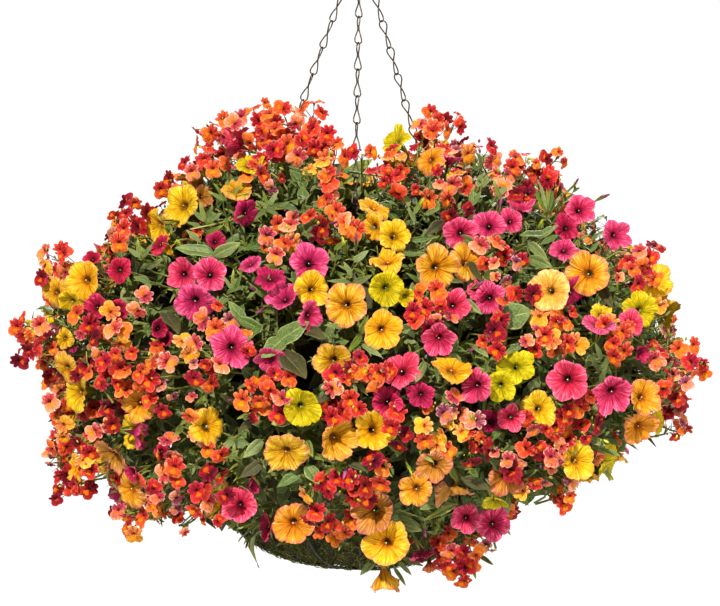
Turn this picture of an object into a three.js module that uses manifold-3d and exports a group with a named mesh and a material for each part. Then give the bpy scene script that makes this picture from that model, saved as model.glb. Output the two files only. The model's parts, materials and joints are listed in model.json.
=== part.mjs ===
// Hanging basket of petunias and nemesias on three chains.
// Millimetres, +Z up, front towards -Y. The origin is where the hook's inner
// bend rests on whatever carries the basket.
import * as THREE from 'three';
import { mergeVertices, mergeGeometries } from 'three/addons/utils/BufferGeometryUtils.js';
import Module from 'manifold-3d';

const wasm = await Module();
wasm.setup();

// ---- driving dimensions ----------------------------------------------------
const RIM_R = 198;            // rim wire circle
const RIM_Z = -603;           // rim height
const RIM_WIRE = 2.5;         // rim wire radius
const BOWL_DEPTH = 199;       // rim to the lowest outside point of the bowl
const BOWL_POWER = 2.4;       // superellipse power of the bowl's side
const RIB_WIRE = 1.6;         // bowl wires' radius
const RIBS = 16;
const MOSS = 17;              // thickness of the moss lining
const SOIL_Z = -622;          // level of the compost
const HOOK_R = 13.5;          // hook's bend, to the wire's middle
const HOOK_WIRE = 2.5;
const RING_R = 15;            // gathering ring, to the wire's middle
const RING_WIRE = 2;
const GATHER_Z = -95;         // where the three chains hang from
const LINKS = 17;             // links in a chain
const LINK_WIRE = 1.1;
const RIM_POINTS = { left: 163.7, front: -92.6, right: 40.7 };   // degrees round the rim
const CANOPY_Z = -554;        // middle of the flower ball
const SPLIT_Z = -566;         // between the upward and the trailing growth
const GAP = 0.35;

const rad = THREE.MathUtils.degToRad;
const V = (x, y, z) => new THREE.Vector3(x, y, z);

// Radius of the flowers' outer surface from the middle of the ball, by height
// angle in degrees, on the right and on the left side.
const OUT_RIGHT = [[-90, 236], [-67, 290], [-58, 262], [-48, 255], [-31, 312], [-15, 390], [0, 402], [11, 366],
  [17, 360], [23, 342], [33, 322], [44, 330], [63, 285], [69, 296], [81, 262], [90, 225]];
const OUT_LEFT = [[-90, 236], [-77, 250], [-57, 266], [-35, 350], [-25, 385], [-19, 386], [-9, 360], [-2, 392],
  [2, 402], [17, 394], [31, 326], [38, 302], [54, 320], [61, 316], [74, 295], [82, 262], [90, 225]];

// Flowers that the model carries: middle of the face, the way it looks, width.
const FLOWERS = {
  back_left_lower: {
    petunia: [[-229, 205, -714, -0.50, 0.59, -0.63, 51], [-310, 137, -709, -0.86, 0.32, -0.39, 50], [-100, 323, -669, -0.33, 0.86, 0.39, 47], [-306, 161, -656, -0.69, 0.67, -0.26, 46]],
    nemesia: [[-309, 137, -596, -0.61, 0.79, 0.05, 18], [-179, 160, -726, -0.13, 0.49, -0.86, 18], [-237, 124, -748, -0.94, 0.03, 0.33, 18]],
  },
  back_left_upper: {
    petunia: [[-242, 291, -531, -0.54, 0.76, 0.36, 51], [-141, 312, -465, -0.41, 0.85, 0.35, 50], [-211, 160, -403, -0.64, 0.16, 0.75, 50], [-314, 150, -508, -0.65, 0.51, 0.57, 49]],
    nemesia: [[-267, 242, -480, -0.41, 0.88, 0.23, 18], [-215, 117, -406, -0.73, 0.41, 0.54, 18], [-339, 120, -470, -0.63, 0.06, 0.78, 18]],
  },
  back_right_lower: {
    petunia: [[138, 271, -700, 0.42, 0.56, -0.72, 48], [-6, 322, -629, 0.03, 0.94, -0.35, 48], [209, 250, -676, 0.87, 0.32, -0.37, 45], [199, 205, -703, 0.97, 0.23, 0.10, 43]],
    nemesia: [[-17, 274, -687, -0.20, 0.97, -0.08, 18], [-17, 329, -673, 0.19, 0.93, -0.33, 18], [9, 283, -711, 0.45, 0.82, 0.36, 17]],
  },
  back_right_upper: {
    petunia: [[85, 344, -518, 0.00, 0.99, 0.13, 52], [201, 214, -416, 0.60, 0.50, 0.62, 49], [-34, 317, -452, 0.23, 0.84, 0.49, 48], [8, 220, -398, 0.18, 0.82, 0.55, 48]],
    nemesia: [[86, 157, -339, -0.10, 0.85, 0.52, 18], [108, 127, -313, -0.19, -0.08, 0.98, 18], [238, 269, -528, 0.44, 0.64, 0.63, 18]],
  },
  front_left_lower: {
    petunia: [[-70, -278, -715, -0.08, -0.96, -0.26, 45], [-76, -346, -634, -0.16, -0.89, -0.42, 45], [-152, -322, -608, 0.26, -0.97, 0.00, 42], [-245, -236, -687, -0.52, -0.74, -0.42, 40], [-123, -299, -691, -0.09, -0.99, -0.09, 39], [-227, -276, -620, 0.95, -0.26, -0.17, 35]],
    nemesia: [[-258, -252, -604, -0.31, -0.95, 0.02, 15], [-202, -273, -690, -0.24, -0.97, -0.08, 14], [-194, -297, -650, -0.23, -0.97, -0.03, 14], [-164, -295, -687, -0.20, -0.98, -0.08, 14]],
  },
  front_left_upper: {
    petunia: [[-167, -325, -483, 0.00, -1.00, -0.09, 43], [-51, -325, -442, 0.00, -0.94, 0.34, 42], [-127, -355, -526, 0.00, -1.00, 0.00, 42], [-76, -346, -475, -0.20, -0.54, 0.82, 38], [-181, -294, -455, -0.26, -0.96, 0.09, 34], [-128, -185, -364, -0.09, -0.49, 0.87, 32]],
    nemesia: [[-77, -180, -322, -0.11, -0.90, 0.42, 19], [-83, -98, -287, -0.13, -0.85, 0.51, 18], [-106, -151, -311, -0.16, -0.88, 0.44, 17], [-44, -221, -351, -0.06, -0.93, 0.36, 15]],
  },
  front_right_lower: {
    petunia: [[15, -356, -608, 0.26, -0.96, -0.09, 46], [15, -311, -696, -0.09, -0.98, 0.17, 44], [96, -311, -678, 0.09, -0.49, -0.87, 43], [296, -226, -620, 0.49, -0.85, -0.17, 40], [225, -278, -648, 0.34, -0.93, 0.17, 39], [73, -335, -648, 0.00, -0.71, -0.71, 38]],
    nemesia: [[199, -304, -629, 0.23, -0.97, -0.01, 14], [167, -319, -637, 0.19, -0.98, -0.02, 14], [92, -347, -609, 0.10, -0.99, 0.01, 14], [236, -286, -610, 0.27, -0.96, 0.01, 12]],
  },
  front_right_upper: {
    petunia: [[236, -252, -457, 0.00, -1.00, 0.09, 48], [77, -331, -448, 0.00, -1.00, 0.00, 46], [194, -288, -471, -0.64, -0.76, 0.09, 45], [298, -207, -497, 0.17, -0.98, 0.00, 40], [247, -273, -505, 0.00, -0.26, 0.97, 39], [26, -345, -467, 0.00, -1.00, 0.00, 39]],
    nemesia: [[16, -228, -357, 0.02, -0.94, 0.35, 17], [150, -310, -450, 0.17, -0.96, 0.20, 16], [78, -86, -290, 0.13, -0.84, 0.53, 16], [206, -142, -359, 0.30, -0.88, 0.37, 15]],
  },
  left_lower: {
    petunia: [[-312, -168, -670, -0.97, -0.26, 0.00, 28], [-227, -23, -749, -0.95, 0.14, -0.29, 50], [-303, 22, -710, -0.91, -0.41, 0.01, 50], [-357, 4, -684, -0.99, 0.12, 0.06, 49], [-280, -13, -748, -0.91, -0.25, -0.34, 45]],
    nemesia: [[-320, -157, -613, -0.42, -0.91, 0.01, 13], [-338, -130, -663, -0.44, -0.89, -0.05, 9], [-332, -111, -707, -0.44, -0.89, -0.11, 7]],
  },
  left_upper: {
    petunia: [[-328, -175, -479, -0.70, -0.70, 0.09, 34], [-359, 41, -443, -0.48, 0.24, 0.84, 49], [-215, 32, -377, -0.66, -0.17, 0.73, 48], [-257, -2, -406, -0.81, 0.03, 0.59, 47], [-194, -20, -355, -0.66, 0.05, 0.75, 46]],
    nemesia: [[-331, -167, -443, -0.40, -0.89, 0.22, 17], [-206, -113, -364, -0.32, -0.86, 0.38, 15], [-362, -155, -516, -0.44, -0.89, 0.13, 15]],
  },
  right_lower: {
    petunia: [[311, 112, -669, 0.56, 0.20, 0.80, 52], [322, 152, -599, 0.82, 0.41, -0.40, 51], [300, 27, -667, 0.96, -0.27, -0.07, 49], [356, 60, -615, 0.81, 0.42, 0.42, 44], [348, 110, -630, 0.94, 0.05, 0.33, 43]],
    nemesia: [[276, 79, -684, 0.66, 0.74, -0.12, 18], [360, 75, -656, 0.67, 0.37, -0.65, 18], [292, 196, -585, -0.01, 0.92, 0.39, 17]],
  },
  right_upper: {
    petunia: [[322, -129, -471, 0.26, -0.97, 0.00, 44], [162, 96, -330, 0.40, 0.68, 0.62, 51], [229, 134, -420, 0.60, 0.22, 0.77, 51], [257, -30, -377, 0.79, -0.35, 0.51, 50], [268, 43, -392, 0.83, 0.18, 0.53, 46]],
    nemesia: [[222, -86, -331, 0.33, -0.84, 0.42, 11], [328, -80, -442, 0.47, -0.85, 0.25, 11], [327, 25, -474, 0.61, -0.02, 0.79, 18]],
  },};

// ---- small helpers -----------------------------------------------------------
function toSolid(geometry) {
  const g = geometry.index ? geometry.clone() : geometry.clone();
  for (const name of Object.keys(g.attributes)) if (name !== 'position') g.deleteAttribute(name);
  const m = mergeVertices(g, 1e-4);
  const mesh = new wasm.Mesh({
    numProp: 3,
    vertProperties: new Float32Array(m.attributes.position.array),
    triVerts: new Uint32Array(m.index.array),
  });
  mesh.merge();
  return new wasm.Manifold(mesh);
}
function toGeometry(solid) {
  const out = solid.getMesh();
  const g = new THREE.BufferGeometry();
  const pos = new Float32Array(out.numVert * 3);
  for (let i = 0; i < out.numVert; i++)
    for (let k = 0; k < 3; k++) pos[3 * i + k] = out.vertProperties[i * out.numProp + k];
  g.setAttribute('position', new THREE.BufferAttribute(pos, 3));
  g.setIndex(new THREE.BufferAttribute(new Uint32Array(out.triVerts), 1));
  g.computeVertexNormals();
  return g;
}
function join(solids) {
  let list = solids;
  while (list.length > 1) {
    const next = [];
    for (let i = 0; i < list.length; i += 2) next.push(i + 1 < list.length ? list[i].add(list[i + 1]) : list[i]);
    list = next;
  }
  return list[0];
}
function biggest(solid) {
  const parts = solid.decompose();
  parts.sort((a, b) => b.volume() - a.volume());
  return parts[0];
}
// straight round bar between two points
function bar(a, b, r, sides = 3, over = 0) {
  const d = b.clone().sub(a);
  const len = d.length();
  d.normalize();
  const g = new THREE.CylinderGeometry(r, r, len + 2 * over, sides, 1);
  g.applyQuaternion(new THREE.Quaternion().setFromUnitVectors(V(0, 1, 0), d));
  const mid = a.clone().add(b).multiplyScalar(0.5);
  g.translate(mid.x, mid.y, mid.z);
  return g;
}
// wire along a smooth open curve
function wire(points, r, sides, steps) {
  const shape = new THREE.Shape();
  for (let i = 0; i < sides; i++) {
    const a = (i / sides) * 2 * Math.PI;
    if (i === 0) shape.moveTo(r * Math.cos(a), r * Math.sin(a));
    else shape.lineTo(r * Math.cos(a), r * Math.sin(a));
  }
  shape.closePath();
  return new THREE.ExtrudeGeometry(shape, {
    steps, bevelEnabled: false, extrudePath: new THREE.CatmullRomCurve3(points, false, 'centripetal'), curveSegments: 1,
  });
}
// torus whose axis is along n
function ringGeometry(R, r, radial, tubular, centre, n, stretch = 1, along = null) {
  const g = new THREE.TorusGeometry(R, r, radial, tubular);
  const z = n.clone().normalize();
  let x = along ? along.clone() : (Math.abs(z.z) > 0.9 ? V(1, 0, 0) : V(0, 0, 1));
  x.sub(z.clone().multiplyScalar(x.dot(z))).normalize();
  const y = z.clone().cross(x);
  g.scale(stretch, 1, 1);
  g.applyMatrix4(new THREE.Matrix4().makeBasis(x, y, z));
  g.translate(centre.x, centre.y, centre.z);
  return g;
}
function table(rows, a) {
  if (a <= rows[0][0]) return rows[0][1];
  for (let i = 1; i < rows.length; i++)
    if (a <= rows[i][0]) {
      const t = (a - rows[i - 1][0]) / (rows[i][0] - rows[i - 1][0]);
      return rows[i - 1][1] + t * (rows[i][1] - rows[i - 1][1]);
    }
  return rows[rows.length - 1][1];
}
const CENTRE = V(0, 0, CANOPY_Z);
// radius of the flowers' surface in a direction from the middle of the ball
function outer(d) {
  const el = THREE.MathUtils.radToDeg(Math.asin(THREE.MathUtils.clamp(d.z, -1, 1)));
  const h = Math.hypot(d.x, d.y) + 1e-9;
  const sx = d.x / h;
  const r = table(OUT_RIGHT, el), l = table(OUT_LEFT, el);
  const m = ((r + l) / 2) * 0.955;
  return m + (r - m) * Math.max(sx, 0) ** 2 + (l - m) * Math.max(-sx, 0) ** 2;
}
// outside radius of the bowl (the wires' outer side) at height z
function bowlR(z) {
  const u = THREE.MathUtils.clamp((RIM_Z - z) / BOWL_DEPTH, 0, 1);
  return RIM_R * (1 - u ** BOWL_POWER) ** (1 / BOWL_POWER);
}
// distance from the middle of the ball to the bowl's outside along a direction, or 0
function toBowl(d) {
  if (d.z > -0.12) return 0;
  let lo = 20, hi = 420;
  for (let i = 0; i < 40; i++) {
    const m = (lo + hi) / 2;
    const z = CANOPY_Z + d.z * m;
    const h = Math.hypot(d.x, d.y) * m;
    const inside = z > RIM_Z ? h < RIM_R : (z > RIM_Z - BOWL_DEPTH && h < bowlR(z));
    if (inside) lo = m; else hi = m;
  }
  return lo;
}
function shell(d, depth, over) {
  const b = toBowl(d);
  return Math.max(outer(d) - depth, b ? b + over : 0);
}
const onShell = (d, depth, over) => CENTRE.clone().add(d.clone().multiplyScalar(shell(d, depth, over)));

const group = new THREE.Group();
function add(name, geometry, color, roughness = 0.8, metalness = 0) {
  const mesh = new THREE.Mesh(geometry, new THREE.MeshStandardMaterial({ color, roughness, metalness }));
  mesh.name = name;
  group.add(mesh);
  return mesh;
}

// ---- hook and ring ------------------------------------------------------------
{
  // open bend, straight shank and a closed eye, one bent wire
  const top = HOOK_WIRE;                       // the wire's middle over the resting point
  const pts = [];
  for (let a = 205; a >= 0; a -= 20.5) {       // from the tip, over the top, to the shank
    const t = rad(a);
    pts.push(V(-HOOK_R * Math.cos(t), 0, top - HOOK_R + HOOK_R * Math.sin(t)));
  }
  const eyeR = 7.5;
  const eyeZ = GATHER_Z + 2 * RING_R + RING_WIRE + 6.2;
  const first = pts[0];
  pts.reverse();
  const path = [V(0.5, 0, eyeZ + eyeR + 1), V(-1, 0, eyeZ + eyeR + 12), V(-7, 0, eyeZ + eyeR + 24)];
  const hook = join([
    toSolid(wire([...path, ...pts.filter((p, i) => i > 0)], HOOK_WIRE, 5, 15)),
    toSolid(ringGeometry(eyeR, HOOK_WIRE, 5, 8, V(0, 0, eyeZ), V(0, 1, 0))),
  ]);
  add('top_hook', toGeometry(hook), 0x5b534c, 0.5, 0.7);
  const ringZ = eyeZ - eyeR + HOOK_WIRE + RING_WIRE + GAP - RING_R;
  add('gathering_ring', ringGeometry(RING_R, RING_WIRE, 5, 14, V(0, 0, ringZ), V(1, 0, 0)), 0x5b534c, 0.5, 0.7);
  group.userData.ringZ = ringZ;
}

// ---- chains ---------------------------------------------------------------------
const rimPoint = (deg) => V(RIM_R * Math.cos(rad(deg)), RIM_R * Math.sin(rad(deg)), RIM_Z);
const CLIP_R = 7.2, CLIP_WIRE = 1.3;
for (const [name, deg] of Object.entries(RIM_POINTS)) {
  const foot = rimPoint(deg);
  const tangent = V(-Math.sin(rad(deg)), Math.cos(rad(deg)), 0);
  const side = { left: 0, front: -6, right: 6 }[name];
  const head = V(0, side, group.userData.ringZ - Math.sqrt(RING_R ** 2 - side ** 2));
  // the clip is a closed loop round the rim wire, standing in the plane of the chain
  const dir = foot.clone().sub(head).normalize();      // downwards
  const clipCentre = foot.clone().addScaledVector(dir, -(CLIP_R - CLIP_WIRE - RIM_WIRE - GAP));
  add(`rim_clip_${name}`, ringGeometry(CLIP_R, CLIP_WIRE, 4, 10, clipCentre, tangent, 1.0, dir), 0x5b534c, 0.5, 0.7);
  // links between the ring and the clip
  const a = head.clone().addScaledVector(dir, -(RING_WIRE + LINK_WIRE + 0.9));
  const b = clipCentre.clone().addScaledVector(dir, -(CLIP_R - CLIP_WIRE - GAP - LINK_WIRE));
  const total = b.clone().sub(a).length();
  const pitch = (total - 0) / LINKS;
  const solids = [];
  const u = tangent.clone();                          // across the chain, along the rim
  const w = dir.clone().cross(u).normalize();         // across the chain, radially
  for (let i = 0; i < LINKS; i++) {
    // each link is a wire bent to a figure of eight: a long upper loop and a
    // rounder lower loop that stands square to it
    const s0 = i * pitch, s1 = (i + 1) * pitch;
    const over = i === LINKS - 1 ? 0 : LINK_WIRE * 1.2;
    const waist = s0 + 0.56 * pitch;
    const upLen = waist - s0 + LINK_WIRE;
    const loLen = s1 + over - waist + LINK_WIRE;
    const upN = i === 0 ? V(0, 1, 0).addScaledVector(dir, -dir.y).normalize() : w;
    // the end loops are rounder, to pass round the ring and the clip
    const end0 = i === 0, end1 = i === LINKS - 1;
    const ru = end0 ? 5.4 : 4.6, rl = end1 ? 5.2 : 4.6;
    const up = ringGeometry(ru, LINK_WIRE, 3, end0 ? 8 : 4, a.clone().addScaledVector(dir, s0 + upLen / 2), upN, upLen / 2 / ru, dir);
    const lo = ringGeometry(rl, LINK_WIRE, 3, end1 ? 8 : 4, a.clone().addScaledVector(dir, waist + loLen / 2 - LINK_WIRE), end1 ? w : u, loLen / 2 / rl, dir);
    solids.push(toSolid(up), toSolid(lo));
  }
  add(`chain_${name}`, toGeometry(biggest(join(solids))), 0x6a5d52, 0.5, 0.7);
}

// ---- wire bowl, moss lining and compost ----------------------------------------
{
  const bits = [toSolid(ringGeometry(RIM_R, RIM_WIRE, 4, 32, V(0, 0, RIM_Z), V(0, 0, 1)))];
  for (const depth of [72, 138]) {
    const z = RIM_Z - depth;
    bits.push(toSolid(ringGeometry(bowlR(z), RIB_WIRE, 3, RIBS, V(0, 0, z), V(0, 0, 1))));
  }
  const low = BOWL_DEPTH - 4;
  bits.push(toSolid(ringGeometry(bowlR(RIM_Z - low), RIB_WIRE, 3, 8, V(0, 0, RIM_Z - low), V(0, 0, 1))));
  for (let k = 0; k < RIBS; k++) {
    const a = (k / RIBS) * 2 * Math.PI;
    const pts = [];
    for (const depth of [0, 45, 90, 130, 160, 183, low]) {
      const r = bowlR(RIM_Z - depth);
      pts.push(V(r * Math.cos(a), r * Math.sin(a), RIM_Z - depth));
    }
    bits.push(toSolid(wire(pts, RIB_WIRE, 3, 6)));
  }
  add('wire_bowl', toGeometry(biggest(join(bits))), 0x4a4a40, 0.5, 0.6);

  const prof = [], inside = [];
  const N = 8;
  for (let i = 0; i <= N; i++) {
    const t = (i / N) * (Math.PI / 2);
    // outside of the moss, just inside the wires
    const u = Math.sin(t) ** (2 / BOWL_POWER), v = Math.cos(t) ** (2 / BOWL_POWER);
    prof.push([(RIM_R - RIB_WIRE - 1.6) * v, RIM_Z - (BOWL_DEPTH - RIB_WIRE - 5.2) * u]);
    inside.push([(RIM_R - RIB_WIRE - 1.6 - MOSS) * v, RIM_Z - (BOWL_DEPTH - RIB_WIRE - 5.2 - MOSS) * u]);
  }
  const outerP = prof.filter(([r, z], i) => i > 0).map(([r, z]) => new THREE.Vector2(Math.max(r, 0), z));
  const innerP = inside.filter(([r, z], i) => i > 0).map(([r, z]) => new THREE.Vector2(Math.max(r, 0), z));
  outerP[outerP.length - 1].x = 0; innerP[innerP.length - 1].x = 0;
  const topZ = RIM_Z - 10;
  // from the bottom outside, up the outside, over the lip and down the inside
  const moss = [...outerP.slice().reverse(), new THREE.Vector2(RIM_R - 11.5, topZ), new THREE.Vector2(RIM_R - 11.5 - MOSS * 0.7, topZ + 1), ...innerP];
  add('moss_lining', toGeometry(toSolid(new THREE.LatheGeometry(moss, 24).rotateX(Math.PI / 2))), 0x5c5a2c, 1, 0);
  const soilSide = innerP.filter((p) => p.y < SOIL_Z - 2).map((p) => new THREE.Vector2(Math.max(p.x - GAP * 1.6, 0), p.y + GAP));
  soilSide[soilSide.length - 1].x = 0;
  const lip = soilSide[0];
  const soil = [...soilSide.slice().reverse(), new THREE.Vector2(lip.x + 0.2, SOIL_Z), new THREE.Vector2(120, SOIL_Z + 3), new THREE.Vector2(0, SOIL_Z + 4)];
  add('compost', toGeometry(toSolid(new THREE.LatheGeometry(soil, 24).rotateX(Math.PI / 2))), 0x33261c, 1, 0);
}
function strip(g) {
  for (const name of Object.keys(g.attributes)) if (name !== 'position') g.deleteAttribute(name);
  return g;
}

// ---- leafy growth ----------------------------------------------------------------
const WALLS = [[-92.6, 9], [-26, 1.2], [40.7, 9], [102.2, 1.2], [163.7, 9], [215.6, 1.2]];
const NAMES = ['front_right', 'right', 'back_right', 'back_left', 'left', 'front_left'];
const TILT = 9;              // half the gap between upper and lower growth
function bumps(d) {
  const a = Math.atan2(d.y, d.x);
  return 5 * Math.sin(7 * a + 3 * d.z) + 4 * Math.sin(5 * d.z * 3 + 2 * a);
}
function leafy(section) {
  const profile = section.slice().reverse();
  // a ring of growth with the right section, its outer side pushed to the ball's shape
  const g = strip(new THREE.LatheGeometry(profile.map(([r, z]) => new THREE.Vector2(r, z)), 30));
  const p = g.attributes.position;
  // LatheGeometry turns about Y: stand it up
  g.rotateX(Math.PI / 2);
  for (let i = 0; i < p.count; i++) {
    const v = V(p.getX(i), p.getY(i), p.getZ(i));
    const h = Math.hypot(v.x, v.y);
    const k = (i % profile.length);
    const mark = profile[k][2];
    if (mark === undefined) continue;          // an inner point stays
    const a = Math.atan2(v.y, v.x);
    const e = rad(mark);
    const d = V(Math.cos(e) * Math.cos(a), Math.cos(e) * Math.sin(a), Math.sin(e));
    const s = shell(d, 45 + bumps(d), 11);
    const q = CENTRE.clone().addScaledVector(d, s);
    if (profile[k][3] !== undefined) q.z = profile[k][3];
    p.setXYZ(i, q.x, q.y, q.z);
  }
  return toSolid(g);
}
function wedge(i) {
  const [a0, g0] = WALLS[i];
  const [a1, g1] = i < 5 ? WALLS[i + 1] : [WALLS[0][0] + 360, WALLS[0][1]];
  // the two side planes move in by the gap; their meeting point moves out along the middle
  const t0 = rad(a0), t1 = rad(a1);
  const n0 = [-Math.sin(t0), Math.cos(t0)], n1 = [Math.sin(t1), -Math.cos(t1)];
  const det = n0[0] * n1[1] - n0[1] * n1[0];
  const x = (g0 * n1[1] - g1 * n0[1]) / det, y = (n0[0] * g1 - n1[0] * g0) / det;
  const R = 900;
  const shape = new THREE.Shape();
  shape.moveTo(x, y);
  shape.lineTo(x + R * Math.cos(t0), y + R * Math.sin(t0));
  const m = (t0 + t1) / 2;
  shape.lineTo(x + 1.3 * R * Math.cos(m), y + 1.3 * R * Math.sin(m));
  shape.lineTo(x + R * Math.cos(t1), y + R * Math.sin(t1));
  shape.closePath();
  const g = new THREE.ExtrudeGeometry(shape, { depth: 900, bevelEnabled: false });
  g.translate(0, 0, -1000);
  return toSolid(g);
}
const FLOOR = SOIL_Z + 6;
const upperProfile = [
  // r, z, height angle of an outer point
  [44, FLOOR], [44, -420, 78], [100, -400, 62], [160, -420, 46], [220, -440, 31], [260, -480, 16], [300, SPLIT_Z + TILT, 3, SPLIT_Z + TILT],
  [158, SPLIT_Z + TILT], [150, FLOOR], [44, FLOOR],
];
const wallAt = (z, gap) => bowlR(z) + RIB_WIRE + gap;
const lowerProfile = [
  [208, SPLIT_Z - TILT], [300, SPLIT_Z - TILT, -4, SPLIT_Z - TILT], [300, -620, -14], [280, -660, -26], [250, -700, -38], [220, -730, -47],
  [wallAt(-742, 3), -742], [wallAt(-725, 3.5), -725], [wallAt(-690, 3.5), -690], [wallAt(-650, 3.5), -650], [206, -608], [208, SPLIT_Z - TILT],
];
// the inner top point of the upper growth stands on the well's wall
const upperSolid = leafy(upperProfile);
const lowerSolid = leafy(lowerProfile);
const GREEN = [0x6b7f52, 0x63774b, 0x73865a, 0x5f7448, 0x6a7d50, 0x667a4e];
for (let i = 0; i < 6; i++) {
  const w = wedge(i);
  add(`foliage_${NAMES[i]}_upper`, toGeometry(biggest(upperSolid.intersect(w))), GREEN[i], 0.7, 0);
  add(`foliage_${NAMES[i]}_lower`, toGeometry(biggest(lowerSolid.intersect(w))), GREEN[(i + 3) % 6], 0.7, 0);
}

// ---- flowering stems --------------------------------------------------------------
// A petunia: narrow tube opening to a shallow five-lobed face. Local +Z is the
// way the flower looks; the face's middle is at z = 0.
function petunia(p, n, width) {
  const r = width / 2;
  const g = strip(new THREE.LatheGeometry([
    new THREE.Vector2(0, -24), new THREE.Vector2(3.6, -12), new THREE.Vector2(r, 0), new THREE.Vector2(0, -9),
  ], 10));
  const q = g.attributes.position;
  for (let i = 0; i < q.count; i++) {
    const x = q.getX(i), z = q.getZ(i);
    const h = Math.hypot(x, z);
    if (h > r * 0.8) {
      const k = Math.round((Math.atan2(z, x) / (2 * Math.PI)) * 10);
      const f = k % 2 === 0 ? 1 : 0.9;
      q.setXYZ(i, x * f, q.getY(i) + (k % 2 === 0 ? 0 : -1.5), z * f);
    }
  }
  g.applyQuaternion(new THREE.Quaternion().setFromUnitVectors(V(0, 1, 0), n));
  g.translate(p.x, p.y, p.z);
  return g;
}
function cluster(p, n, r) {
  const g = new THREE.IcosahedronGeometry(r, 0);
  g.scale(1, 1, 0.62);
  g.applyQuaternion(new THREE.Quaternion().setFromUnitVectors(V(0, 0, 1), n));
  g.translate(p.x, p.y, p.z);
  return g;
}
// One plant's flowering stem in one place: it runs on a shell just off the leaves,
// through the foot of each flower in turn.
function spray(rows, kind, root, depth, over, rStem) {
  const solids = [];
  const feet = [];
  for (const [x, y, z, nx, ny, nz, w] of rows) {
    const p = V(x, y, z);
    const dir = p.clone().sub(CENTRE).normalize();
    const n = V(nx, ny, nz).normalize();
    if (kind === 'petunia') {
      // turned outwards enough for its foot to clear the leaves
      for (let i = 0; i < 14 && n.dot(dir) < 0.8; i++) n.addScaledVector(dir, 0.15).normalize();
      p.copy(CENTRE).addScaledVector(dir, shell(dir, 5, 44));
      solids.push(toSolid(petunia(p, n, w)));
      feet.push(p.clone().addScaledVector(n, -22.6));
    } else {
      const s = Math.max(shell(dir, 8, 41), 1);
      solids.push(toSolid(cluster(CENTRE.clone().addScaledVector(dir, s), dir, 13)));
      feet.push(CENTRE.clone().addScaledVector(dir, s - 7.4));
    }
  }
  // visit the flowers in the order that keeps the stem short
  let at = root[root.length - 1];
  const left = feet.slice(), order = [];
  while (left.length) {
    left.sort((a, b) => a.distanceTo(at) - b.distanceTo(at));
    at = left.shift();
    order.push(at);
  }
  let best = null;
  const lengthOf = (list) => list.reduce((t, q, i) => t + q.distanceTo(i ? list[i - 1] : root[root.length - 1]), 0);
  best = lengthOf(order);
  for (let pass = 0; pass < 6; pass++)
    for (let i = 0; i < order.length; i++)
      for (let j = i + 1; j < order.length; j++) {
        const trial = [...order.slice(0, i), ...order.slice(i, j + 1).reverse(), ...order.slice(j + 1)];
        const L = lengthOf(trial);
        if (L < best - 1e-6) { best = L; order.splice(0, order.length, ...trial); }
      }
  let prev = root[0];
  const pts = [prev];
  const on = [...root.slice(1), ...order];
  on.forEach((q, i) => {
    const n = i === 0 ? 1 : Math.max(1, Math.ceil(prev.distanceTo(q) / 62));
    for (let k = 1; k < n; k++) {
      const m = prev.clone().lerp(q, k / n);
      pts.push(onShell(m.sub(CENTRE).normalize(), depth, over));
    }
    pts.push(q);
    prev = q;
  });
  solids.push(toSolid(mitred(pts, rStem, 3)));
  return biggest(join(solids));
}
// round stem through the given points, one ring of corners at each
function mitred(pts, r, sides) {
  class Through extends THREE.Curve {
    getPoint(t, out = V(0, 0, 0)) {
      const f = t * (pts.length - 1);
      const i = Math.min(Math.floor(f), pts.length - 2);
      return out.copy(pts[i]).lerp(pts[i + 1], f - i);
    }
    getPointAt(t, out) { return this.getPoint(t, out); }
    getTangent(t) {
      const f = t * (pts.length - 1);
      const i = Math.round(f);
      const a = pts[Math.max(i - 1, 0)], b = pts[Math.min(i + 1, pts.length - 1)];
      return b.clone().sub(a).normalize();
    }
    getTangentAt(t) { return this.getTangent(t); }
  }
  const shape = new THREE.Shape();
  for (let i = 0; i < sides; i++) {
    const a = (i / sides) * 2 * Math.PI;
    if (i === 0) shape.moveTo(r * Math.cos(a), r * Math.sin(a));
    else shape.lineTo(r * Math.cos(a), r * Math.sin(a));
  }
  shape.closePath();
  return new THREE.ExtrudeGeometry(shape, { steps: pts.length - 1, bevelEnabled: false, extrudePath: new Through(), curveSegments: 1 });
}
const PET = { upper: [31, 24], lower: [31, 24] };
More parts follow.
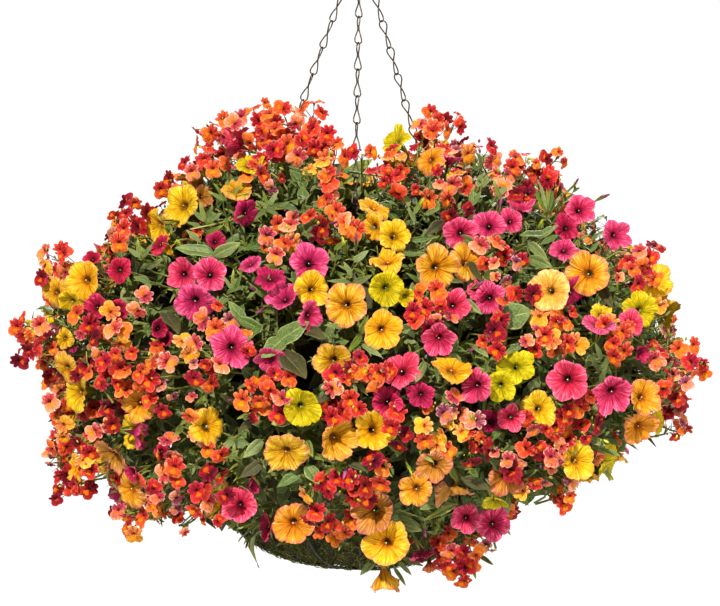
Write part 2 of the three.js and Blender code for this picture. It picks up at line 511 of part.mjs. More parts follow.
for (let i = 0; i < 6; i++) {
  const a0 = WALLS[i][0], a1 = i < 5 ? WALLS[i + 1][0] : WALLS[0][0] + 360;
  const mid = (a0 + a1) / 2;
  for (const tier of ['upper', 'lower']) {
    const cell = FLOWERS[`${NAMES[i]}_${tier}`];
    for (const kind of ['petunia', 'nemesia']) {
      const turn = kind === 'petunia' ? -11 : 11;
      const az = rad(mid + turn);
      const depth = kind === 'petunia' ? 29 : 21, over = kind === 'petunia' ? 20 : 28;
      let root;
      if (tier === 'upper') {
        // out of the compost, up the well in the middle and over its edge
        const r = 27;
        const foot = V(r * Math.cos(az), r * Math.sin(az), SOIL_Z + 5.5);
        const d = V(Math.cos(az) * Math.cos(rad(82)), Math.sin(az) * Math.cos(rad(82)), Math.sin(rad(82)));
        const top = onShell(d, depth, over);
        const lip = V(r * Math.cos(az), r * Math.sin(az), top.z);
        const d2 = V(Math.cos(az) * Math.cos(rad(74)), Math.sin(az) * Math.cos(rad(74)), Math.sin(rad(74)));
        root = [foot, lip, onShell(d2, depth, over)];
      } else {
        // over the rim, between the upper and the trailing growth
        const z = SPLIT_Z;
                const bearing = (r) => V(r * Math.cos(az), r * Math.sin(az), z);
        // out to the shell at this height
        let r = 250;
        for (let k = 0; k < 30; k++) {
          const q = bearing(r).sub(CENTRE);
          const s = shell(q.clone().normalize(), depth, over);
          r += (s - q.length()) * 0.8;
        }
        const at = (q, h) => V(q * Math.cos(az), q * Math.sin(az), h);
        root = [at(163, SOIL_Z + 6), at(178, z - 18), at(202, z), bearing(r)];
      }
      const solid = spray(cell[kind], kind, root, depth, over, kind === 'petunia' ? 1.5 : 1.1);
      add(`${kind}_${NAMES[i]}_${tier}`, toGeometry(solid), kind === 'petunia' ? 0xd8487a : 0xd9603f, 0.6, 0);
    }
  }
}

delete group.userData.ringZ;
export default group;
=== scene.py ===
import json, math
import bpy
import numpy as np
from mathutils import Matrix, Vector

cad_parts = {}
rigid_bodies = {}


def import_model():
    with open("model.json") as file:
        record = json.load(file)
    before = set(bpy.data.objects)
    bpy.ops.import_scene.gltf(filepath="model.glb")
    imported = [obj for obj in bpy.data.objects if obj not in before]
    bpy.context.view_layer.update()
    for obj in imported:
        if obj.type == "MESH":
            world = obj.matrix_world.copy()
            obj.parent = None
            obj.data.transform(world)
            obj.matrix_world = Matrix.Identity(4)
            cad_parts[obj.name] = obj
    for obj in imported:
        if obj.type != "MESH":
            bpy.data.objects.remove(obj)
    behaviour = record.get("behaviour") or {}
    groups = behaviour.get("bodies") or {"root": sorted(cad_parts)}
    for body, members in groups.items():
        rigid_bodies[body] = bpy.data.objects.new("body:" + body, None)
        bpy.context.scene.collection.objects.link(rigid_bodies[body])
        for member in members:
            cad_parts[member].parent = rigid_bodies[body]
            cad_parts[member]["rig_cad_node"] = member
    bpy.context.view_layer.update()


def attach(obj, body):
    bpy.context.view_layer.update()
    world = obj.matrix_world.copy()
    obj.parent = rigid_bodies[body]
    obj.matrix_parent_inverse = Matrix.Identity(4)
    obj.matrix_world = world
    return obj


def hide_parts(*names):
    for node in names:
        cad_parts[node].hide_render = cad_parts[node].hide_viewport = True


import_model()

MM = 0.001

# ---------------------------------------------------------------- camera
ELEV = math.radians(3.0)
DIST = 2.6
LOOK_Z = -0.500
fwd = np.array([0.0, math.cos(ELEV), -math.sin(ELEV)])
cam_data = bpy.data.cameras.new("camera")
cam_data.sensor_width = 36.0
cam_data.lens = 36.0 * (DIST / 0.00115) / 720.0
cam_data.clip_start = 0.05
cam_data.clip_end = 60.0
cam = bpy.data.objects.new("camera", cam_data)
bpy.context.scene.collection.objects.link(cam)
cam.location = Vector((0.0, 0.0, LOOK_Z)) - Vector(fwd) * DIST
cam.rotation_euler = (math.radians(90.0) - ELEV, 0.0, 0.0)
bpy.context.scene.camera = cam
CAM = np.array(cam.location) * 1000.0

# ---------------------------------------------------------------- sizes shared with the frame (mm)
RIM_R, RIM_Z, RIM_WIRE, BOWL_DEPTH, BOWL_POWER, RIB_WIRE, RIBS = 198.0, -603.0, 2.5, 199.0, 2.4, 1.6, 16
HOOK_R, HOOK_WIRE, RING_R, RING_WIRE, GATHER_Z = 13.5, 2.5, 15.0, 2.0, -95.0
LINKS, LINK_WIRE = 17, 0.85
CLIP_R, CLIP_WIRE = 7.2, 1.3
RIM_POINTS = {"left": 163.7, "front": -92.6, "right": 40.7}
SOIL_Z, SPLIT_Z = -622.0, -566.0
C = np.array([0.0, 0.0, -554.0])
OUT_RIGHT = [(-90, 236), (-67, 290), (-58, 262), (-48, 255), (-31, 312), (-15, 390), (0, 402), (11, 366),
             (17, 360), (23, 342), (33, 322), (44, 330), (63, 285), (69, 296), (81, 262), (90, 225)]
OUT_LEFT = [(-90, 236), (-77, 250), (-57, 266), (-35, 350), (-25, 385), (-19, 386), (-9, 360), (-2, 392),
            (2, 402), (17, 394), (31, 326), (38, 302), (54, 320), (61, 316), (74, 295), (82, 262), (90, 225)]
# how high the leaves reach, seen from the front: across, up from the middle of the view (mm)
LEAF_TOP = [
    (-391, -31), (-363, 3), (-336, 15), (-308, 47), (-290, 72), (-271, 82), (-253, 77), (-235, 86), (-216, 101), (-198, 121), (-179, 139), (-161, 164),
    (-152, 187), (-138, 153), (-115, 155), (-87, 164), (-69, 174), (-55, 170), (-44, 144), (-29, 130), (-11, 130), (7, 132), (23, 130), (35, 144),
    (51, 159), (60, 164), (74, 151), (92, 141), (110, 144), (126, 159), (143, 178), (161, 153), (184, 151), (207, 144), (230, 155), (244, 144),
    (265, 130), (281, 123), (294, 93), (322, 47), (345, 26), (363, -31), (391, -79)]
WALLS = [-92.6, -26.0, 40.7, 102.2, 163.7, 215.6]
NAMES = ["front_right", "right", "back_right", "back_left", "left", "front_left"]

# flowers: middle of the face, the way it looks, width (mm), colour, 1 if on the front side
PETUNIAS = [
    (-193, -169, -384, -0.47, -0.87, 0.14, 47, "Y", 1), (-216, -202, -408, -0.78, -0.61, -0.14, 40, "Y", 1), (-291, -222, -464, -0.17, -0.97, 0.17, 44, "Y", 1),
    (-328, -175, -479, -0.70, -0.70, 0.09, 34, "A", 1), (-304, -225, -489, -0.24, -0.91, -0.34, 32, "L", 1), (-249, -256, -452, 0.00, -1.00, 0.09, 28, "M", 1),
    (-181, -294, -455, -0.26, -0.96, 0.09, 34, "K", 1), (-152, -312, -454, 0.17, -0.97, 0.17, 37, "K", 1), (-167, -325, -483, 0.00, -1.00, -0.09, 43, "K", 1),
    (-275, -251, -491, -0.34, -0.94, 0.00, 29, "M", 1), (-284, -202, -442, -0.15, -0.85, 0.50, 23, "M", 1), (-249, -272, -493, 0.17, -0.98, 0.00, 25, "M", 1),
    (-149, -259, -422, 0.16, -0.93, 0.34, 23, "M", 1), (-117, -236, -394, 0.64, -0.76, 0.09, 31, "M", 1), (-210, -242, -425, -0.56, -0.66, 0.50, 25, "M", 1),
    (-132, -188, -366, -0.16, -0.59, 0.79, 38, "A", 1), (-118, -182, -341, 0.00, -0.62, 0.79, 30, "L", 1), (-203, -311, -509, 0.50, -0.87, 0.00, 26, "M", 1),
    (-168, -164, -376, 0.60, -0.72, 0.34, 24, "B", 1), (-200, -248, -431, -0.43, -0.75, -0.50, 21, "Y", 1), (-112, -314, -442, -0.17, -0.47, 0.87, 30, "K", 1),
    (-90, -336, -455, 0.00, -0.71, 0.71, 34, "M", 1), (-51, -325, -442, 0.00, -0.94, 0.34, 42, "K", 1), (-76, -346, -475, -0.20, -0.54, 0.82, 38, "K", 1),
    (-48, -353, -494, 0.82, -0.57, 0.00, 36, "K", 1), (-47, -343, -468, 0.00, -1.00, 0.00, 37, "Y", 1), (-15, -357, -484, 0.00, -1.00, -0.09, 45, "A", 1),
    (26, -345, -467, 0.00, -1.00, 0.00, 39, "L", 1), (27, -323, -438, -0.12, -0.70, 0.71, 36, "Y", 1), (36, -296, -415, 0.17, -0.95, 0.26, 39, "Y", 1),
    (12, -275, -408, -0.71, -0.71, 0.00, 31, "Y", 1), (16, -247, -385, 0.35, -0.61, 0.71, 35, "Y", 1), (36, -175, -316, -0.53, -0.76, 0.38, 36, "L", 1),
    (72, -195, -336, -0.60, -0.72, 0.34, 34, "A", 1), (97, -179, -334, 0.00, -0.17, 0.98, 36, "K", 1), (103, -272, -413, -0.09, -0.99, 0.09, 38, "K", 1),
    (77, -331, -448, 0.00, -1.00, 0.00, 46, "A", 1), (110, -297, -442, 0.42, -0.89, 0.17, 39, "A", 1), (93, -340, -485, 0.09, -1.00, 0.00, 36, "K", 1),
    (22, -366, -508, 0.09, -0.98, -0.17, 38, "Y", 1), (45, -366, -475, 0.00, -1.00, 0.00, 22, "L", 1), (130, -325, -478, 0.00, -1.00, 0.09, 37, "K", 1),
    (119, -316, -470, -0.60, -0.72, 0.34, 26, "K", 1), (134, -250, -406, -0.16, -0.93, 0.34, 37, "K", 1), (158, -230, -402, 0.16, -0.93, 0.34, 29, "K", 1),
    (170, -196, -387, 0.00, -0.42, 0.91, 34, "K", 1), (240, -129, -391, 0.17, -0.98, 0.09, 36, "K", 1), (220, -188, -410, 0.00, -0.97, 0.26, 30, "M", 1),
    (213, -234, -430, -0.13, -0.75, 0.64, 33, "K", 1), (280, -123, -419, 0.42, -0.89, 0.17, 34, "K", 1), (236, -252, -457, 0.00, -1.00, 0.09, 48, "A", 1),
    (192, -308, -470, -0.24, -0.97, 0.09, 47, "P", 1), (222, -248, -477, 0.42, -0.91, 0.00, 35, "M", 1), (322, -129, -471, 0.26, -0.97, 0.00, 44, "Y", 1),
    (298, -207, -497, 0.17, -0.98, 0.00, 40, "L", 1), (285, -231, -508, 0.31, -0.85, 0.42, 31, "K", 1), (247, -273, -505, 0.00, -0.26, 0.97, 39, "K", 1),
    (251, -253, -496, 0.09, -0.49, 0.87, 25, "Y", 1), (-314, -215, -526, -0.64, -0.77, 0.00, 25, "Y", 1), (-311, -226, -558, -0.77, -0.60, -0.21, 34, "A", 1),
    (-299, -223, -583, -0.69, -0.69, -0.21, 44, "Y", 1), (-228, -291, -587, -0.30, -0.93, -0.21, 43, "A", 1), (-238, -262, -620, -0.61, -0.78, -0.14, 39, "Y", 1),
    (-227, -276, -620, 0.95, -0.26, -0.17, 35, "K", 1), (-152, -322, -608, 0.26, -0.97, 0.00, 42, "Y", 1), (-260, -242, -649, -0.41, -0.71, -0.57, 42, "B", 1),
    (-310, -173, -669, -0.87, -0.50, 0.00, 34, "Y", 1), (-244, -243, -684, -0.55, -0.79, -0.26, 44, "A", 1), (-235, -268, -662, -0.85, -0.49, -0.17, 23, "M", 1),
    (-127, -355, -526, 0.00, -1.00, 0.00, 42, "K", 1), (-123, -299, -691, -0.09, -0.99, -0.09, 39, "K", 1), (-203, -286, -638, 0.34, -0.94, 0.00, 18, "M", 1),
    (-198, -303, -520, 0.00, -1.00, 0.00, 22, "M", 1), (-90, -359, -538, 0.00, -0.82, -0.57, 32, "K", 1), (-27, -378, -539, -0.09, -1.00, 0.00, 42, "A", 1),
    (-58, -364, -585, 0.00, -1.00, 0.00, 42, "L", 1), (-76, -346, -634, -0.16, -0.89, -0.42, 45, "A", 1), (-22, -354, -617, 0.42, -0.90, -0.09, 48, "A", 1),
    (15, -356, -608, 0.26, -0.96, -0.09, 46, "Y", 1), (40, -373, -546, 0.00, -0.71, 0.71, 41, "K", 1), (27, -357, -578, 0.00, -0.98, 0.17, 34, "M", 1),
    (60, -366, -572, 0.00, -1.00, 0.00, 29, "M", 1), (78, -358, -518, 0.09, -0.99, -0.09, 38, "K", 1), (92, -370, -544, 0.12, -0.70, 0.71, 40, "Y", 1),
    (113, -366, -563, -0.71, -0.71, 0.00, 38, "K", 1), (73, -338, -647, 0.00, -0.79, -0.62, 38, "B", 1), (56, -335, -671, -0.17, -0.98, -0.09, 38, "A", 1),
    (96, -311, -678, 0.09, -0.49, -0.87, 43, "B", 1), (13, -316, -695, -0.09, -0.97, 0.21, 45, "B", 1), (-70, -278, -715, -0.08, -0.96, -0.26, 45, "A", 1),
    (-99, -259, -720, -0.86, -0.50, -0.09, 33, "M", 1), (26, -308, -730, -0.07, -0.99, 0.14, 47, "Y", 1), (110, -267, -710, -0.09, -0.99, -0.09, 34, "K", 1),
    (-109, -312, -669, 0.87, -0.50, 0.00, 22, "M", 1), (157, -343, -545, 0.00, -1.00, 0.00, 35, "L", 1), (139, -354, -565, -0.17, -0.97, -0.17, 34, "L", 1),
    (209, -326, -561, 0.00, -1.00, -0.09, 47, "K", 1), (260, -280, -579, 0.09, -0.99, -0.09, 45, "K", 1), (151, -330, -599, -0.09, -0.99, 0.09, 31, "K", 1),
    (182, -320, -590, 0.09, -0.99, 0.09, 34, "Y", 1), (298, -236, -586, 0.57, -0.82, 0.00, 40, "A", 1), (296, -226, -620, 0.49, -0.85, -0.17, 40, "A", 1),
    (319, -200, -616, 0.81, -0.56, -0.17, 26, "L", 1), (224, -287, -646, 0.30, -0.93, 0.21, 41, "Y", 1), (233, -245, -670, 0.32, -0.56, -0.77, 31, "Y", 1),
    (148, -305, -664, 0.00, -1.00, -0.09, 37, "B", 1), (258, -237, -664, 0.79, -0.37, -0.50, 29, "L", 1), (140, -236, -720, 0.09, -1.00, 0.00, 38, "K", 1),
    (138, -301, -689, 0.11, -0.63, -0.77, 27, "L", 1), (132, -319, -604, -0.34, -0.94, 0.00, 26, "M", 1), (293, -246, -539, 0.64, -0.77, 0.00, 23, "M", 1),
    (248, -259, -649, 0.66, -0.38, -0.64, 19, "B", 1), (69, -185, -764, 0.44, -0.23, -0.87, 34, "K", 1), (76, -165, -777, 0.17, -0.47, -0.87, 26, "B", 1),
    (26, -250, -777, -0.02, 0.14, -0.99, 46, "A", 1), (66, -102, -776, -0.38, -0.66, -0.64, 22, "M", 1), (-207, 255, -680, -0.62, 0.70, 0.35, 37, "M", 0),
    (-24, 72, -297, -0.17, 0.59, 0.79, 50, "L", 0), (199, 31, -324, 0.92, -0.21, 0.33, 45, "L", 0), (309, 164, -511, 0.83, 0.15, 0.53, 36, "A", 0),
    (-163, 126, -348, -0.76, -0.27, 0.60, 31, "A", 0), (353, -5, -647, 0.98, 0.16, 0.12, 42, "K", 0), (229, 134, -420, 0.60, 0.22, 0.77, 51, "A", 0),
    (109, 22, -304, 0.63, -0.21, 0.74, 32, "A", 0), (-234, 92, -405, -0.64, 0.33, 0.70, 33, "P", 0), (110, 87, -326, 0.54, 0.12, 0.83, 37, "A", 0),
    (-44, 248, -725, 0.13, 0.96, -0.23, 47, "M", 0), (268, 43, -392, 0.83, 0.18, 0.53, 46, "M", 0), (-362, 135, -557, -0.95, 0.06, 0.30, 36, "M", 0),
    (103, 117, -734, 0.70, 0.22, -0.68, 44, "K", 0), (261, 31, -705, 0.65, 0.70, -0.29, 34, "B", 0), (-6, 322, -629, 0.03, 0.94, -0.35, 48, "Y", 0),
    (8, 220, -398, 0.18, 0.82, 0.55, 48, "K", 0), (372, -41, -572, 0.87, -0.46, 0.16, 49, "K", 0), (311, 112, -669, 0.56, 0.20, 0.80, 52, "K", 0),
    (-28, 344, -539, -0.25, 0.95, -0.15, 39, "Y", 0), (-68, 135, -334, -0.54, 0.04, 0.84, 33, "A", 0), (-319, 83, -618, -0.90, -0.13, 0.41, 47, "K", 0),
    (382, 30, -575, 0.95, -0.15, 0.26, 40, "M", 0), (-66, 263, -412, 0.08, 1.00, -0.02, 38, "M", 0), (58, 198, -722, -0.09, 0.95, -0.30, 51, "M", 0),
    (-34, 317, -452, 0.23, 0.84, 0.49, 48, "L", 0), (-127, 95, -765, -0.93, -0.08, -0.35, 34, "K", 0), (-242, 253, -583, -0.56, 0.82, -0.11, 46, "K", 0),
    (216, 280, -561, 0.75, 0.54, 0.38, 45, "B", 0), (196, 240, -426, 0.55, 0.46, 0.70, 38, "Y", 0), (67, 342, -518, 0.32, 0.87, 0.37, 48, "K", 0),
    (116, 328, -480, 0.59, 0.73, 0.35, 31, "L", 0), (-152, 231, -399, -0.58, 0.76, 0.30, 41, "Y", 0), (352, 157, -560, 0.56, 0.37, 0.75, 33, "L", 0),
    (-47, 131, -745, 0.09, 0.83, -0.56, 31, "K", 0), (154, 170, -375, 0.51, 0.47, 0.72, 42, "Y", 0), (-188, 267, -487, -0.69, 0.59, 0.42, 42, "Y", 0),
    (326, 67, -457, 0.94, -0.08, 0.32, 30, "K", 0), (-51, 328, -665, 0.03, 0.99, -0.17, 50, "A", 0), (-93, 266, -697, -0.36, 0.77, -0.53, 34, "K", 0),
    (256, 152, -690, 0.53, 0.80, -0.28, 38, "K", 0), (216, 279, -644, 0.12, 0.93, 0.34, 32, "Y", 0), (-159, 163, -750, -0.02, 0.31, -0.95, 39, "A", 0),
    (52, 285, -424, -0.26, 0.27, 0.93, 46, "K", 0), (-327, 127, -452, -0.91, -0.41, 0.11, 44, "Y", 0), (51, 281, -693, -0.19, 0.69, -0.70, 52, "L", 0),
    (-329, 38, -659, -0.62, -0.29, -0.73, 52, "K", 0), (-37, 197, -363, -0.07, 0.80, 0.59, 31, "K", 0), (-89, 69, -298, -0.22, 0.05, 0.97, 38, "L", 0),
    (281, 147, -442, 0.61, 0.53, 0.59, 34, "B", 0), (307, -24, -455, 0.98, 0.17, 0.14, 42, "L", 0), (-174, 281, -625, -0.17, 0.98, 0.07, 45, "M", 0),
    (231, 102, -709, 0.88, -0.04, -0.48, 48, "A", 0), (26, 124, -755, 0.36, 0.65, -0.67, 44, "A", 0), (190, 220, -682, 0.77, 0.63, -0.10, 43, "B", 0),
    (-297, 236, -512, -0.54, 0.77, 0.34, 47, "B", 0), (103, 172, -338, -0.21, 0.41, 0.89, 38, "K", 0), (-272, 8, -750, -0.69, 0.18, -0.71, 51, "L", 0),
    (153, 190, -723, 0.67, 0.39, -0.63, 41, "A", 0), (-250, 211, -456, -0.60, 0.49, 0.64, 43, "Y", 0), (283, 204, -577, 0.93, 0.33, 0.18, 39, "K", 0),
    (-142, 313, -487, -0.01, 0.95, 0.32, 30, "M", 0), (-279, 199, -690, -0.25, 0.91, -0.34, 30, "K", 0), (-261, 146, -722, -0.74, 0.29, -0.60, 34, "Y", 0),
    (-200, 162, -401, -0.56, 0.36, 0.74, 50, "K", 0), (-133, 324, -576, -0.56, 0.76, 0.33, 43, "Y", 0), (352, 3, -489, 0.94, 0.14, 0.32, 49, "L", 0),
    (-189, 22, -353, -0.52, -0.24, 0.82, 41, "A", 0), (-303, -59, -711, -0.78, -0.48, -0.39, 49, "M", 0), (-377, 78, -533, -1.00, 0.03, -0.07, 30, "Y", 0),
    (167, 295, -521, 0.82, 0.51, -0.25, 31, "Y", 0), (-188, 49, -756, -0.94, 0.30, 0.16, 41, "A", 0), (-253, -62, -752, -0.79, -0.17, -0.59, 43, "Y", 0),
    (208, 78, -366, 0.76, 0.58, 0.29, 33, "K", 0), (19, 186, -352, -0.04, 0.58, 0.81, 48, "A", 0), (-293, 194, -587, -0.83, 0.52, -0.20, 42, "K", 0),
    (-370, 13, -468, -0.82, 0.37, 0.43, 32, "K", 0), (-53, -4, -306, -0.22, -0.10, 0.97, 30, "K", 0), (-244, -5, -390, -0.52, -0.07, 0.85, 44, "B", 0),
    (183, 141, -717, 0.92, -0.05, -0.39, 50, "K", 0), (125, 232, -692, 0.53, 0.68, -0.51, 38, "M", 0), (356, 64, -625, 0.95, 0.26, -0.17, 49, "A", 0),
    (194, 61, -730, -0.13, 0.76, -0.64, 46, "L", 0), (82, 210, -378, -0.06, 0.61, 0.79, 37, "A", 0), (-242, 291, -531, -0.54, 0.76, 0.36, 51, "A", 0),
    (245, 209, -488, 0.74, 0.67, 0.05, 40, "K", 0), (-66, 325, -601, -0.51, 0.84, -0.17, 34, "A", 0), (-18, 193, -738, 0.29, 0.66, -0.69, 43, "K", 0),
    (-295, 136, -625, -0.94, 0.29, -0.18, 38, "K", 0), (113, 55, -749, 0.33, 0.18, -0.93, 51, "K", 0), (-88, 208, -395, 0.31, 0.45, 0.84, 32, "K", 0),
    (-202, 121, -750, -0.59, 0.67, -0.45, 31, "K", 0), (-129, 218, -707, -0.69, 0.63, -0.36, 42, "B", 0), (-320, 129, -694, -0.72, 0.66, 0.22, 35, "M", 0),
    (-322, 185, -498, -0.71, 0.44, 0.54, 50, "A", 0), (158, 128, -328, 0.67, 0.10, 0.74, 45, "B", 0), (244, -11, -381, 0.50, 0.01, 0.87, 36, "K", 0),
    (279, 206, -650, 0.49, 0.82, -0.29, 46, "L", 0), (127, 269, -438, 0.12, 0.77, 0.62, 34, "K", 0), (119, 344, -574, 0.37, 0.89, 0.27, 46, "M", 0),
    (-120, 308, -646, -0.03, 0.94, -0.35, 51, "P", 0), (-218, 200, -715, -0.57, 0.54, -0.62, 41, "Y", 0), (152, 316, -631, -0.24, 0.91, 0.34, 44, "A", 0),
    (-345, -24, -676, -0.37, 0.12, -0.92, 30, "B", 0), (-325, -38, -599, -0.82, 0.53, -0.22, 38, "A", 0), (-337, 58, -425, -0.94, 0.04, 0.33, 36, "Y", 0),
    (-357, -16, -552, -0.38, -0.32, 0.87, 33, "A", 0), (-317, -25, -412, -0.94, 0.28, 0.20, 33, "K", 0), (317, 164, -631, 0.88, 0.43, -0.19, 51, "Y", 0),
    (-214, -3, -762, -0.64, -0.21, -0.74, 38, "A", 0), (216, -32, -728, 0.74, 0.61, -0.28, 51, "A", 0), (-254, 65, -728, -0.92, 0.39, 0.07, 32, "B", 0),
    (-356, 42, -594, -0.72, 0.57, -0.39, 40, "M", 0), (110, 289, -680, 0.37, 0.91, -0.17, 40, "A", 0), (-286, 30, -410, -0.42, 0.14, 0.90, 38, "K", 0),
    (23, 339, -570, 0.19, 0.86, 0.47, 36, "K", 0), (160, -16, -334, 0.52, 0.20, 0.83, 46, "M", 0), (206, 282, -478, 0.06, 0.86, 0.50, 47, "K", 0),
    (-86, 338, -523, -0.09, 0.76, 0.64, 37, "M", 0), (-354, -51, -466, -0.88, -0.46, 0.15, 38, "K", 0), (379, 101, -561, 0.99, 0.16, 0.02, 34, "Y", 0),
    (78, 93, -782, 0.43, 0.68, -0.60, 38, "K", 0), (336, 74, -528, 0.81, 0.48, 0.35, 32, "K", 0), (266, 267, -535, 0.76, 0.07, 0.65, 31, "Y", 0),
    (-275, 153, -431, -0.64, 0.74, 0.20, 30, "P", 0), (-125, 275, -445, -0.26, 0.93, 0.26, 32, "K", 0), (285, -28, -687, 0.95, -0.30, -0.08, 31, "A", 0),
    (74, 329, -625, 0.27, 0.96, 0.04, 47, "Y", 0), (-151, 272, -702, 0.18, 0.57, -0.80, 46, "A", 0), (-96, 177, -742, -0.01, 0.86, -0.50, 30, "K", 0),
    (-382, -61, -519, -0.45, -0.09, 0.89, 48, "L", 0), (363, -55, -512, 1.00, -0.01, 0.07, 43, "Y", 0), (-15, 154, -312, 0.44, 0.29, 0.85, 52, "L", 0),
    (-141, 180, -374, -0.12, 0.59, 0.80, 34, "A", 0), (-252, 223, -639, -0.70, 0.62, -0.36, 34, "A", 0), (-4, 303, -700, 0.27, 0.87, 0.41, 45, "Y", 0),
    (66, 75, -289, -0.18, 0.58, 0.79, 52, "A", 0), (326, 50, -677, 0.90, 0.01, 0.45, 48, "Y", 0), (-343, 72, -483, -0.88, 0.36, 0.31, 48, "M", 0),
    (-320, 73, -716, -0.64, 0.75, -0.15, 35, "Y", 0), (30, 330, -468, 0.51, 0.53, 0.68, 38, "A", 0), (40, -53, -308, 0.07, -0.22, 0.97, 41, "A", 0),
    (-199, -38, -353, -0.63, -0.26, 0.73, 40, "B", 0), (-236, -62, -398, -0.72, -0.25, 0.65, 41, "A", 0), (-320, -116, -610, -0.82, -0.56, 0.12, 45, "A", 0),
    (-179, -77, -766, -0.76, -0.59, -0.27, 48, "Y", 0), (221, -164, -694, 0.87, -0.49, 0.02, 44, "K", 0), (-180, -147, -742, -0.41, -0.44, -0.80, 46, "K", 0),
    (99, -75, -326, 0.31, -0.27, 0.91, 49, "Y", 0), (270, -153, -664, 0.79, -0.61, 0.04, 45, "L", 0), (191, -109, -711, 0.69, -0.64, -0.33, 37, "B", 0),
    (-155, -231, -704, -0.38, -0.86, -0.35, 44, "A", 0), (3, -25, -329, -0.03, -0.07, 1.00, 37, "K", 0), (-303, -161, -580, -0.90, -0.36, 0.23, 37, "A", 0),
    (-306, -116, -416, -0.75, 0.08, 0.65, 38, "A", 0), (-318, -137, -457, -0.70, -0.24, 0.67, 41, "A", 0), (-78, -101, -313, -0.31, -0.06, 0.95, 51, "K", 0),
    (289, -112, -693, 0.82, -0.35, -0.45, 36, "Y", 0), (-69, -44, -302, -0.47, 0.22, 0.86, 40, "K", 0), (243, -62, -370, 0.54, -0.12, 0.84, 43, "A", 0),
    (-130, -129, -341, -0.29, -0.11, 0.95, 37, "K", 0), (-322, -156, -530, -0.73, -0.57, -0.38, 42, "M", 0), (311, -69, -670, 0.89, -0.25, 0.39, 38, "L", 0),
    (-5, -78, -312, -0.14, -0.09, 0.99, 40, "Y", 0), (-302, -125, -662, -0.74, -0.57, -0.36, 52, "Y", 0), (187, -96, -332, 0.93, -0.33, 0.15, 46, "A", 0),
    (-183, -101, -352, -0.12, -0.10, 0.99, 51, "A", 0), (274, -46, -407, 0.85, -0.47, 0.24, 39, "P", 0), (-291, -109, -727, -0.85, -0.48, -0.23, 43, "A", 0),
    (-138, -73, -317, -0.74, 0.27, 0.62, 47, "K", 0), (-224, -185, -711, -0.93, -0.07, -0.37, 38, "B", 0), (-278, -164, -706, -0.82, -0.49, -0.29, 40, "K", 0)
]
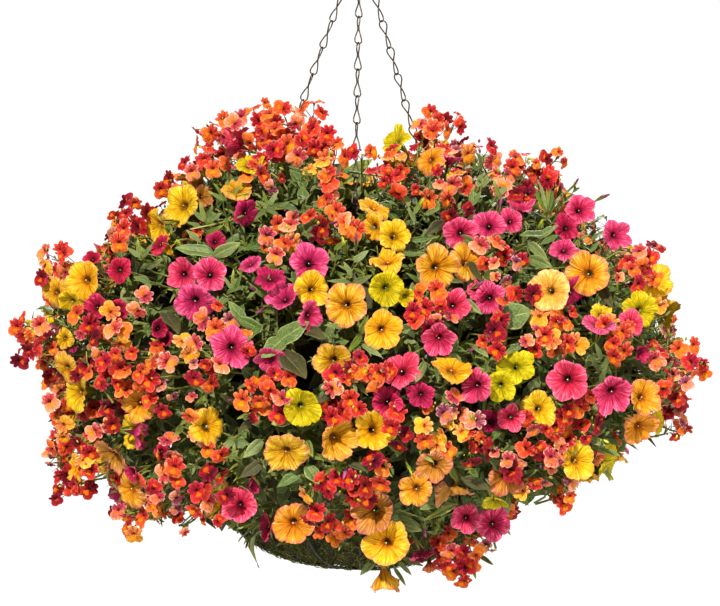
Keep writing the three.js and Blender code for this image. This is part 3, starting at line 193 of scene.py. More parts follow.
# clusters of nemesia florets: middle, the way they look, radius (mm), tone, 1 if on the front side
NEMESIAS = [
    (-146, -88, -293, -0.23, -0.84, 0.49, 15.5, "S", 1), (-170, -82, -301, -0.26, -0.84, 0.48, 13.3, "R", 1), (-169, -122, -326, -0.26, -0.87, 0.43, 15.3, "R", 1),
    (-177, -137, -345, -0.27, -0.88, 0.40, 15.2, "R", 1), (-153, -160, -343, -0.23, -0.89, 0.39, 10.8, "O", 1), (-206, -113, -364, -0.32, -0.86, 0.38, 15.4, "R", 1),
    (-250, -107, -384, -0.38, -0.86, 0.34, 8.8, "R", 1), (-258, -148, -397, -0.36, -0.88, 0.30, 13.0, "S", 1), (-262, -175, -407, -0.34, -0.90, 0.28, 12.8, "D", 1),
    (-232, -189, -401, -0.31, -0.91, 0.29, 10.6, "C", 1), (-250, -217, -420, -0.31, -0.92, 0.25, 12.6, "S", 1), (-331, -167, -443, -0.40, -0.89, 0.22, 17.2, "O", 1),
    (-339, -165, -458, -0.41, -0.89, 0.20, 15.1, "R", 1), (-310, -201, -447, -0.37, -0.91, 0.21, 10.6, "R", 1), (-362, -155, -516, -0.44, -0.89, 0.13, 15.1, "S", 1),
    (-285, -255, -502, -0.33, -0.94, 0.14, 12.5, "S", 1), (-256, -282, -508, -0.29, -0.95, 0.13, 14.4, "O", 1), (-219, -299, -486, -0.25, -0.96, 0.15, 12.2, "S", 1),
    (-145, -339, -499, -0.16, -0.98, 0.14, 16.0, "S", 1), (-109, -81, -284, -0.17, -0.83, 0.52, 15.5, "O", 1), (-83, -98, -287, -0.13, -0.85, 0.51, 17.6, "O", 1),
    (-53, -95, -285, -0.09, -0.85, 0.53, 15.4, "O", 1), (-106, -151, -311, -0.16, -0.88, 0.44, 17.3, "O", 1), (-77, -180, -322, -0.11, -0.90, 0.42, 19.2, "R", 1),
    (-59, -177, -316, -0.09, -0.90, 0.43, 14.9, "S", 1), (-41, -171, -311, -0.06, -0.90, 0.44, 12.8, "R", 1), (-28, -201, -330, -0.04, -0.92, 0.40, 12.7, "O", 1),
    (-96, -180, -327, -0.14, -0.90, 0.41, 14.9, "R", 1), (-111, -195, -349, -0.16, -0.91, 0.37, 12.7, "R", 1), (-92, -210, -357, -0.13, -0.92, 0.36, 9.5, "D", 1),
    (-44, -221, -351, -0.06, -0.93, 0.36, 14.7, "Y", 1), (-26, -229, -359, -0.04, -0.94, 0.35, 14.6, "S", 1), (-36, -233, -370, -0.05, -0.94, 0.34, 10.4, "S", 1),
    (-33, -263, -392, -0.04, -0.95, 0.29, 14.4, "O", 1), (-48, -283, -405, -0.06, -0.96, 0.27, 12.3, "R", 1), (-26, -290, -408, -0.03, -0.96, 0.26, 14.3, "R", 1),
    (-10, -286, -405, -0.01, -0.96, 0.27, 10.2, "O", 1), (-77, -266, -398, -0.10, -0.95, 0.28, 10.3, "O", 1), (-94, -294, -418, -0.12, -0.96, 0.24, 10.2, "O", 1),
    (-71, -290, -412, -0.09, -0.96, 0.25, 10.2, "O", 1), (-80, -311, -428, -0.10, -0.97, 0.23, 10.1, "O", 1), (2, -207, -333, 0.00, -0.92, 0.39, 12.7, "R", 1),
    (16, -228, -357, 0.02, -0.94, 0.35, 16.7, "R", 1), (37, -212, -338, 0.05, -0.92, 0.38, 12.6, "R", 1), (44, -232, -368, 0.06, -0.94, 0.34, 14.6, "R", 1),
    (78, -86, -290, 0.13, -0.84, 0.53, 15.5, "O", 1), (106, -62, -294, 0.18, -0.82, 0.54, 13.4, "R", 1), (83, -163, -314, 0.12, -0.89, 0.44, 12.9, "O", 1),
    (93, -210, -351, 0.13, -0.92, 0.36, 14.8, "R", 1), (84, -223, -368, 0.12, -0.93, 0.34, 14.7, "S", 1), (105, -211, -359, 0.15, -0.92, 0.35, 10.5, "O", 1),
    (99, -246, -390, 0.13, -0.94, 0.30, 14.5, "C", 1), (118, -174, -327, 0.17, -0.90, 0.41, 10.7, "O", 1), (70, -348, -479, 0.08, -0.98, 0.16, 15.9, "R", 1),
    (52, -357, -490, 0.06, -0.99, 0.14, 11.9, "R", 1), (80, -355, -496, 0.09, -0.99, 0.14, 11.9, "S", 1), (59, -362, -503, 0.07, -0.99, 0.13, 11.9, "R", 1),
    (137, -174, -332, 0.20, -0.90, 0.40, 10.7, "O", 1), (164, -162, -338, 0.23, -0.89, 0.39, 10.7, "O", 1), (151, -184, -354, 0.21, -0.91, 0.36, 12.8, "S", 1),
    (184, -150, -343, 0.27, -0.88, 0.39, 13.0, "O", 1), (201, -132, -343, 0.29, -0.87, 0.39, 13.1, "R", 1), (222, -86, -331, 0.33, -0.84, 0.42, 11.1, "O", 1),
    (177, -168, -357, 0.25, -0.90, 0.36, 10.7, "C", 1), (206, -142, -359, 0.30, -0.88, 0.37, 15.2, "C", 1), (177, -186, -375, 0.25, -0.91, 0.33, 10.6, "C", 1),
    (134, -296, -432, 0.16, -0.96, 0.22, 14.2, "S", 1), (158, -285, -433, 0.19, -0.96, 0.22, 12.3, "O", 1), (150, -310, -450, 0.17, -0.96, 0.20, 16.2, "D", 1),
    (167, -312, -472, 0.19, -0.97, 0.17, 12.1, "C", 1), (185, -298, -466, 0.22, -0.96, 0.18, 10.2, "O", 1), (296, -162, -442, 0.39, -0.89, 0.23, 12.9, "O", 1),
    (328, -80, -442, 0.47, -0.85, 0.25, 11.1, "R", 1), (289, -196, -460, 0.36, -0.91, 0.20, 12.8, "O", 1), (314, -152, -458, 0.41, -0.89, 0.21, 10.8, "R", 1),
    (140, -333, -492, 0.16, -0.98, 0.14, 12.0, "O", 1), (190, -310, -496, 0.22, -0.97, 0.14, 14.2, "O", 1), (206, -304, -501, 0.23, -0.96, 0.14, 12.2, "O", 1),
    (258, -268, -509, 0.30, -0.94, 0.13, 10.3, "O", 1), (-366, -150, -524, -0.45, -0.89, 0.12, 10.8, "O", 1), (-362, -161, -548, -0.44, -0.89, 0.10, 13.0, "C", 1),
    (-333, -212, -536, -0.39, -0.92, 0.10, 12.7, "R", 1), (-288, -260, -523, -0.33, -0.94, 0.12, 12.4, "S", 1), (-264, -284, -528, -0.29, -0.95, 0.11, 12.3, "R", 1),
    (-245, -294, -517, -0.27, -0.95, 0.12, 12.2, "O", 1), (-250, -298, -538, -0.28, -0.96, 0.10, 8.2, "O", 1), (-269, -279, -556, -0.30, -0.95, 0.08, 10.3, "O", 1),
    (-250, -297, -548, -0.28, -0.96, 0.09, 12.2, "R", 1), (-233, -310, -547, -0.26, -0.96, 0.09, 14.2, "O", 1), (-212, -323, -539, -0.23, -0.97, 0.09, 14.1, "O", 1),
    (-201, -330, -545, -0.22, -0.97, 0.09, 12.1, "R", 1), (-254, -288, -567, -0.29, -0.96, 0.06, 12.3, "R", 1), (-234, -304, -564, -0.26, -0.96, 0.07, 14.2, "O", 1),
    (-214, -319, -559, -0.24, -0.97, 0.07, 10.1, "O", 1), (-285, -263, -561, -0.33, -0.94, 0.07, 12.4, "C", 1), (-173, -340, -529, -0.19, -0.98, 0.10, 12.0, "Y", 1),
    (-155, -345, -524, -0.17, -0.98, 0.11, 12.0, "S", 1), (-160, -349, -551, -0.17, -0.98, 0.08, 16.0, "S", 1), (-144, -355, -543, -0.15, -0.98, 0.09, 9.9, "S", 1),
    (-197, -324, -571, -0.22, -0.97, 0.06, 10.1, "D", 1), (-205, -311, -584, -0.23, -0.97, 0.04, 12.2, "R", 1), (-166, -332, -585, -0.19, -0.98, 0.04, 12.1, "O", 1),
    (-326, -170, -596, -0.42, -0.91, 0.03, 10.8, "S", 1), (-320, -157, -613, -0.42, -0.91, 0.01, 13.0, "O", 1), (-319, -164, -629, -0.42, -0.91, -0.01, 10.8, "Y", 1),
    (-291, -213, -604, -0.36, -0.93, 0.02, 10.6, "R", 1), (-258, -252, -604, -0.31, -0.95, 0.02, 14.6, "C", 1), (-273, -229, -620, -0.34, -0.94, 0.00, 10.5, "S", 1),
    (-326, -154, -641, -0.43, -0.91, -0.03, 13.0, "R", 1), (-292, -209, -640, -0.36, -0.93, -0.02, 12.7, "R", 1), (-338, -130, -663, -0.44, -0.89, -0.05, 8.8, "D", 1),
    (-288, -212, -666, -0.35, -0.93, -0.05, 12.7, "O", 1), (-324, -152, -685, -0.42, -0.91, -0.08, 13.0, "R", 1), (-300, -188, -685, -0.38, -0.92, -0.08, 10.7, "R", 1),
    (-332, -111, -707, -0.44, -0.89, -0.11, 6.6, "D", 1), (-189, -301, -629, -0.22, -0.97, -0.01, 12.2, "S", 1), (-167, -314, -623, -0.20, -0.98, -0.00, 12.2, "D", 1),
    (-146, -324, -630, -0.17, -0.98, -0.01, 12.1, "R", 1), (-194, -297, -650, -0.23, -0.97, -0.03, 14.3, "O", 1), (-189, -295, -666, -0.22, -0.97, -0.05, 12.3, "O", 1),
    (-217, -274, -676, -0.26, -0.96, -0.07, 12.4, "R", 1), (-202, -273, -690, -0.24, -0.97, -0.08, 14.5, "D", 1), (-218, -260, -691, -0.26, -0.96, -0.09, 10.4, "O", 1),
    (-248, -222, -710, -0.31, -0.94, -0.11, 8.5, "R", 1), (-216, -232, -716, -0.27, -0.95, -0.12, 12.6, "O", 1), (-189, -239, -721, -0.24, -0.96, -0.13, 12.6, "S", 1),
    (-250, -160, -738, -0.34, -0.92, -0.17, 7.6, "O", 1), (-147, -314, -671, -0.17, -0.98, -0.06, 16.2, "C", 1), (-164, -295, -687, -0.20, -0.98, -0.08, 14.3, "R", 1),
    (-151, -284, -704, -0.18, -0.98, -0.10, 14.4, "O", 1), (-109, -360, -523, -0.12, -0.99, 0.11, 11.9, "S", 1), (-84, -372, -555, -0.09, -0.99, 0.07, 13.8, "R", 1),
    (-109, -360, -573, -0.12, -0.99, 0.05, 13.9, "O", 1), (-97, -366, -567, -0.10, -0.99, 0.06, 11.9, "R", 1), (-102, -352, -591, -0.11, -0.99, 0.03, 10.0, "O", 1),
    (-79, -362, -582, -0.09, -0.99, 0.04, 9.9, "S", 1), (-15, -380, -546, -0.02, -1.00, 0.08, 11.8, "C", 1), (-2, -381, -542, -0.00, -1.00, 0.09, 9.8, "R", 1),
    (10, -381, -554, 0.01, -1.00, 0.07, 11.8, "O", 1), (-18, -378, -566, -0.02, -1.00, 0.06, 13.8, "R", 1), (-7, -369, -587, -0.01, -1.00, 0.04, 11.9, "O", 1),
    (22, -380, -548, 0.02, -1.00, 0.08, 7.9, "S", 1), (-30, -364, -592, -0.03, -1.00, 0.03, 9.9, "C", 1), (32, -362, -597, 0.04, -1.00, 0.03, 9.9, "R", 1),
    (15, -353, -640, 0.02, -1.00, -0.02, 8.0, "R", 1), (20, -348, -657, 0.02, -1.00, -0.04, 12.0, "R", 1), (0, -348, -659, 0.00, -1.00, -0.04, 10.0, "C", 1),
    (40, -353, -618, 0.04, -1.00, 0.00, 8.0, "C", 1), (65, -352, -608, 0.07, -1.00, 0.01, 12.0, "O", 1), (76, -362, -587, 0.08, -1.00, 0.04, 11.9, "S", 1),
    (94, -360, -582, 0.10, -0.99, 0.04, 9.9, "S", 1), (92, -347, -609, 0.10, -0.99, 0.01, 14.0, "Y", 1), (110, -348, -599, 0.12, -0.99, 0.03, 12.0, "S", 1),
    (80, -347, -626, 0.09, -1.00, -0.01, 10.0, "Y", 1), (115, -340, -617, 0.13, -0.99, 0.00, 12.0, "O", 1), (113, -338, -635, 0.13, -0.99, -0.02, 12.0, "C", 1),
    (-50, -339, -670, -0.06, -1.00, -0.06, 12.1, "O", 1), (-20, -340, -672, -0.02, -1.00, -0.06, 14.1, "R", 1), (-41, -313, -699, -0.05, -0.99, -0.10, 14.2, "R", 1),
    (-39, -293, -712, -0.05, -0.99, -0.12, 12.3, "O", 1), (-15, -292, -713, -0.02, -0.99, -0.13, 12.3, "O", 1), (0, -335, -679, 0.00, -1.00, -0.07, 10.1, "R", 1),
    (-19, -262, -728, -0.03, -0.99, -0.16, 10.4, "O", 1), (130, -348, -514, 0.14, -0.98, 0.12, 10.0, "R", 1), (138, -349, -524, 0.15, -0.98, 0.11, 10.0, "R", 1),
    (171, -332, -515, 0.19, -0.97, 0.12, 12.0, "S", 1), (186, -326, -520, 0.21, -0.97, 0.11, 14.1, "R", 1), (194, -326, -528, 0.21, -0.97, 0.10, 12.1, "O", 1),
    (212, -314, -526, 0.24, -0.97, 0.11, 10.1, "O", 1), (201, -308, -503, 0.23, -0.96, 0.14, 8.1, "O", 1), (263, -267, -514, 0.30, -0.94, 0.13, 10.3, "O", 1),
    (275, -258, -518, 0.32, -0.94, 0.12, 8.3, "S", 1), (270, -275, -536, 0.30, -0.95, 0.10, 14.4, "O", 1), (353, -168, -538, 0.43, -0.90, 0.11, 9.7, "O", 1),
    (354, -179, -560, 0.42, -0.90, 0.08, 10.7, "R", 1), (375, -134, -566, 0.46, -0.88, 0.07, 8.7, "O", 1), (315, -231, -542, 0.36, -0.93, 0.10, 9.4, "S", 1),
    (325, -220, -570, 0.38, -0.92, 0.07, 9.5, "R", 1), (341, -197, -572, 0.40, -0.91, 0.06, 8.5, "D", 1), (339, -190, -594, 0.41, -0.91, 0.04, 8.5, "R", 1),
    (341, -177, -611, 0.42, -0.91, 0.02, 12.9, "D", 1), (347, -154, -632, 0.44, -0.90, -0.01, 8.7, "O", 1), (171, -326, -601, 0.19, -0.98, 0.02, 12.1, "O", 1),
    (188, -313, -613, 0.22, -0.98, 0.01, 12.2, "R", 1), (199, -304, -629, 0.23, -0.97, -0.01, 14.3, "S", 1), (213, -311, -587, 0.24, -0.97, 0.04, 12.2, "C", 1),
    (229, -301, -588, 0.26, -0.96, 0.04, 12.2, "R", 1), (236, -286, -610, 0.27, -0.96, 0.01, 12.3, "R", 1), (223, -291, -625, 0.26, -0.97, -0.00, 12.3, "R", 1),
    (205, -308, -603, 0.23, -0.97, 0.02, 10.2, "R", 1), (167, -319, -637, 0.19, -0.98, -0.02, 14.2, "C", 1), (190, -306, -646, 0.22, -0.97, -0.03, 12.2, "R", 1),
    (204, -299, -640, 0.24, -0.97, -0.02, 10.2, "S", 1), (141, -329, -638, 0.16, -0.99, -0.02, 8.1, "S", 1), (160, -314, -658, 0.19, -0.98, -0.04, 10.2, "C", 1),
    (174, -291, -677, 0.21, -0.98, -0.07, 12.3, "O", 1), (195, -291, -664, 0.23, -0.97, -0.05, 10.3, "S", 1), (219, -272, -667, 0.26, -0.96, -0.06, 8.3, "D", 1),
    (219, -253, -682, 0.27, -0.96, -0.08, 8.3, "O", 1), (212, -238, -695, 0.27, -0.96, -0.10, 8.4, "O", 1), (124, -336, -630, 0.14, -0.99, -0.01, 8.0, "C", 1),
    (96, -186, -745, 0.15, -0.96, -0.22, 12.9, "S", 1), (94, -173, -769, 0.15, -0.95, -0.26, 10.8, "C", 1), (102, -182, -767, 0.16, -0.96, -0.25, 15.1, "R", 1),
    (126, -143, -772, 0.21, -0.94, -0.28, 13.1, "O", 1), (112, -151, -790, 0.18, -0.94, -0.29, 14.2, "O", 1), (148, -32, -779, 0.31, -0.88, -0.36, 9.1, "D", 1),
    (269, 26, -685, 0.86, 0.49, -0.11, 14.0, "R", 0), (169, -19, -734, 0.73, -0.49, -0.47, 11.1, "C", 0), (-365, 6, -565, -0.98, -0.09, -0.16, 12.0, "R", 0),
    (-198, 209, -426, -0.62, 0.33, 0.71, 12.7, "O", 0), (142, 56, -315, 0.64, 0.40, 0.66, 11.7, "S", 0), (-336, 160, -572, -0.92, 0.34, 0.20, 16.0, "O", 0),
    (-12, 305, -672, -0.60, 0.76, -0.26, 13.8, "R", 0), (-237, 260, -502, -0.42, 0.90, 0.14, 17.5, "O", 0), (15, 331, -655, 0.80, 0.60, -0.01, 15.2, "O", 0),
    (22, 285, -437, 0.14, 0.67, 0.73, 17.2, "O", 0), (139, 340, -552, 0.63, 0.77, -0.10, 14.5, "C", 0), (-188, 45, -333, -0.69, -0.18, 0.70, 14.4, "O", 0),
    (-213, 247, -438, -0.24, 0.94, -0.25, 13.1, "D", 0), (229, 267, -619, 0.96, 0.24, -0.12, 14.8, "O", 0), (46, 342, -557, -0.15, 0.99, -0.01, 12.2, "O", 0),
    (0, 205, -729, 0.35, 0.65, -0.67, 15.3, "R", 0), (287, -20, -422, 0.91, 0.38, -0.17, 13.9, "C", 0), (263, 69, -427, 0.45, -0.02, 0.89, 14.4, "R", 0),
    (-320, 22, -621, -0.99, 0.15, 0.08, 16.0, "S", 0), (297, 180, -629, 0.92, 0.36, 0.15, 11.5, "O", 0), (-307, 207, -551, -0.72, 0.65, 0.25, 13.2, "R", 0),
    (366, -12, -532, 0.65, 0.58, 0.49, 11.1, "S", 0), (-206, 38, -376, -0.88, 0.35, 0.32, 11.0, "C", 0), (-22, 108, -317, -0.62, 0.06, 0.78, 15.0, "O", 0),
    (-115, 46, -780, 0.33, 0.69, -0.65, 14.4, "S", 0), (156, 211, -409, 0.28, 0.79, 0.55, 16.1, "O", 0), (-358, 45, -510, -0.89, 0.24, 0.38, 15.6, "R", 0),
    (-74, 327, -625, 0.06, 0.98, 0.21, 12.2, "O", 0), (247, 251, -497, 0.41, 0.72, 0.56, 15.7, "R", 0), (-3, 160, -742, 0.42, 0.74, -0.53, 15.2, "S", 0),
    (67, 28, -300, 0.59, -0.26, 0.77, 17.1, "O", 0), (-320, 95, -689, -0.64, 0.66, -0.40, 11.4, "D", 0), (62, 300, -441, 0.54, 0.72, 0.43, 13.5, "C", 0),
    (-227, 99, -734, -0.91, 0.32, -0.27, 15.8, "O", 0), (137, 294, -444, 0.07, 0.83, 0.55, 12.4, "R", 0), (70, 230, -730, 0.63, 0.66, -0.41, 16.7, "R", 0),
    (-214, 256, -587, -0.77, 0.37, -0.52, 11.1, "S", 0), (38, 175, -342, 0.61, 0.22, 0.76, 16.4, "C", 0), (51, 142, -329, 0.08, 0.10, 0.99, 11.4, "O", 0),
    (-119, 152, -356, -0.32, 0.82, 0.47, 12.1, "R", 0), (296, 97, -443, 0.99, 0.15, -0.03, 15.2, "R", 0), (-10, 309, -459, -0.01, 0.83, 0.55, 17.3, "R", 0),
    (272, 119, -675, 0.31, 0.23, 0.92, 11.9, "O", 0), (-149, 52, -754, -0.71, 0.26, -0.66, 14.9, "O", 0), (333, 95, -638, 0.95, -0.15, -0.26, 11.1, "R", 0),
    (122, 9, -774, 0.76, 0.36, -0.54, 15.7, "R", 0), (233, 58, -707, 0.92, 0.40, 0.05, 11.2, "S", 0), (-305, 156, -454, -0.86, 0.50, 0.10, 16.5, "Y", 0),
    (160, 47, -740, 0.96, -0.02, -0.26, 13.9, "R", 0), (338, 157, -526, 0.88, 0.14, 0.45, 17.4, "S", 0), (-50, 156, -339, -0.90, 0.19, 0.39, 15.0, "Y", 0),
    (-289, 186, -491, -0.41, 0.76, 0.50, 14.3, "Y", 0), (-267, 242, -480, -0.41, 0.88, 0.23, 17.7, "R", 0), (118, 164, -722, 0.98, 0.17, -0.08, 14.3, "R", 0),
    (-127, 246, -408, -0.33, 0.63, 0.70, 15.2, "R", 0), (-80, 299, -662, -0.15, 0.80, -0.58, 14.7, "O", 0), (220, 126, -695, 0.86, 0.46, -0.24, 14.7, "R", 0),
    (-52, 28, -296, -0.19, 0.17, 0.97, 16.5, "O", 0), (-362, -34, -439, -0.59, -0.20, 0.78, 16.7, "D", 0), (-334, 41, -689, -0.59, 0.60, -0.55, 13.5, "R", 0),
    (226, 163, -684, 0.93, 0.28, -0.24, 16.9, "Y", 0), (311, 170, -586, 0.66, 0.63, -0.41, 16.6, "Y", 0), (290, -46, -672, 0.82, 0.19, -0.54, 17.7, "O", 0),
    (-356, 82, -510, -0.92, 0.19, 0.35, 13.1, "S", 0), (120, 322, -645, 0.12, 0.99, -0.01, 17.1, "S", 0), (305, 124, -498, 0.78, 0.52, 0.36, 15.5, "R", 0),
    (-212, 177, -715, -0.94, 0.33, -0.08, 16.3, "S", 0), (-304, 113, -615, -0.89, 0.28, 0.35, 16.1, "O", 0), (-242, 110, -388, -0.33, 0.66, 0.68, 12.4, "D", 0),
    (345, 34, -494, 0.86, 0.45, 0.24, 14.8, "R", 0), (-173, 125, -387, -0.40, 0.83, 0.39, 14.7, "S", 0), (28, 348, -617, 0.02, 0.97, -0.25, 17.4, "S", 0),
    (-222, 171, -413, -0.46, 0.67, 0.58, 12.7, "R", 0), (181, 165, -368, 0.51, 0.40, 0.76, 16.5, "O", 0), (-173, 95, -356, -0.48, 0.17, 0.86, 12.5, "S", 0),
    (61, 316, -478, 0.26, 0.89, 0.37, 13.4, "O", 0), (-287, 106, -728, -0.96, 0.20, -0.17, 17.9, "R", 0), (278, 217, -520, 0.35, 0.77, 0.54, 13.9, "C", 0),
    (265, 220, -660, 0.77, 0.56, 0.29, 16.6, "R", 0), (312, 4, -444, 0.69, -0.34, 0.63, 11.6, "R", 0), (-187, 246, -666, -0.44, 0.73, -0.52, 15.6, "Y", 0),
    (-295, 206, -459, -0.71, 0.56, 0.42, 16.2, "R", 0), (120, 306, -492, 0.34, 0.92, 0.20, 12.6, "S", 0), (-351, 53, -649, -0.73, 0.15, 0.67, 15.7, "O", 0),
    (166, 104, -731, 0.91, 0.20, -0.36, 17.4, "O", 0), (15, 373, -564, -0.28, 0.87, -0.40, 11.6, "O", 0), (76, 132, -750, 0.57, 0.81, 0.14, 11.9, "D", 0),
    (303, 215, -563, 0.30, 0.62, 0.73, 16.8, "O", 0), (-333, 146, -488, -0.82, 0.24, 0.52, 12.7, "O", 0), (92, 186, -378, -0.14, 0.58, 0.80, 12.7, "R", 0),
    (217, 226, -692, 0.15, 0.97, 0.17, 16.8, "D", 0), (-277, 213, -590, -0.74, 0.64, -0.19, 17.2, "O", 0), (124, -15, -314, 0.53, -0.33, 0.78, 15.4, "R", 0),
    (261, 30, -414, 0.56, 0.32, 0.76, 11.3, "S", 0), (-156, 115, -764, -0.19, 0.10, -0.98, 12.9, "S", 0), (-170, 317, -492, -0.71, 0.66, 0.24, 11.5, "S", 0),
    (19, 94, -292, 0.00, 0.51, 0.86, 12.1, "C", 0), (-316, 212, -503, -0.72, 0.55, 0.43, 13.6, "R", 0), (-309, 100, -437, -0.63, 0.51, 0.59, 15.2, "R", 0),
    (-69, 80, -314, -0.50, -0.06, 0.86, 13.5, "R", 0), (-241, 132, -719, -0.90, 0.03, -0.44, 13.3, "O", 0), (-183, -48, -755, -0.90, -0.15, -0.41, 16.1, "Y", 0),
    (-3, 346, -587, 0.10, 0.95, 0.30, 14.8, "Y", 0), (85, -14, -291, 0.47, 0.42, 0.78, 15.6, "C", 0), (315, 136, -633, 0.77, 0.53, 0.36, 14.2, "D", 0),
    (67, 246, -391, 0.62, 0.59, 0.52, 13.1, "S", 0), (270, 156, -474, 0.94, 0.24, 0.26, 11.3, "S", 0), (358, 30, -619, 0.99, 0.13, 0.11, 17.2, "S", 0),
    (160, 277, -472, 0.16, 0.69, 0.71, 15.4, "R", 0), (-122, -7, -774, -0.63, 0.17, -0.76, 14.6, "O", 0), (-44, 179, -742, 0.21, 0.70, -0.68, 16.0, "R", 0),
    (-150, -3, -300, -0.45, -0.04, 0.89, 12.2, "S", 0), (-91, 338, -548, 0.27, 0.85, 0.45, 15.1, "C", 0), (-124, 303, -462, 0.34, 0.93, 0.11, 13.0, "R", 0),
    (-31, 243, -407, -0.01, 0.95, 0.32, 14.7, "O", 0), (49, 252, -706, 0.11, 0.99, -0.12, 17.6, "S", 0), (-320, 27, -419, -0.91, 0.20, 0.38, 14.8, "R", 0),
    (194, 82, -334, -0.05, 0.18, 0.98, 13.2, "O", 0), (230, 197, -451, 0.61, 0.57, 0.55, 12.5, "D", 0), (329, 69, -491, 0.89, 0.16, 0.43, 13.1, "D", 0),
    (-256, 184, -677, -0.28, 0.93, -0.24, 11.9, "R", 0), (175, 319, -577, 0.45, 0.82, 0.36, 16.7, "R", 0), (185, 282, -614, 0.70, 0.45, -0.55, 12.8, "C", 0),
    (115, 86, -747, 0.10, 0.67, -0.74, 12.8, "O", 0), (-325, 112, -577, -0.36, 0.20, -0.91, 15.8, "C", 0), (-56, 290, -424, -0.14, 0.90, 0.42, 13.0, "R", 0),
    (176, 129, -355, 0.31, 0.36, 0.88, 11.9, "O", 0), (215, 139, -376, 0.92, 0.00, 0.40, 11.2, "S", 0), (-140, 247, -691, -0.37, 0.87, -0.34, 17.4, "S", 0),
    (108, 127, -313, -0.19, -0.08, 0.98, 18.0, "D", 0), (227, 33, -359, 0.81, 0.08, 0.59, 15.3, "S", 0), (-360, 72, -469, -0.86, 0.29, 0.43, 17.3, "R", 0),
    (64, 314, -605, -0.13, 0.98, 0.11, 12.2, "R", 0), (-137, 204, -726, -0.86, 0.29, -0.43, 17.7, "O", 0), (-330, 116, -659, -0.99, -0.04, 0.14, 14.9, "O", 0),
    (42, 106, -764, 0.56, 0.47, -0.68, 17.6, "R", 0), (-336, 154, -528, -0.74, 0.46, 0.49, 15.5, "R", 0), (-294, 243, -562, -0.76, 0.63, -0.17, 14.7, "R", 0),
    (266, 132, -442, 0.96, 0.21, 0.19, 16.9, "S", 0), (-124, 319, -612, -0.16, 0.95, -0.27, 11.1, "D", 0), (55, 341, -643, -0.07, 0.99, -0.15, 14.2, "O", 0),
    (201, 258, -462, 0.53, 0.83, 0.17, 15.5, "R", 0), (359, 111, -567, 0.93, 0.38, -0.05, 11.5, "R", 0), (-156, 61, -295, -0.46, 0.09, 0.89, 11.3, "R", 0),
    (-192, -10, -752, -0.34, 0.03, -0.94, 13.2, "O", 0), (-349, -21, -654, -1.00, -0.05, 0.07, 14.4, "C", 0), (189, 297, -507, 0.69, 0.68, 0.24, 12.0, "R", 0),
    (51, 94, -319, 0.40, 0.14, 0.91, 14.6, "S", 0), (-318, 61, -606, -0.96, -0.20, -0.21, 15.2, "R", 0), (-10, 265, -702, 0.81, 0.55, 0.19, 17.4, "S", 0),
    (33, 329, -502, 0.02, 0.75, 0.66, 11.3, "R", 0), (97, 220, -408, 0.01, 0.98, 0.18, 11.7, "Y", 0), (-225, 229, -624, -0.71, 0.70, 0.04, 14.9, "S", 0),
    (-75, 225, -715, -0.13, 0.82, -0.56, 17.3, "C", 0), (12, 49, -304, -0.43, 0.33, 0.84, 11.0, "O", 0), (322, 9, -667, 0.99, 0.13, -0.02, 17.2, "R", 0),
    (362, -35, -597, 0.83, -0.55, 0.02, 17.3, "O", 0), (17, 242, -394, 0.42, 0.80, -0.43, 14.0, "Y", 0), (-105, 85, -750, -0.71, 0.25, -0.66, 13.7, "C", 0),
    (-32, 220, -363, -0.32, 0.94, 0.08, 17.6, "O", 0), (297, 55, -673, 0.97, -0.14, -0.20, 16.4, "R", 0), (112, 222, -724, 0.17, 0.92, -0.36, 16.9, "C", 0),
    (-279, 191, -635, -0.46, 0.88, -0.07, 11.3, "S", 0), (-386, 58, -542, -0.96, -0.09, 0.28, 11.0, "R", 0), (356, -56, -647, 0.87, 0.49, 0.09, 11.9, "O", 0),
    (1, 201, -372, 0.24, 0.36, 0.90, 14.2, "O", 0), (253, 64, -375, 0.36, -0.17, 0.92, 13.5, "R", 0), (-58, 326, -456, -0.09, 0.86, 0.51, 15.1, "C", 0),
    (14, 139, -308, -0.39, 0.05, 0.92, 12.0, "O", 0), (-293, 172, -574, -0.22, 0.97, 0.11, 14.4, "S", 0), (-32, 114, -750, -0.15, 0.49, -0.86, 13.3, "S", 0),
    (-372, -30, -503, -0.90, -0.40, 0.18, 11.5, "O", 0), (-240, 223, -681, -0.38, 0.72, -0.57, 12.2, "S", 0), (165, 144, -732, 0.28, 0.96, -0.07, 11.8, "C", 0),
    (87, 61, -290, 0.07, 0.44, 0.90, 17.8, "R", 0), (3, 342, -532, 0.27, 0.95, 0.14, 15.9, "D", 0), (-82, 49, -284, -0.50, -0.37, 0.78, 12.1, "C", 0),
    (-96, 126, -748, -0.31, 0.49, -0.81, 11.0, "R", 0), (87, 354, -516, -0.30, 0.88, 0.37, 14.2, "O", 0), (47, -5, -302, 0.03, 0.20, 0.98, 14.7, "R", 0),
    (205, 164, -420, 0.35, 0.44, 0.83, 12.4, "O", 0), (234, 283, -532, 0.42, 0.90, 0.10, 16.9, "R", 0), (-78, 185, -372, -0.80, 0.27, 0.54, 14.3, "R", 0),
    (254, 97, -401, 0.52, 0.32, 0.79, 14.5, "S", 0), (98, 263, -432, 0.57, 0.52, 0.63, 13.2, "R", 0), (-343, -59, -631, -0.99, 0.15, -0.06, 14.1, "R", 0),
    (-101, 199, -732, 0.34, 0.64, -0.69, 17.5, "O", 0), (358, 38, -540, 1.00, -0.02, -0.06, 11.9, "S", 0), (135, 264, -692, 0.68, 0.51, -0.53, 12.9, "O", 0),
    (-163, 192, -388, -0.86, 0.51, 0.10, 14.5, "R", 0), (-135, 113, -332, 0.06, 0.34, 0.94, 16.4, "R", 0), (348, 180, -555, 0.48, 0.46, 0.75, 11.5, "O", 0),
    (368, 98, -532, 0.72, 0.14, -0.68, 17.3, "S", 0), (-8, 4, -338, -0.09, -0.36, 0.93, 14.4, "R", 0), (32, 220, -717, 0.48, 0.70, -0.53, 12.7, "R", 0),
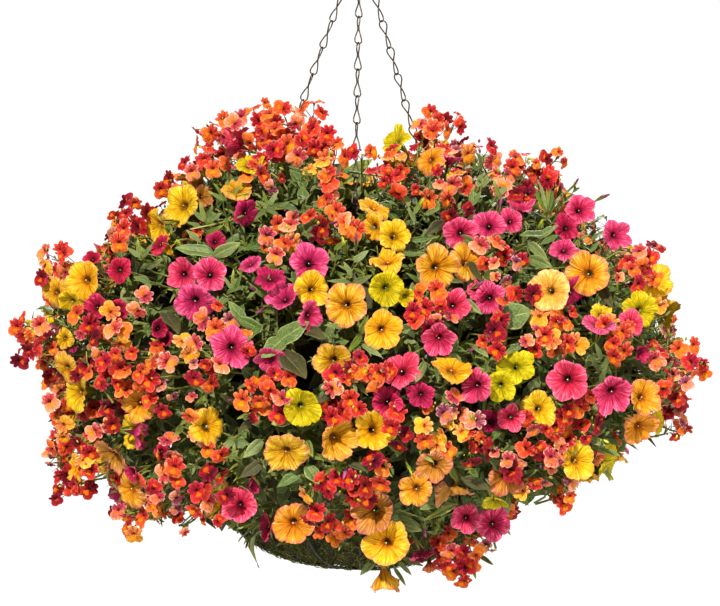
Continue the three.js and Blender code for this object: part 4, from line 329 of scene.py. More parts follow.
    (-175, 291, -577, -0.45, 0.89, -0.07, 14.2, "S", 0), (137, 188, -363, 0.23, 0.71, 0.67, 12.2, "Y", 0), (-277, 26, -725, -0.92, -0.24, -0.31, 12.9, "R", 0),
    (256, -22, -693, 0.99, -0.00, -0.14, 17.7, "R", 0), (238, -19, -344, 0.26, -0.73, 0.63, 12.9, "R", 0), (-342, -26, -582, -0.24, -0.54, 0.81, 11.4, "C", 0),
    (-104, 250, -723, 0.40, 0.53, -0.75, 16.2, "R", 0), (169, 6, -312, 0.74, 0.26, 0.62, 13.4, "S", 0), (-259, 30, -408, -0.80, 0.12, 0.59, 12.3, "D", 0),
    (199, 24, -714, 0.81, 0.48, 0.33, 12.7, "C", 0), (-310, -27, -728, -0.95, 0.25, 0.18, 17.0, "Y", 0), (-175, 80, -767, -0.35, 0.52, -0.78, 14.9, "R", 0),
    (-153, -18, -755, -0.37, -0.34, -0.86, 16.7, "R", 0), (95, 354, -563, 0.41, 0.91, -0.01, 14.1, "R", 0), (-78, 122, -306, -0.06, -0.01, 1.00, 14.2, "C", 0),
    (-26, 344, -632, 0.26, 0.95, 0.14, 17.9, "S", 0), (-298, 166, -663, -0.85, 0.39, 0.36, 15.7, "O", 0), (-44, 248, -702, -0.43, 0.81, -0.40, 11.6, "R", 0),
    (-282, 121, -407, -0.35, 0.89, 0.27, 15.3, "R", 0), (-240, -32, -750, -0.95, -0.23, 0.21, 13.2, "S", 0), (22, 325, -446, 0.21, 0.97, -0.10, 15.1, "O", 0),
    (-63, 340, -512, -0.43, 0.68, 0.60, 12.9, "R", 0), (217, 311, -558, 0.81, 0.58, -0.06, 13.8, "O", 0), (-132, 290, -639, -0.15, 0.82, 0.56, 12.9, "R", 0),
    (-292, 142, -718, -0.64, 0.19, -0.75, 15.5, "R", 0), (69, 296, -674, 0.16, 0.88, -0.45, 15.9, "D", 0), (89, 196, -736, 0.15, 0.43, -0.89, 17.8, "R", 0),
    (282, 228, -599, 0.99, 0.08, 0.07, 11.6, "O", 0), (347, 139, -593, 0.57, 0.70, 0.43, 13.3, "R", 0), (-114, 72, -314, -0.18, 0.27, 0.95, 13.4, "C", 0),
    (-63, 360, -576, -0.03, 0.42, -0.91, 17.2, "O", 0), (-203, 74, -369, -0.70, -0.04, 0.72, 13.8, "O", 0), (-141, 312, -524, -0.44, 0.69, 0.57, 12.3, "R", 0),
    (-373, -9, -465, -0.48, -0.78, 0.41, 17.7, "Y", 0), (176, 201, -700, 0.22, 0.46, -0.86, 13.1, "O", 0), (-254, 248, -533, -0.88, -0.21, 0.43, 17.1, "R", 0),
    (-268, -26, -394, -0.92, 0.06, 0.39, 12.7, "R", 0), (150, 276, -647, -0.12, 0.76, 0.64, 14.2, "S", 0), (52, 204, -380, 0.35, 0.70, 0.62, 16.0, "O", 0),
    (130, 296, -671, 0.33, 0.80, -0.50, 11.4, "S", 0), (386, 62, -579, 0.96, -0.25, -0.14, 13.0, "O", 0), (-211, -2, -340, -0.70, -0.16, 0.70, 13.2, "C", 0),
    (297, 180, -497, 0.77, 0.60, 0.22, 14.5, "O", 0), (92, 252, -703, -0.49, 0.80, 0.34, 14.3, "O", 0), (-263, 248, -587, -0.93, 0.36, 0.03, 17.3, "O", 0),
    (33, 161, -729, 0.57, 0.81, 0.13, 17.7, "R", 0), (-114, 36, -301, -0.25, 0.05, 0.97, 17.0, "R", 0), (-92, 269, -440, -0.43, 0.86, 0.27, 13.5, "O", 0),
    (267, 269, -575, 0.92, 0.40, -0.07, 15.0, "C", 0), (170, 226, -440, 0.53, 0.26, 0.81, 12.3, "D", 0), (381, -47, -546, 0.71, -0.68, 0.17, 12.0, "Y", 0),
    (-207, 23, -762, 0.04, -0.65, -0.76, 16.9, "O", 0), (-201, 272, -618, 0.28, 0.49, 0.83, 17.9, "D", 0), (323, -34, -437, 0.86, -0.15, 0.49, 11.3, "S", 0),
    (-180, 204, -709, -0.60, 0.50, -0.62, 17.4, "O", 0), (-374, -54, -552, -0.75, -0.01, 0.66, 15.9, "R", 0), (-310, 156, -620, -0.58, 0.70, -0.42, 16.8, "R", 0),
    (120, 154, -340, 0.48, 0.15, 0.87, 11.3, "O", 0), (-209, 278, -483, -0.51, 0.82, 0.27, 16.7, "O", 0), (389, -7, -582, 0.95, -0.31, -0.09, 14.6, "Y", 0),
    (-274, 82, -417, -0.34, 0.59, 0.73, 13.2, "O", 0), (215, 97, -374, -0.05, 0.03, 1.00, 17.5, "S", 0), (284, 176, -668, 0.93, 0.36, -0.11, 15.2, "R", 0),
    (332, -28, -665, 0.79, 0.56, -0.24, 17.8, "D", 0), (-71, 234, -406, -0.45, 0.68, 0.58, 15.3, "S", 0), (-227, 307, -548, -0.01, 0.96, 0.26, 13.8, "O", 0),
    (-367, 32, -450, -0.74, -0.05, 0.67, 12.7, "S", 0), (-356, 54, -565, -0.98, -0.10, 0.19, 16.1, "C", 0), (295, -5, -700, 0.85, -0.22, -0.48, 14.7, "C", 0),
    (309, 146, -458, 0.88, 0.47, -0.06, 13.0, "O", 0), (-250, 231, -440, -0.74, 0.53, 0.41, 17.3, "R", 0), (308, 45, -457, 0.81, -0.00, 0.59, 13.8, "R", 0),
    (-228, -25, -367, -0.92, -0.07, 0.38, 11.8, "R", 0), (-134, 156, -740, -0.04, 0.89, -0.45, 12.1, "O", 0), (261, 235, -559, 0.46, 0.82, 0.33, 15.3, "Y", 0),
    (-277, -39, -743, -0.22, 0.90, -0.38, 15.1, "C", 0), (124, 117, -725, 0.71, 0.69, 0.15, 15.9, "S", 0), (346, 74, -602, 0.82, 0.57, -0.04, 12.9, "S", 0),
    (-111, 199, -364, -0.28, 0.32, 0.91, 16.9, "S", 0), (-19, 323, -505, -0.11, 0.90, 0.41, 13.7, "C", 0), (328, -33, -489, 0.53, -0.16, 0.83, 16.5, "S", 0),
    (-174, 271, -456, 0.01, 1.00, -0.08, 17.5, "R", 0), (-114, 337, -581, 0.37, 0.80, -0.48, 14.5, "R", 0), (216, 237, -654, 0.92, 0.15, -0.37, 14.4, "R", 0),
    (-90, 314, -475, -0.21, 0.94, 0.28, 11.2, "O", 0), (248, 195, -690, 0.85, 0.49, -0.20, 12.8, "C", 0), (-177, 327, -568, -0.74, 0.61, 0.28, 15.2, "R", 0),
    (-164, 289, -669, -0.43, 0.85, -0.29, 13.1, "R", 0), (-185, 305, -527, -0.64, 0.65, 0.41, 13.8, "S", 0), (381, -13, -620, 0.94, -0.34, -0.07, 15.7, "O", 0),
    (-87, 164, -325, 0.07, 0.82, 0.56, 17.3, "R", 0), (78, 82, -759, 0.53, 0.59, -0.61, 12.7, "D", 0), (-175, 158, -734, -0.81, 0.47, -0.34, 17.0, "C", 0),
    (-53, 299, -690, 0.17, 0.95, -0.27, 12.2, "O", 0), (272, 179, -440, 0.98, 0.11, 0.15, 13.2, "R", 0), (265, -27, -386, 0.53, -0.22, 0.82, 15.3, "O", 0),
    (138, 4, -737, 0.40, 0.53, -0.75, 12.7, "S", 0), (157, 173, -398, 0.61, -0.04, 0.79, 12.8, "Y", 0), (-162, 219, -418, -0.64, 0.58, 0.51, 13.3, "C", 0),
    (-196, -25, -316, -0.38, 0.40, 0.83, 16.3, "D", 0), (-22, 191, -339, -0.24, 0.89, 0.40, 17.3, "O", 0), (-84, 1, -277, 0.08, -0.06, 0.99, 12.1, "R", 0),
    (-265, 192, -439, -0.79, 0.10, 0.61, 16.8, "R", 0), (-167, 308, -626, -0.84, 0.53, -0.13, 14.5, "O", 0), (-325, 84, -641, -0.91, 0.14, 0.40, 14.0, "R", 0),
    (-338, 1, -694, -0.97, 0.11, 0.21, 13.7, "C", 0), (-110, 335, -514, 0.00, 0.59, 0.81, 15.5, "C", 0), (-206, 64, -750, -0.53, 0.07, -0.84, 16.8, "R", 0),
    (205, 200, -424, 0.63, 0.69, 0.36, 16.8, "D", 0), (277, 88, -698, 0.54, 0.43, -0.72, 15.4, "S", 0), (91, 70, -328, 0.31, -0.23, 0.92, 17.9, "O", 0),
    (-357, 105, -550, -0.51, -0.77, 0.38, 12.1, "R", 0), (360, 75, -656, 0.67, 0.37, -0.65, 17.8, "O", 0), (-1, 159, -341, 0.13, 0.72, 0.68, 15.0, "R", 0),
    (187, 291, -660, 0.41, 0.89, -0.21, 17.0, "D", 0), (-334, -63, -681, -0.73, -0.00, -0.68, 13.3, "R", 0), (173, 248, -673, 0.43, 0.88, -0.21, 17.2, "S", 0),
    (-351, 8, -501, -0.78, 0.20, 0.59, 17.0, "R", 0), (1, 119, -774, 0.79, 0.62, 0.05, 14.8, "S", 0), (-218, 272, -537, -0.26, 0.89, 0.38, 14.7, "O", 0),
    (78, 198, -345, 0.33, 0.67, 0.66, 11.7, "O", 0), (99, 304, -616, -0.27, 0.96, -0.04, 11.2, "R", 0), (-136, 343, -546, -0.51, 0.81, 0.28, 11.6, "R", 0),
    (-61, 95, -764, -0.36, 0.35, -0.86, 11.3, "C", 0), (114, 53, -789, 0.17, -0.01, -0.98, 17.7, "R", 0), (-322, 73, -415, -0.66, 0.27, 0.70, 16.5, "C", 0),
    (104, 319, -460, 0.80, 0.60, -0.06, 16.4, "D", 0), (-74, 158, -738, -0.68, 0.71, -0.19, 15.5, "S", 0), (143, 292, -598, 0.65, 0.75, 0.14, 14.1, "R", 0),
    (-394, -7, -529, -0.44, 0.89, 0.13, 11.2, "R", 0), (233, 2, -718, 0.39, -0.25, -0.89, 13.8, "O", 0), (2, 345, -483, 0.34, 0.91, 0.23, 13.4, "O", 0),
    (243, 226, -626, 0.82, 0.40, 0.41, 12.6, "S", 0), (-170, 239, -714, -0.88, 0.31, -0.35, 12.8, "Y", 0), (-228, 260, -665, -0.98, 0.06, 0.19, 15.9, "O", 0),
    (35, 314, -685, 0.27, 0.87, -0.40, 11.0, "R", 0), (-165, 18, -761, -0.82, 0.19, -0.54, 11.6, "R", 0), (-158, 274, -608, -0.61, 0.78, -0.15, 17.3, "S", 0),
    (208, 106, -727, 0.80, -0.58, -0.17, 12.0, "S", 0), (206, 2, -324, 0.74, 0.61, 0.28, 17.7, "R", 0), (-214, 3, -389, -0.61, -0.42, 0.68, 12.1, "S", 0),
    (-38, 330, -576, 0.12, 0.97, 0.21, 13.7, "R", 0), (-242, 25, -739, -0.88, -0.07, -0.47, 13.7, "R", 0), (225, 61, -332, 0.60, -0.02, 0.80, 11.3, "O", 0),
    (352, 44, -578, 0.88, -0.36, 0.32, 17.5, "R", 0), (110, 318, -535, -0.47, 0.88, 0.13, 14.9, "R", 0), (-176, 28, -302, -0.20, 0.04, 0.98, 14.7, "R", 0),
    (-264, 231, -620, -0.82, 0.56, -0.09, 17.0, "O", 0), (-299, -4, -414, -0.38, -0.38, 0.84, 13.3, "S", 0), (-250, 139, -426, -0.48, 0.86, 0.18, 16.8, "S", 0),
    (-335, 0, -442, -0.63, -0.73, 0.25, 11.2, "S", 0), (276, 208, -474, 0.95, -0.06, 0.31, 11.8, "R", 0), (-265, 175, -715, -0.99, 0.12, -0.03, 17.6, "D", 0),
    (-279, 65, -731, -0.92, 0.39, -0.07, 13.0, "R", 0), (182, 159, -698, 0.65, 0.62, -0.45, 16.3, "R", 0), (316, 10, -482, 0.83, 0.21, 0.52, 14.5, "D", 0),
    (-26, 35, -322, 0.12, 0.55, 0.83, 15.4, "O", 0), (-322, -148, -563, -0.80, 0.04, 0.60, 11.2, "C", 0), (124, -100, -310, 0.49, -0.19, 0.85, 13.1, "D", 0),
    (151, -195, -708, -0.20, -0.55, -0.81, 16.8, "S", 0), (-132, -84, -758, -0.07, -0.41, -0.91, 14.0, "D", 0), (-281, -126, -430, -0.88, -0.06, 0.47, 12.2, "R", 0),
    (167, -70, -335, 0.01, -0.16, 0.99, 16.5, "R", 0), (-43, -50, -309, 0.13, -0.32, 0.94, 15.6, "O", 0), (186, -148, -706, 0.62, -0.78, -0.08, 14.5, "R", 0),
    (-187, -177, -731, 0.11, -0.43, -0.89, 17.4, "R", 0), (-137, -196, -731, -0.91, -0.40, 0.07, 15.2, "R", 0), (61, -121, -326, 0.56, -0.33, 0.76, 12.0, "O", 0),
    (323, -157, -494, 0.64, -0.66, 0.38, 11.2, "O", 0), (-338, -65, -434, -0.89, -0.27, 0.36, 15.8, "O", 0), (-279, -129, -707, -0.74, -0.61, 0.28, 13.1, "Y", 0),
    (342, -98, -620, 0.96, 0.03, 0.29, 14.2, "S", 0), (326, -148, -589, 0.63, -0.77, 0.04, 13.7, "R", 0), (255, -114, -689, 0.57, -0.78, -0.25, 14.5, "C", 0),
    (354, -84, -531, 0.99, -0.01, 0.14, 13.8, "D", 0), (159, -65, -737, 0.49, -0.68, -0.54, 16.5, "O", 0), (-334, -137, -488, -0.93, -0.36, -0.04, 13.7, "R", 0),
    (-239, -97, -740, -0.35, -0.50, -0.79, 14.4, "O", 0), (369, -77, -601, 0.97, -0.19, -0.18, 15.5, "R", 0), (-339, -103, -581, -0.05, -1.00, -0.05, 17.0, "S", 0),
    (-163, -48, -316, -0.23, -0.11, 0.97, 12.4, "R", 0), (213, -57, -356, 0.61, -0.38, 0.70, 12.5, "R", 0), (-45, -204, -732, -0.29, -0.88, -0.38, 14.4, "S", 0),
    (296, -94, -674, 0.93, -0.26, 0.26, 14.3, "R", 0), (44, -205, -737, -0.21, -0.89, -0.40, 13.6, "O", 0), (-279, -84, -722, -0.92, -0.12, -0.37, 13.1, "S", 0),
    (310, -175, -538, 0.90, -0.40, -0.18, 13.6, "R", 0), (246, -135, -425, 0.70, -0.10, 0.71, 12.1, "O", 0), (22, -147, -743, 0.57, -0.31, -0.76, 13.8, "R", 0),
    (-352, -84, -553, -0.89, -0.21, 0.39, 14.7, "R", 0), (-94, -211, -721, -0.01, -0.79, -0.61, 14.6, "O", 0), (-294, -68, -404, -0.92, -0.31, 0.23, 17.6, "Y", 0),
    (-160, -111, -752, -0.16, -0.28, -0.95, 17.4, "O", 0), (82, -109, -741, 0.21, -0.95, -0.23, 14.7, "O", 0), (-6, -117, -310, 0.11, 0.18, 0.98, 12.0, "D", 0),
    (305, -163, -651, 0.99, -0.07, -0.12, 11.0, "R", 0), (-194, -80, -376, -0.71, -0.20, 0.68, 12.5, "R", 0), (229, -205, -456, 0.83, -0.53, 0.18, 15.4, "R", 0),
    (261, -176, -689, 0.65, -0.74, -0.15, 17.2, "R", 0), (218, -98, -390, 0.31, -0.52, 0.80, 16.5, "Y", 0), (258, -238, -603, 0.82, -0.35, -0.46, 16.9, "R", 0),
    (248, -63, -701, 1.00, 0.02, 0.09, 11.8, "R", 0), (150, -116, -344, 0.59, -0.73, 0.34, 14.8, "D", 0), (-321, -71, -603, -0.79, -0.32, -0.53, 11.8, "R", 0),
    (159, -130, -729, 0.68, -0.43, -0.59, 11.4, "R", 0), (295, -97, -425, 0.85, -0.35, 0.39, 17.7, "O", 0), (346, -116, -552, 0.87, -0.47, -0.13, 12.1, "S", 0),
    (304, -176, -599, 0.92, -0.33, 0.20, 12.5, "D", 0), (29, -101, -319, -0.00, -0.47, 0.88, 15.2, "R", 0), (287, -119, -456, 0.72, -0.30, 0.63, 12.2, "R", 0),
    (-361, -73, -587, -0.96, -0.26, 0.07, 14.4, "O", 0), (-202, -105, -748, -0.89, 0.03, -0.46, 16.0, "D", 0), (309, -88, -476, 0.43, -0.53, 0.73, 14.1, "S", 0),
    (128, -68, -758, 0.09, 0.09, -0.99, 14.7, "O", 0), (200, -39, -322, 0.94, -0.16, 0.32, 16.1, "O", 0), (227, -98, -720, 0.40, -0.92, 0.07, 15.8, "O", 0),
    (136, -50, -321, 0.74, -0.02, 0.67, 12.2, "R", 0), (-173, -211, -411, -0.73, -0.53, 0.43, 16.5, "R", 0), (-321, -82, -651, -0.99, -0.15, 0.01, 14.2, "R", 0),
    (-271, -170, -671, -0.78, -0.60, 0.15, 13.1, "O", 0), (247, -74, -409, 0.83, -0.39, 0.39, 14.8, "S", 0), (-330, -95, -465, -0.91, 0.39, -0.18, 12.2, "R", 0)
]
# closed buds: middle, the way they point, p purple or g lime
BUDS = [
    (243, -53, -361, 0.35, -0.63, 0.69, "p"), (277, -23, -378, 0.76, -0.52, 0.38, "p"), (-98, -336, -489, -0.56, -0.78, -0.28, "p"), (-123, -144, -755, -0.27, -0.50, -0.82, "p"),
    (67, -232, -727, 0.24, -0.66, -0.72, "p"), (-16, -299, -425, -0.19, -0.51, 0.84, "g"), (63, -234, -385, 0.38, -0.52, 0.76, "g"), (-105, -327, -470, -0.62, -0.69, 0.37, "p"),
    (119, -318, -465, 0.66, -0.61, 0.44, "p"), (-30, -350, -599, -0.37, -0.69, -0.62, "p"), (-128, -338, -580, -0.67, -0.73, 0.13, "p"), (-246, -284, -533, -0.81, -0.55, 0.20, "p"),
    (219, -118, -370, 0.19, -0.51, 0.84, "p"), (-61, -295, -425, 0.10, -0.56, 0.82, "p"), (190, -206, -407, 0.32, -0.59, 0.75, "g"), (-208, -306, -522, -0.69, -0.63, 0.35, "g"),
    (250, -257, -629, 0.81, -0.55, -0.20, "g"), (162, -311, -623, 0.62, -0.69, -0.37, "p"), (-4, -293, -420, 0.00, -0.52, 0.85, "p"), (305, -228, -548, 0.85, -0.52, 0.00, "p"),
    (-271, -243, -484, -0.82, -0.50, 0.27, "p"), (88, -241, -396, 0.09, -0.52, 0.85, "g"), (-71, -287, -421, 0.44, -0.61, 0.66, "p"), (148, -201, -386, 0.19, -0.51, 0.84, "p"),
    (-186, -255, -426, -0.49, -0.54, 0.69, "g"), (50, -337, -650, 0.35, -0.63, -0.69, "g"), (-14, -340, -650, -0.24, -0.66, -0.72, "p"), (-143, -305, -665, -0.56, -0.61, -0.56, "p"),
    (110, -349, -529, 0.54, -0.74, 0.40, "p"), (126, 341, -521, 0.17, 0.83, 0.52, "g"), (-167, 287, -441, 0.37, 0.79, 0.49, "p"), (-247, 271, -500, -0.69, 0.72, 0.10, "p"),
    (23, 305, -429, 0.32, 0.84, 0.44, "p"), (141, 345, -552, -0.12, 0.96, 0.25, "p"), (199, 115, -725, 0.23, 0.44, -0.87, "p"), (-217, 252, -436, -0.59, 0.63, 0.51, "g")
]
# large leaves in view from the front: foot, tip, width (mm), b broad grey-green, n narrow yellow-green, d dark in the
# inner leaves' painted-shade colour, p dried petal
LEAVES = [
    (-150, -277, -435, -191, -269, -428, 15.4, "b"), (-150, -280, -437, -122, -291, -423, 13.3, "b"), (-76, -347, -517, -97, -365, -534, 18.9, "b"), (-83, -347, -521, -51, -359, -499, 19.9, "b"),
    (-115, -332, -503, -132, -333, -480, 12.0, "b"), (-78, -352, -530, -53, -375, -554, 25.9, "d"), (-14, -349, -506, -33, -362, -502, 6.0, "b"), (1, -353, -514, -13, -374, -529, 7.0, "n"),
    (1, -352, -512, 8, -360, -494, 8.0, "n"), (2, -357, -523, 21, -375, -532, 6.9, "b"), (-6, -315, -442, 8, -318, -430, 7.1, "b"), (-8, -329, -456, -16, -333, -441, 5.0, "b"),
    (-7, -332, -463, 13, -344, -454, 7.0, "b"), (-9, -332, -462, -31, -345, -459, 5.0, "b"), (-9, -338, -479, 4, -351, -471, 6.0, "b"), (-98, -339, -509, -124, -343, -496, 13.0, "b"),
    (-200, -293, -494, -181, -327, -512, 18.4, "d"), (-57, -347, -507, -34, -368, -514, 14.0, "d"), (-98, -337, -504, -112, -356, -518, 10.0, "b"), (104, -264, -418, 123, -290, -427, 10.3, "b"),
    (150, -242, -417, 124, -286, -424, 8.3, "b"), (195, -211, -418, 167, -251, -415, 10.5, "b"), (188, -221, -420, 211, -199, -404, 8.4, "b"), (190, -228, -426, 211, -217, -415, 6.3, "b"),
    (144, -316, -499, 174, -316, -493, 28.3, "b"), (175, -260, -440, 197, -278, -448, 12.4, "b"), (89, -243, -402, 67, -292, -415, 12.5, "d"), (48, -283, -421, 80, -292, -418, 6.1, "b"),
    (176, -236, -425, 193, -272, -441, 10.4, "b"), (106, -322, -480, 120, -339, -492, 8.1, "b"), (252, -220, -468, 261, -247, -490, 12.6, "d"), (42, -304, -435, 62, -316, -433, 6.1, "b"),
    (112, -296, -443, 121, -325, -460, 8.1, "d"), (64, -357, -540, 55, -375, -559, 8.9, "b"), (-99, -324, -622, -117, -333, -639, 12.1, "b"), (-69, -339, -597, -88, -347, -603, 14.0, "n"),
    (-56, -334, -617, -47, -349, -636, 9.0, "n"), (-54, -332, -646, -41, -341, -664, 15.1, "b"), (-59, -328, -652, -84, -332, -668, 11.1, "b"), (-15, -337, -642, 6, -351, -647, 9.0, "d"),
    (-99, -323, -644, -121, -326, -660, 12.1, "d"), (17, -105, -778, 0, -103, -798, 10.0, "b"), (45, -248, -718, 63, -257, -724, 10.5, "b"), (100, -284, -692, 66, -291, -708, 8.2, "n"),
    (33, -93, -787, 24, -105, -807, 5.6, "n"), (38, -93, -791, 51, -96, -812, 5.6, "n"), (42, -95, -784, 60, -87, -801, 5.6, "b"), (47, -99, -779, 71, -95, -789, 5.6, "b"),
    (31, -94, -789, 36, -102, -810, 4.5, "b"), (98, -312, -666, 86, -343, -639, 9.1, "n"), (104, -313, -662, 133, -314, -672, 12.2, "d"), (127, -289, -678, 146, -284, -692, 9.2, "n"),
    (143, -303, -655, 127, -333, -633, 8.2, "b"), (164, -285, -665, 179, -306, -654, 8.2, "b"), (237, -259, -629, 220, -288, -638, 9.3, "b"), (239, -258, -627, 255, -263, -635, 7.3, "b"),
    (246, -252, -630, 261, -261, -620, 6.2, "b"), (256, -239, -642, 274, -242, -647, 6.3, "b"), (253, -224, -660, 238, -249, -672, 10.5, "n"), (255, -225, -658, 268, -202, -680, 8.4, "n"),
    (247, -274, -571, 251, -293, -549, 5.2, "b"), (248, -278, -557, 234, -304, -540, 5.1, "b"), (250, -275, -553, 259, -282, -536, 5.1, "b"), (249, -274, -544, 241, -292, -527, 5.2, "b"),
    (296, -173, -488, 314, -165, -479, 5.4, "n"), (281, -174, -458, 294, -171, -447, 6.4, "b"), (309, -99, -449, 287, -157, -434, 5.5, "b"), (243, -192, -436, 259, -177, -423, 5.3, "b"),
    (250, -158, -424, 267, -140, -411, 5.4, "b"), (261, -96, -405, 286, -25, -391, 5.5, "b"), (-103, -247, -716, -129, -253, -723, 3.1, "n"), (-103, -241, -719, -135, -215, -740, 3.1, "n"),
    (-103, -236, -722, -138, -100, -771, 3.2, "n"), (-103, -236, -722, -124, -153, -759, 3.2, "b"), (-101, -237, -722, -110, -169, -755, 3.2, "n"), (-98, -243, -719, -93, -228, -738, 3.1, "b"),
    (200, -162, -393, 183, -164, -361, 4.3, "n"), (200, -162, -393, 194, -147, -353, 4.3, "b"), (202, -160, -393, 205, -128, -346, 4.3, "n"), (204, -159, -393, 214, -122, -352, 4.3, "b"),
    (205, -157, -394, 226, -118, -363, 4.3, "n"), (218, -128, -386, 244, -90, -368, 4.4, "n"), (-144, -183, -381, -163, -173, -371, 4.3, "n"), (-144, -183, -381, -157, -168, -359, 4.3, "n"),
    (-143, -184, -381, -141, -179, -356, 4.3, "b"), (-142, -185, -381, -125, -195, -363, 4.3, "n"), (-142, -187, -383, -120, -208, -374, 4.3, "n"), (-97, -219, -388, -108, -224, -380, 4.2, "b"),
    (-97, -220, -389, -102, -210, -368, 4.2, "n"), (-96, -217, -386, -87, -219, -371, 5.3, "b"), (-96, -218, -388, -75, -239, -382, 4.2, "b"), (-97, -220, -389, -83, -260, -397, 6.3, "b"),
    (-98, -221, -390, -108, -251, -397, 5.3, "b"), (-128, -316, -471, -138, -322, -456, 4.0, "b"), (-128, -316, -471, -129, -322, -449, 4.0, "n"), (-127, -316, -471, -119, -327, -454, 4.0, "b"),
    (-127, -316, -472, -114, -333, -464, 4.0, "b"), (-98, -326, -477, -111, -333, -462, 4.0, "b"), (-98, -326, -477, -103, -332, -454, 4.0, "n"), (-97, -326, -477, -90, -335, -455, 4.0, "b"),
    (-163, -214, -403, -180, -197, -389, 5.3, "b"), (-163, -214, -403, -170, -192, -382, 5.3, "n"), (-162, -215, -403, -154, -206, -384, 5.3, "b"), (-162, -220, -405, -145, -227, -393, 5.3, "b"),
    (-166, -227, -409, -182, -230, -403, 5.2, "b"), (-160, -240, -415, -143, -257, -407, 5.2, "n"), (-229, -241, -440, -245, -234, -428, 5.2, "b"), (-229, -241, -440, -233, -227, -420, 5.2, "n"),
    (-227, -243, -440, -216, -250, -426, 5.2, "b"), (-216, -271, -464, -232, -276, -458, 7.2, "b"), (-216, -272, -466, -225, -289, -478, 7.2, "b"), (-221, -260, -450, -205, -284, -443, 6.2, "b"),
    (96, -233, -397, 107, -228, -380, 5.2, "b"), (116, -212, -387, 129, -207, -370, 6.3, "b"), (116, -212, -387, 120, -206, -365, 5.3, "n"), (147, -185, -376, 160, -182, -361, 6.4, "b"),
    (149, -186, -378, 142, -192, -359, 5.3, "n"), (37, -222, -376, 46, -225, -359, 5.2, "b"), (52, -231, -386, 44, -231, -370, 5.2, "n"), (56, -239, -395, 67, -234, -376, 5.2, "n"),
    (58, -252, -403, 48, -249, -386, 5.2, "b"), (68, -237, -395, 83, -244, -388, 5.2, "b"), (-62, -269, -413, -74, -268, -400, 6.2, "b"), (-62, -269, -413, -49, -275, -402, 6.2, "b"),
    (-60, -273, -415, -45, -301, -418, 5.1, "b"), (-31, -290, -425, -39, -289, -410, 5.1, "n"), (-26, -299, -430, -14, -305, -420, 5.1, "n"), (-20, -307, -436, -30, -332, -441, 5.1, "b"),
    (-30, -358, -570, -42, -367, -581, 7.0, "d"), (-125, -331, -584, -138, -347, -575, 6.0, "d"), (-12, -348, -593, -2, -371, -579, 6.0, "n"), (-109, -326, -601, -121, -332, -611, 8.1, "d"),
    (-130, -314, -623, -141, -324, -634, 7.1, "b"), (-203, -304, -562, -215, -309, -574, 6.1, "n"), (-216, -282, -585, -224, -306, -571, 5.1, "n"), (-262, -238, -589, -275, -232, -602, 5.2, "n"),
    (-282, -193, -626, -294, -203, -635, 5.3, "n"), (-207, -266, -659, -219, -272, -671, 6.2, "b"), (-190, -255, -692, -202, -257, -704, 5.2, "n"), (-180, -217, -719, -192, -204, -736, 4.2, "n"),
    (204, -290, -512, 189, -324, -524, 9.2, "d"), (161, -322, -526, 146, -347, -531, 9.1, "b"), (114, -340, -524, 127, -355, -534, 8.0, "b"), (111, -328, -601, 98, -342, -611, 8.1, "d"),
    (82, -289, -693, 69, -324, -680, 6.2, "b"), (142, -314, -612, 129, -333, -623, 7.1, "b"), (60, -334, -631, 72, -346, -641, 6.0, "n"), (-31, -308, -685, -43, -314, -696, 6.1, "d"),
    (-126, -246, -715, -138, -253, -722, 5.2, "n"), (131, -14, -772, 144, -30, -784, 5.8, "n"), (138, -16, -790, 153, -33, -799, 5.7, "n"), (127, -14, -795, 133, -16, -818, 5.8, "n"),
    (152, -160, -727, 163, -160, -745, 5.4, "n"), (-32, -66, -396, 8, -76, -350, 24.0, "b"), (26, -62, -402, -10, -72, -360, 22.0, "b"), (-30, -56, -368, 14, -64, -334, 20.0, "n"),
    (22, -56, -382, -20, -62, -343, 20.0, "b"), (-4, -54, -414, -7, -66, -368, 26.0, "b"), (-36, -70, -360, -6, -78, -380, 18.0, "n")
]

UP = np.array([0.0, 0.0, 1.0])


def unit(v):
    return v / np.maximum(np.linalg.norm(v, axis=-1, keepdims=True), 1e-9)


def table(rows, a):
    return np.interp(a, [r[0] for r in rows], [r[1] for r in rows])


def outer(d):
    d = unit(np.asarray(d, float))
    el = np.degrees(np.arcsin(np.clip(d[..., 2], -1, 1)))
    h = np.hypot(d[..., 0], d[..., 1]) + 1e-9
    sx = d[..., 0] / h
    r, l = table(OUT_RIGHT, el), table(OUT_LEFT, el)
    m = (r + l) / 2 * 0.955
    return m + (r - m) * np.clip(sx, 0, 1) ** 2 + (l - m) * np.clip(-sx, 0, 1) ** 2


VIEW_UP = np.array([0.0, math.sin(ELEV), math.cos(ELEV)])


def seen(p):
    """where a point stands in the front view (mm in the plane of the hook)"""
    v = p - CAM
    t = v @ fwd
    return v[..., 0] / t * 2600.0, (v @ VIEW_UP) / t * 2600.0


def disc(p, r):
    u, w = seen(np.array(p, float))
    return (float(u), float(w), r)


def envelope(discs, sign):
    """upper (sign 1) or lower (sign -1) edge of a set of discs, every 10 mm across"""
    d = np.array(discs)
    rows = []
    for u in np.arange(-390.0, 401.0, 10.0):
        over = d[np.abs(d[:, 0] - u) < d[:, 2]]
        if len(over):
            reach = sign * over[:, 1] + np.sqrt(over[:, 2] ** 2 - (over[:, 0] - u) ** 2)
            rows.append((float(u), sign * float(reach.max())))
    return rows


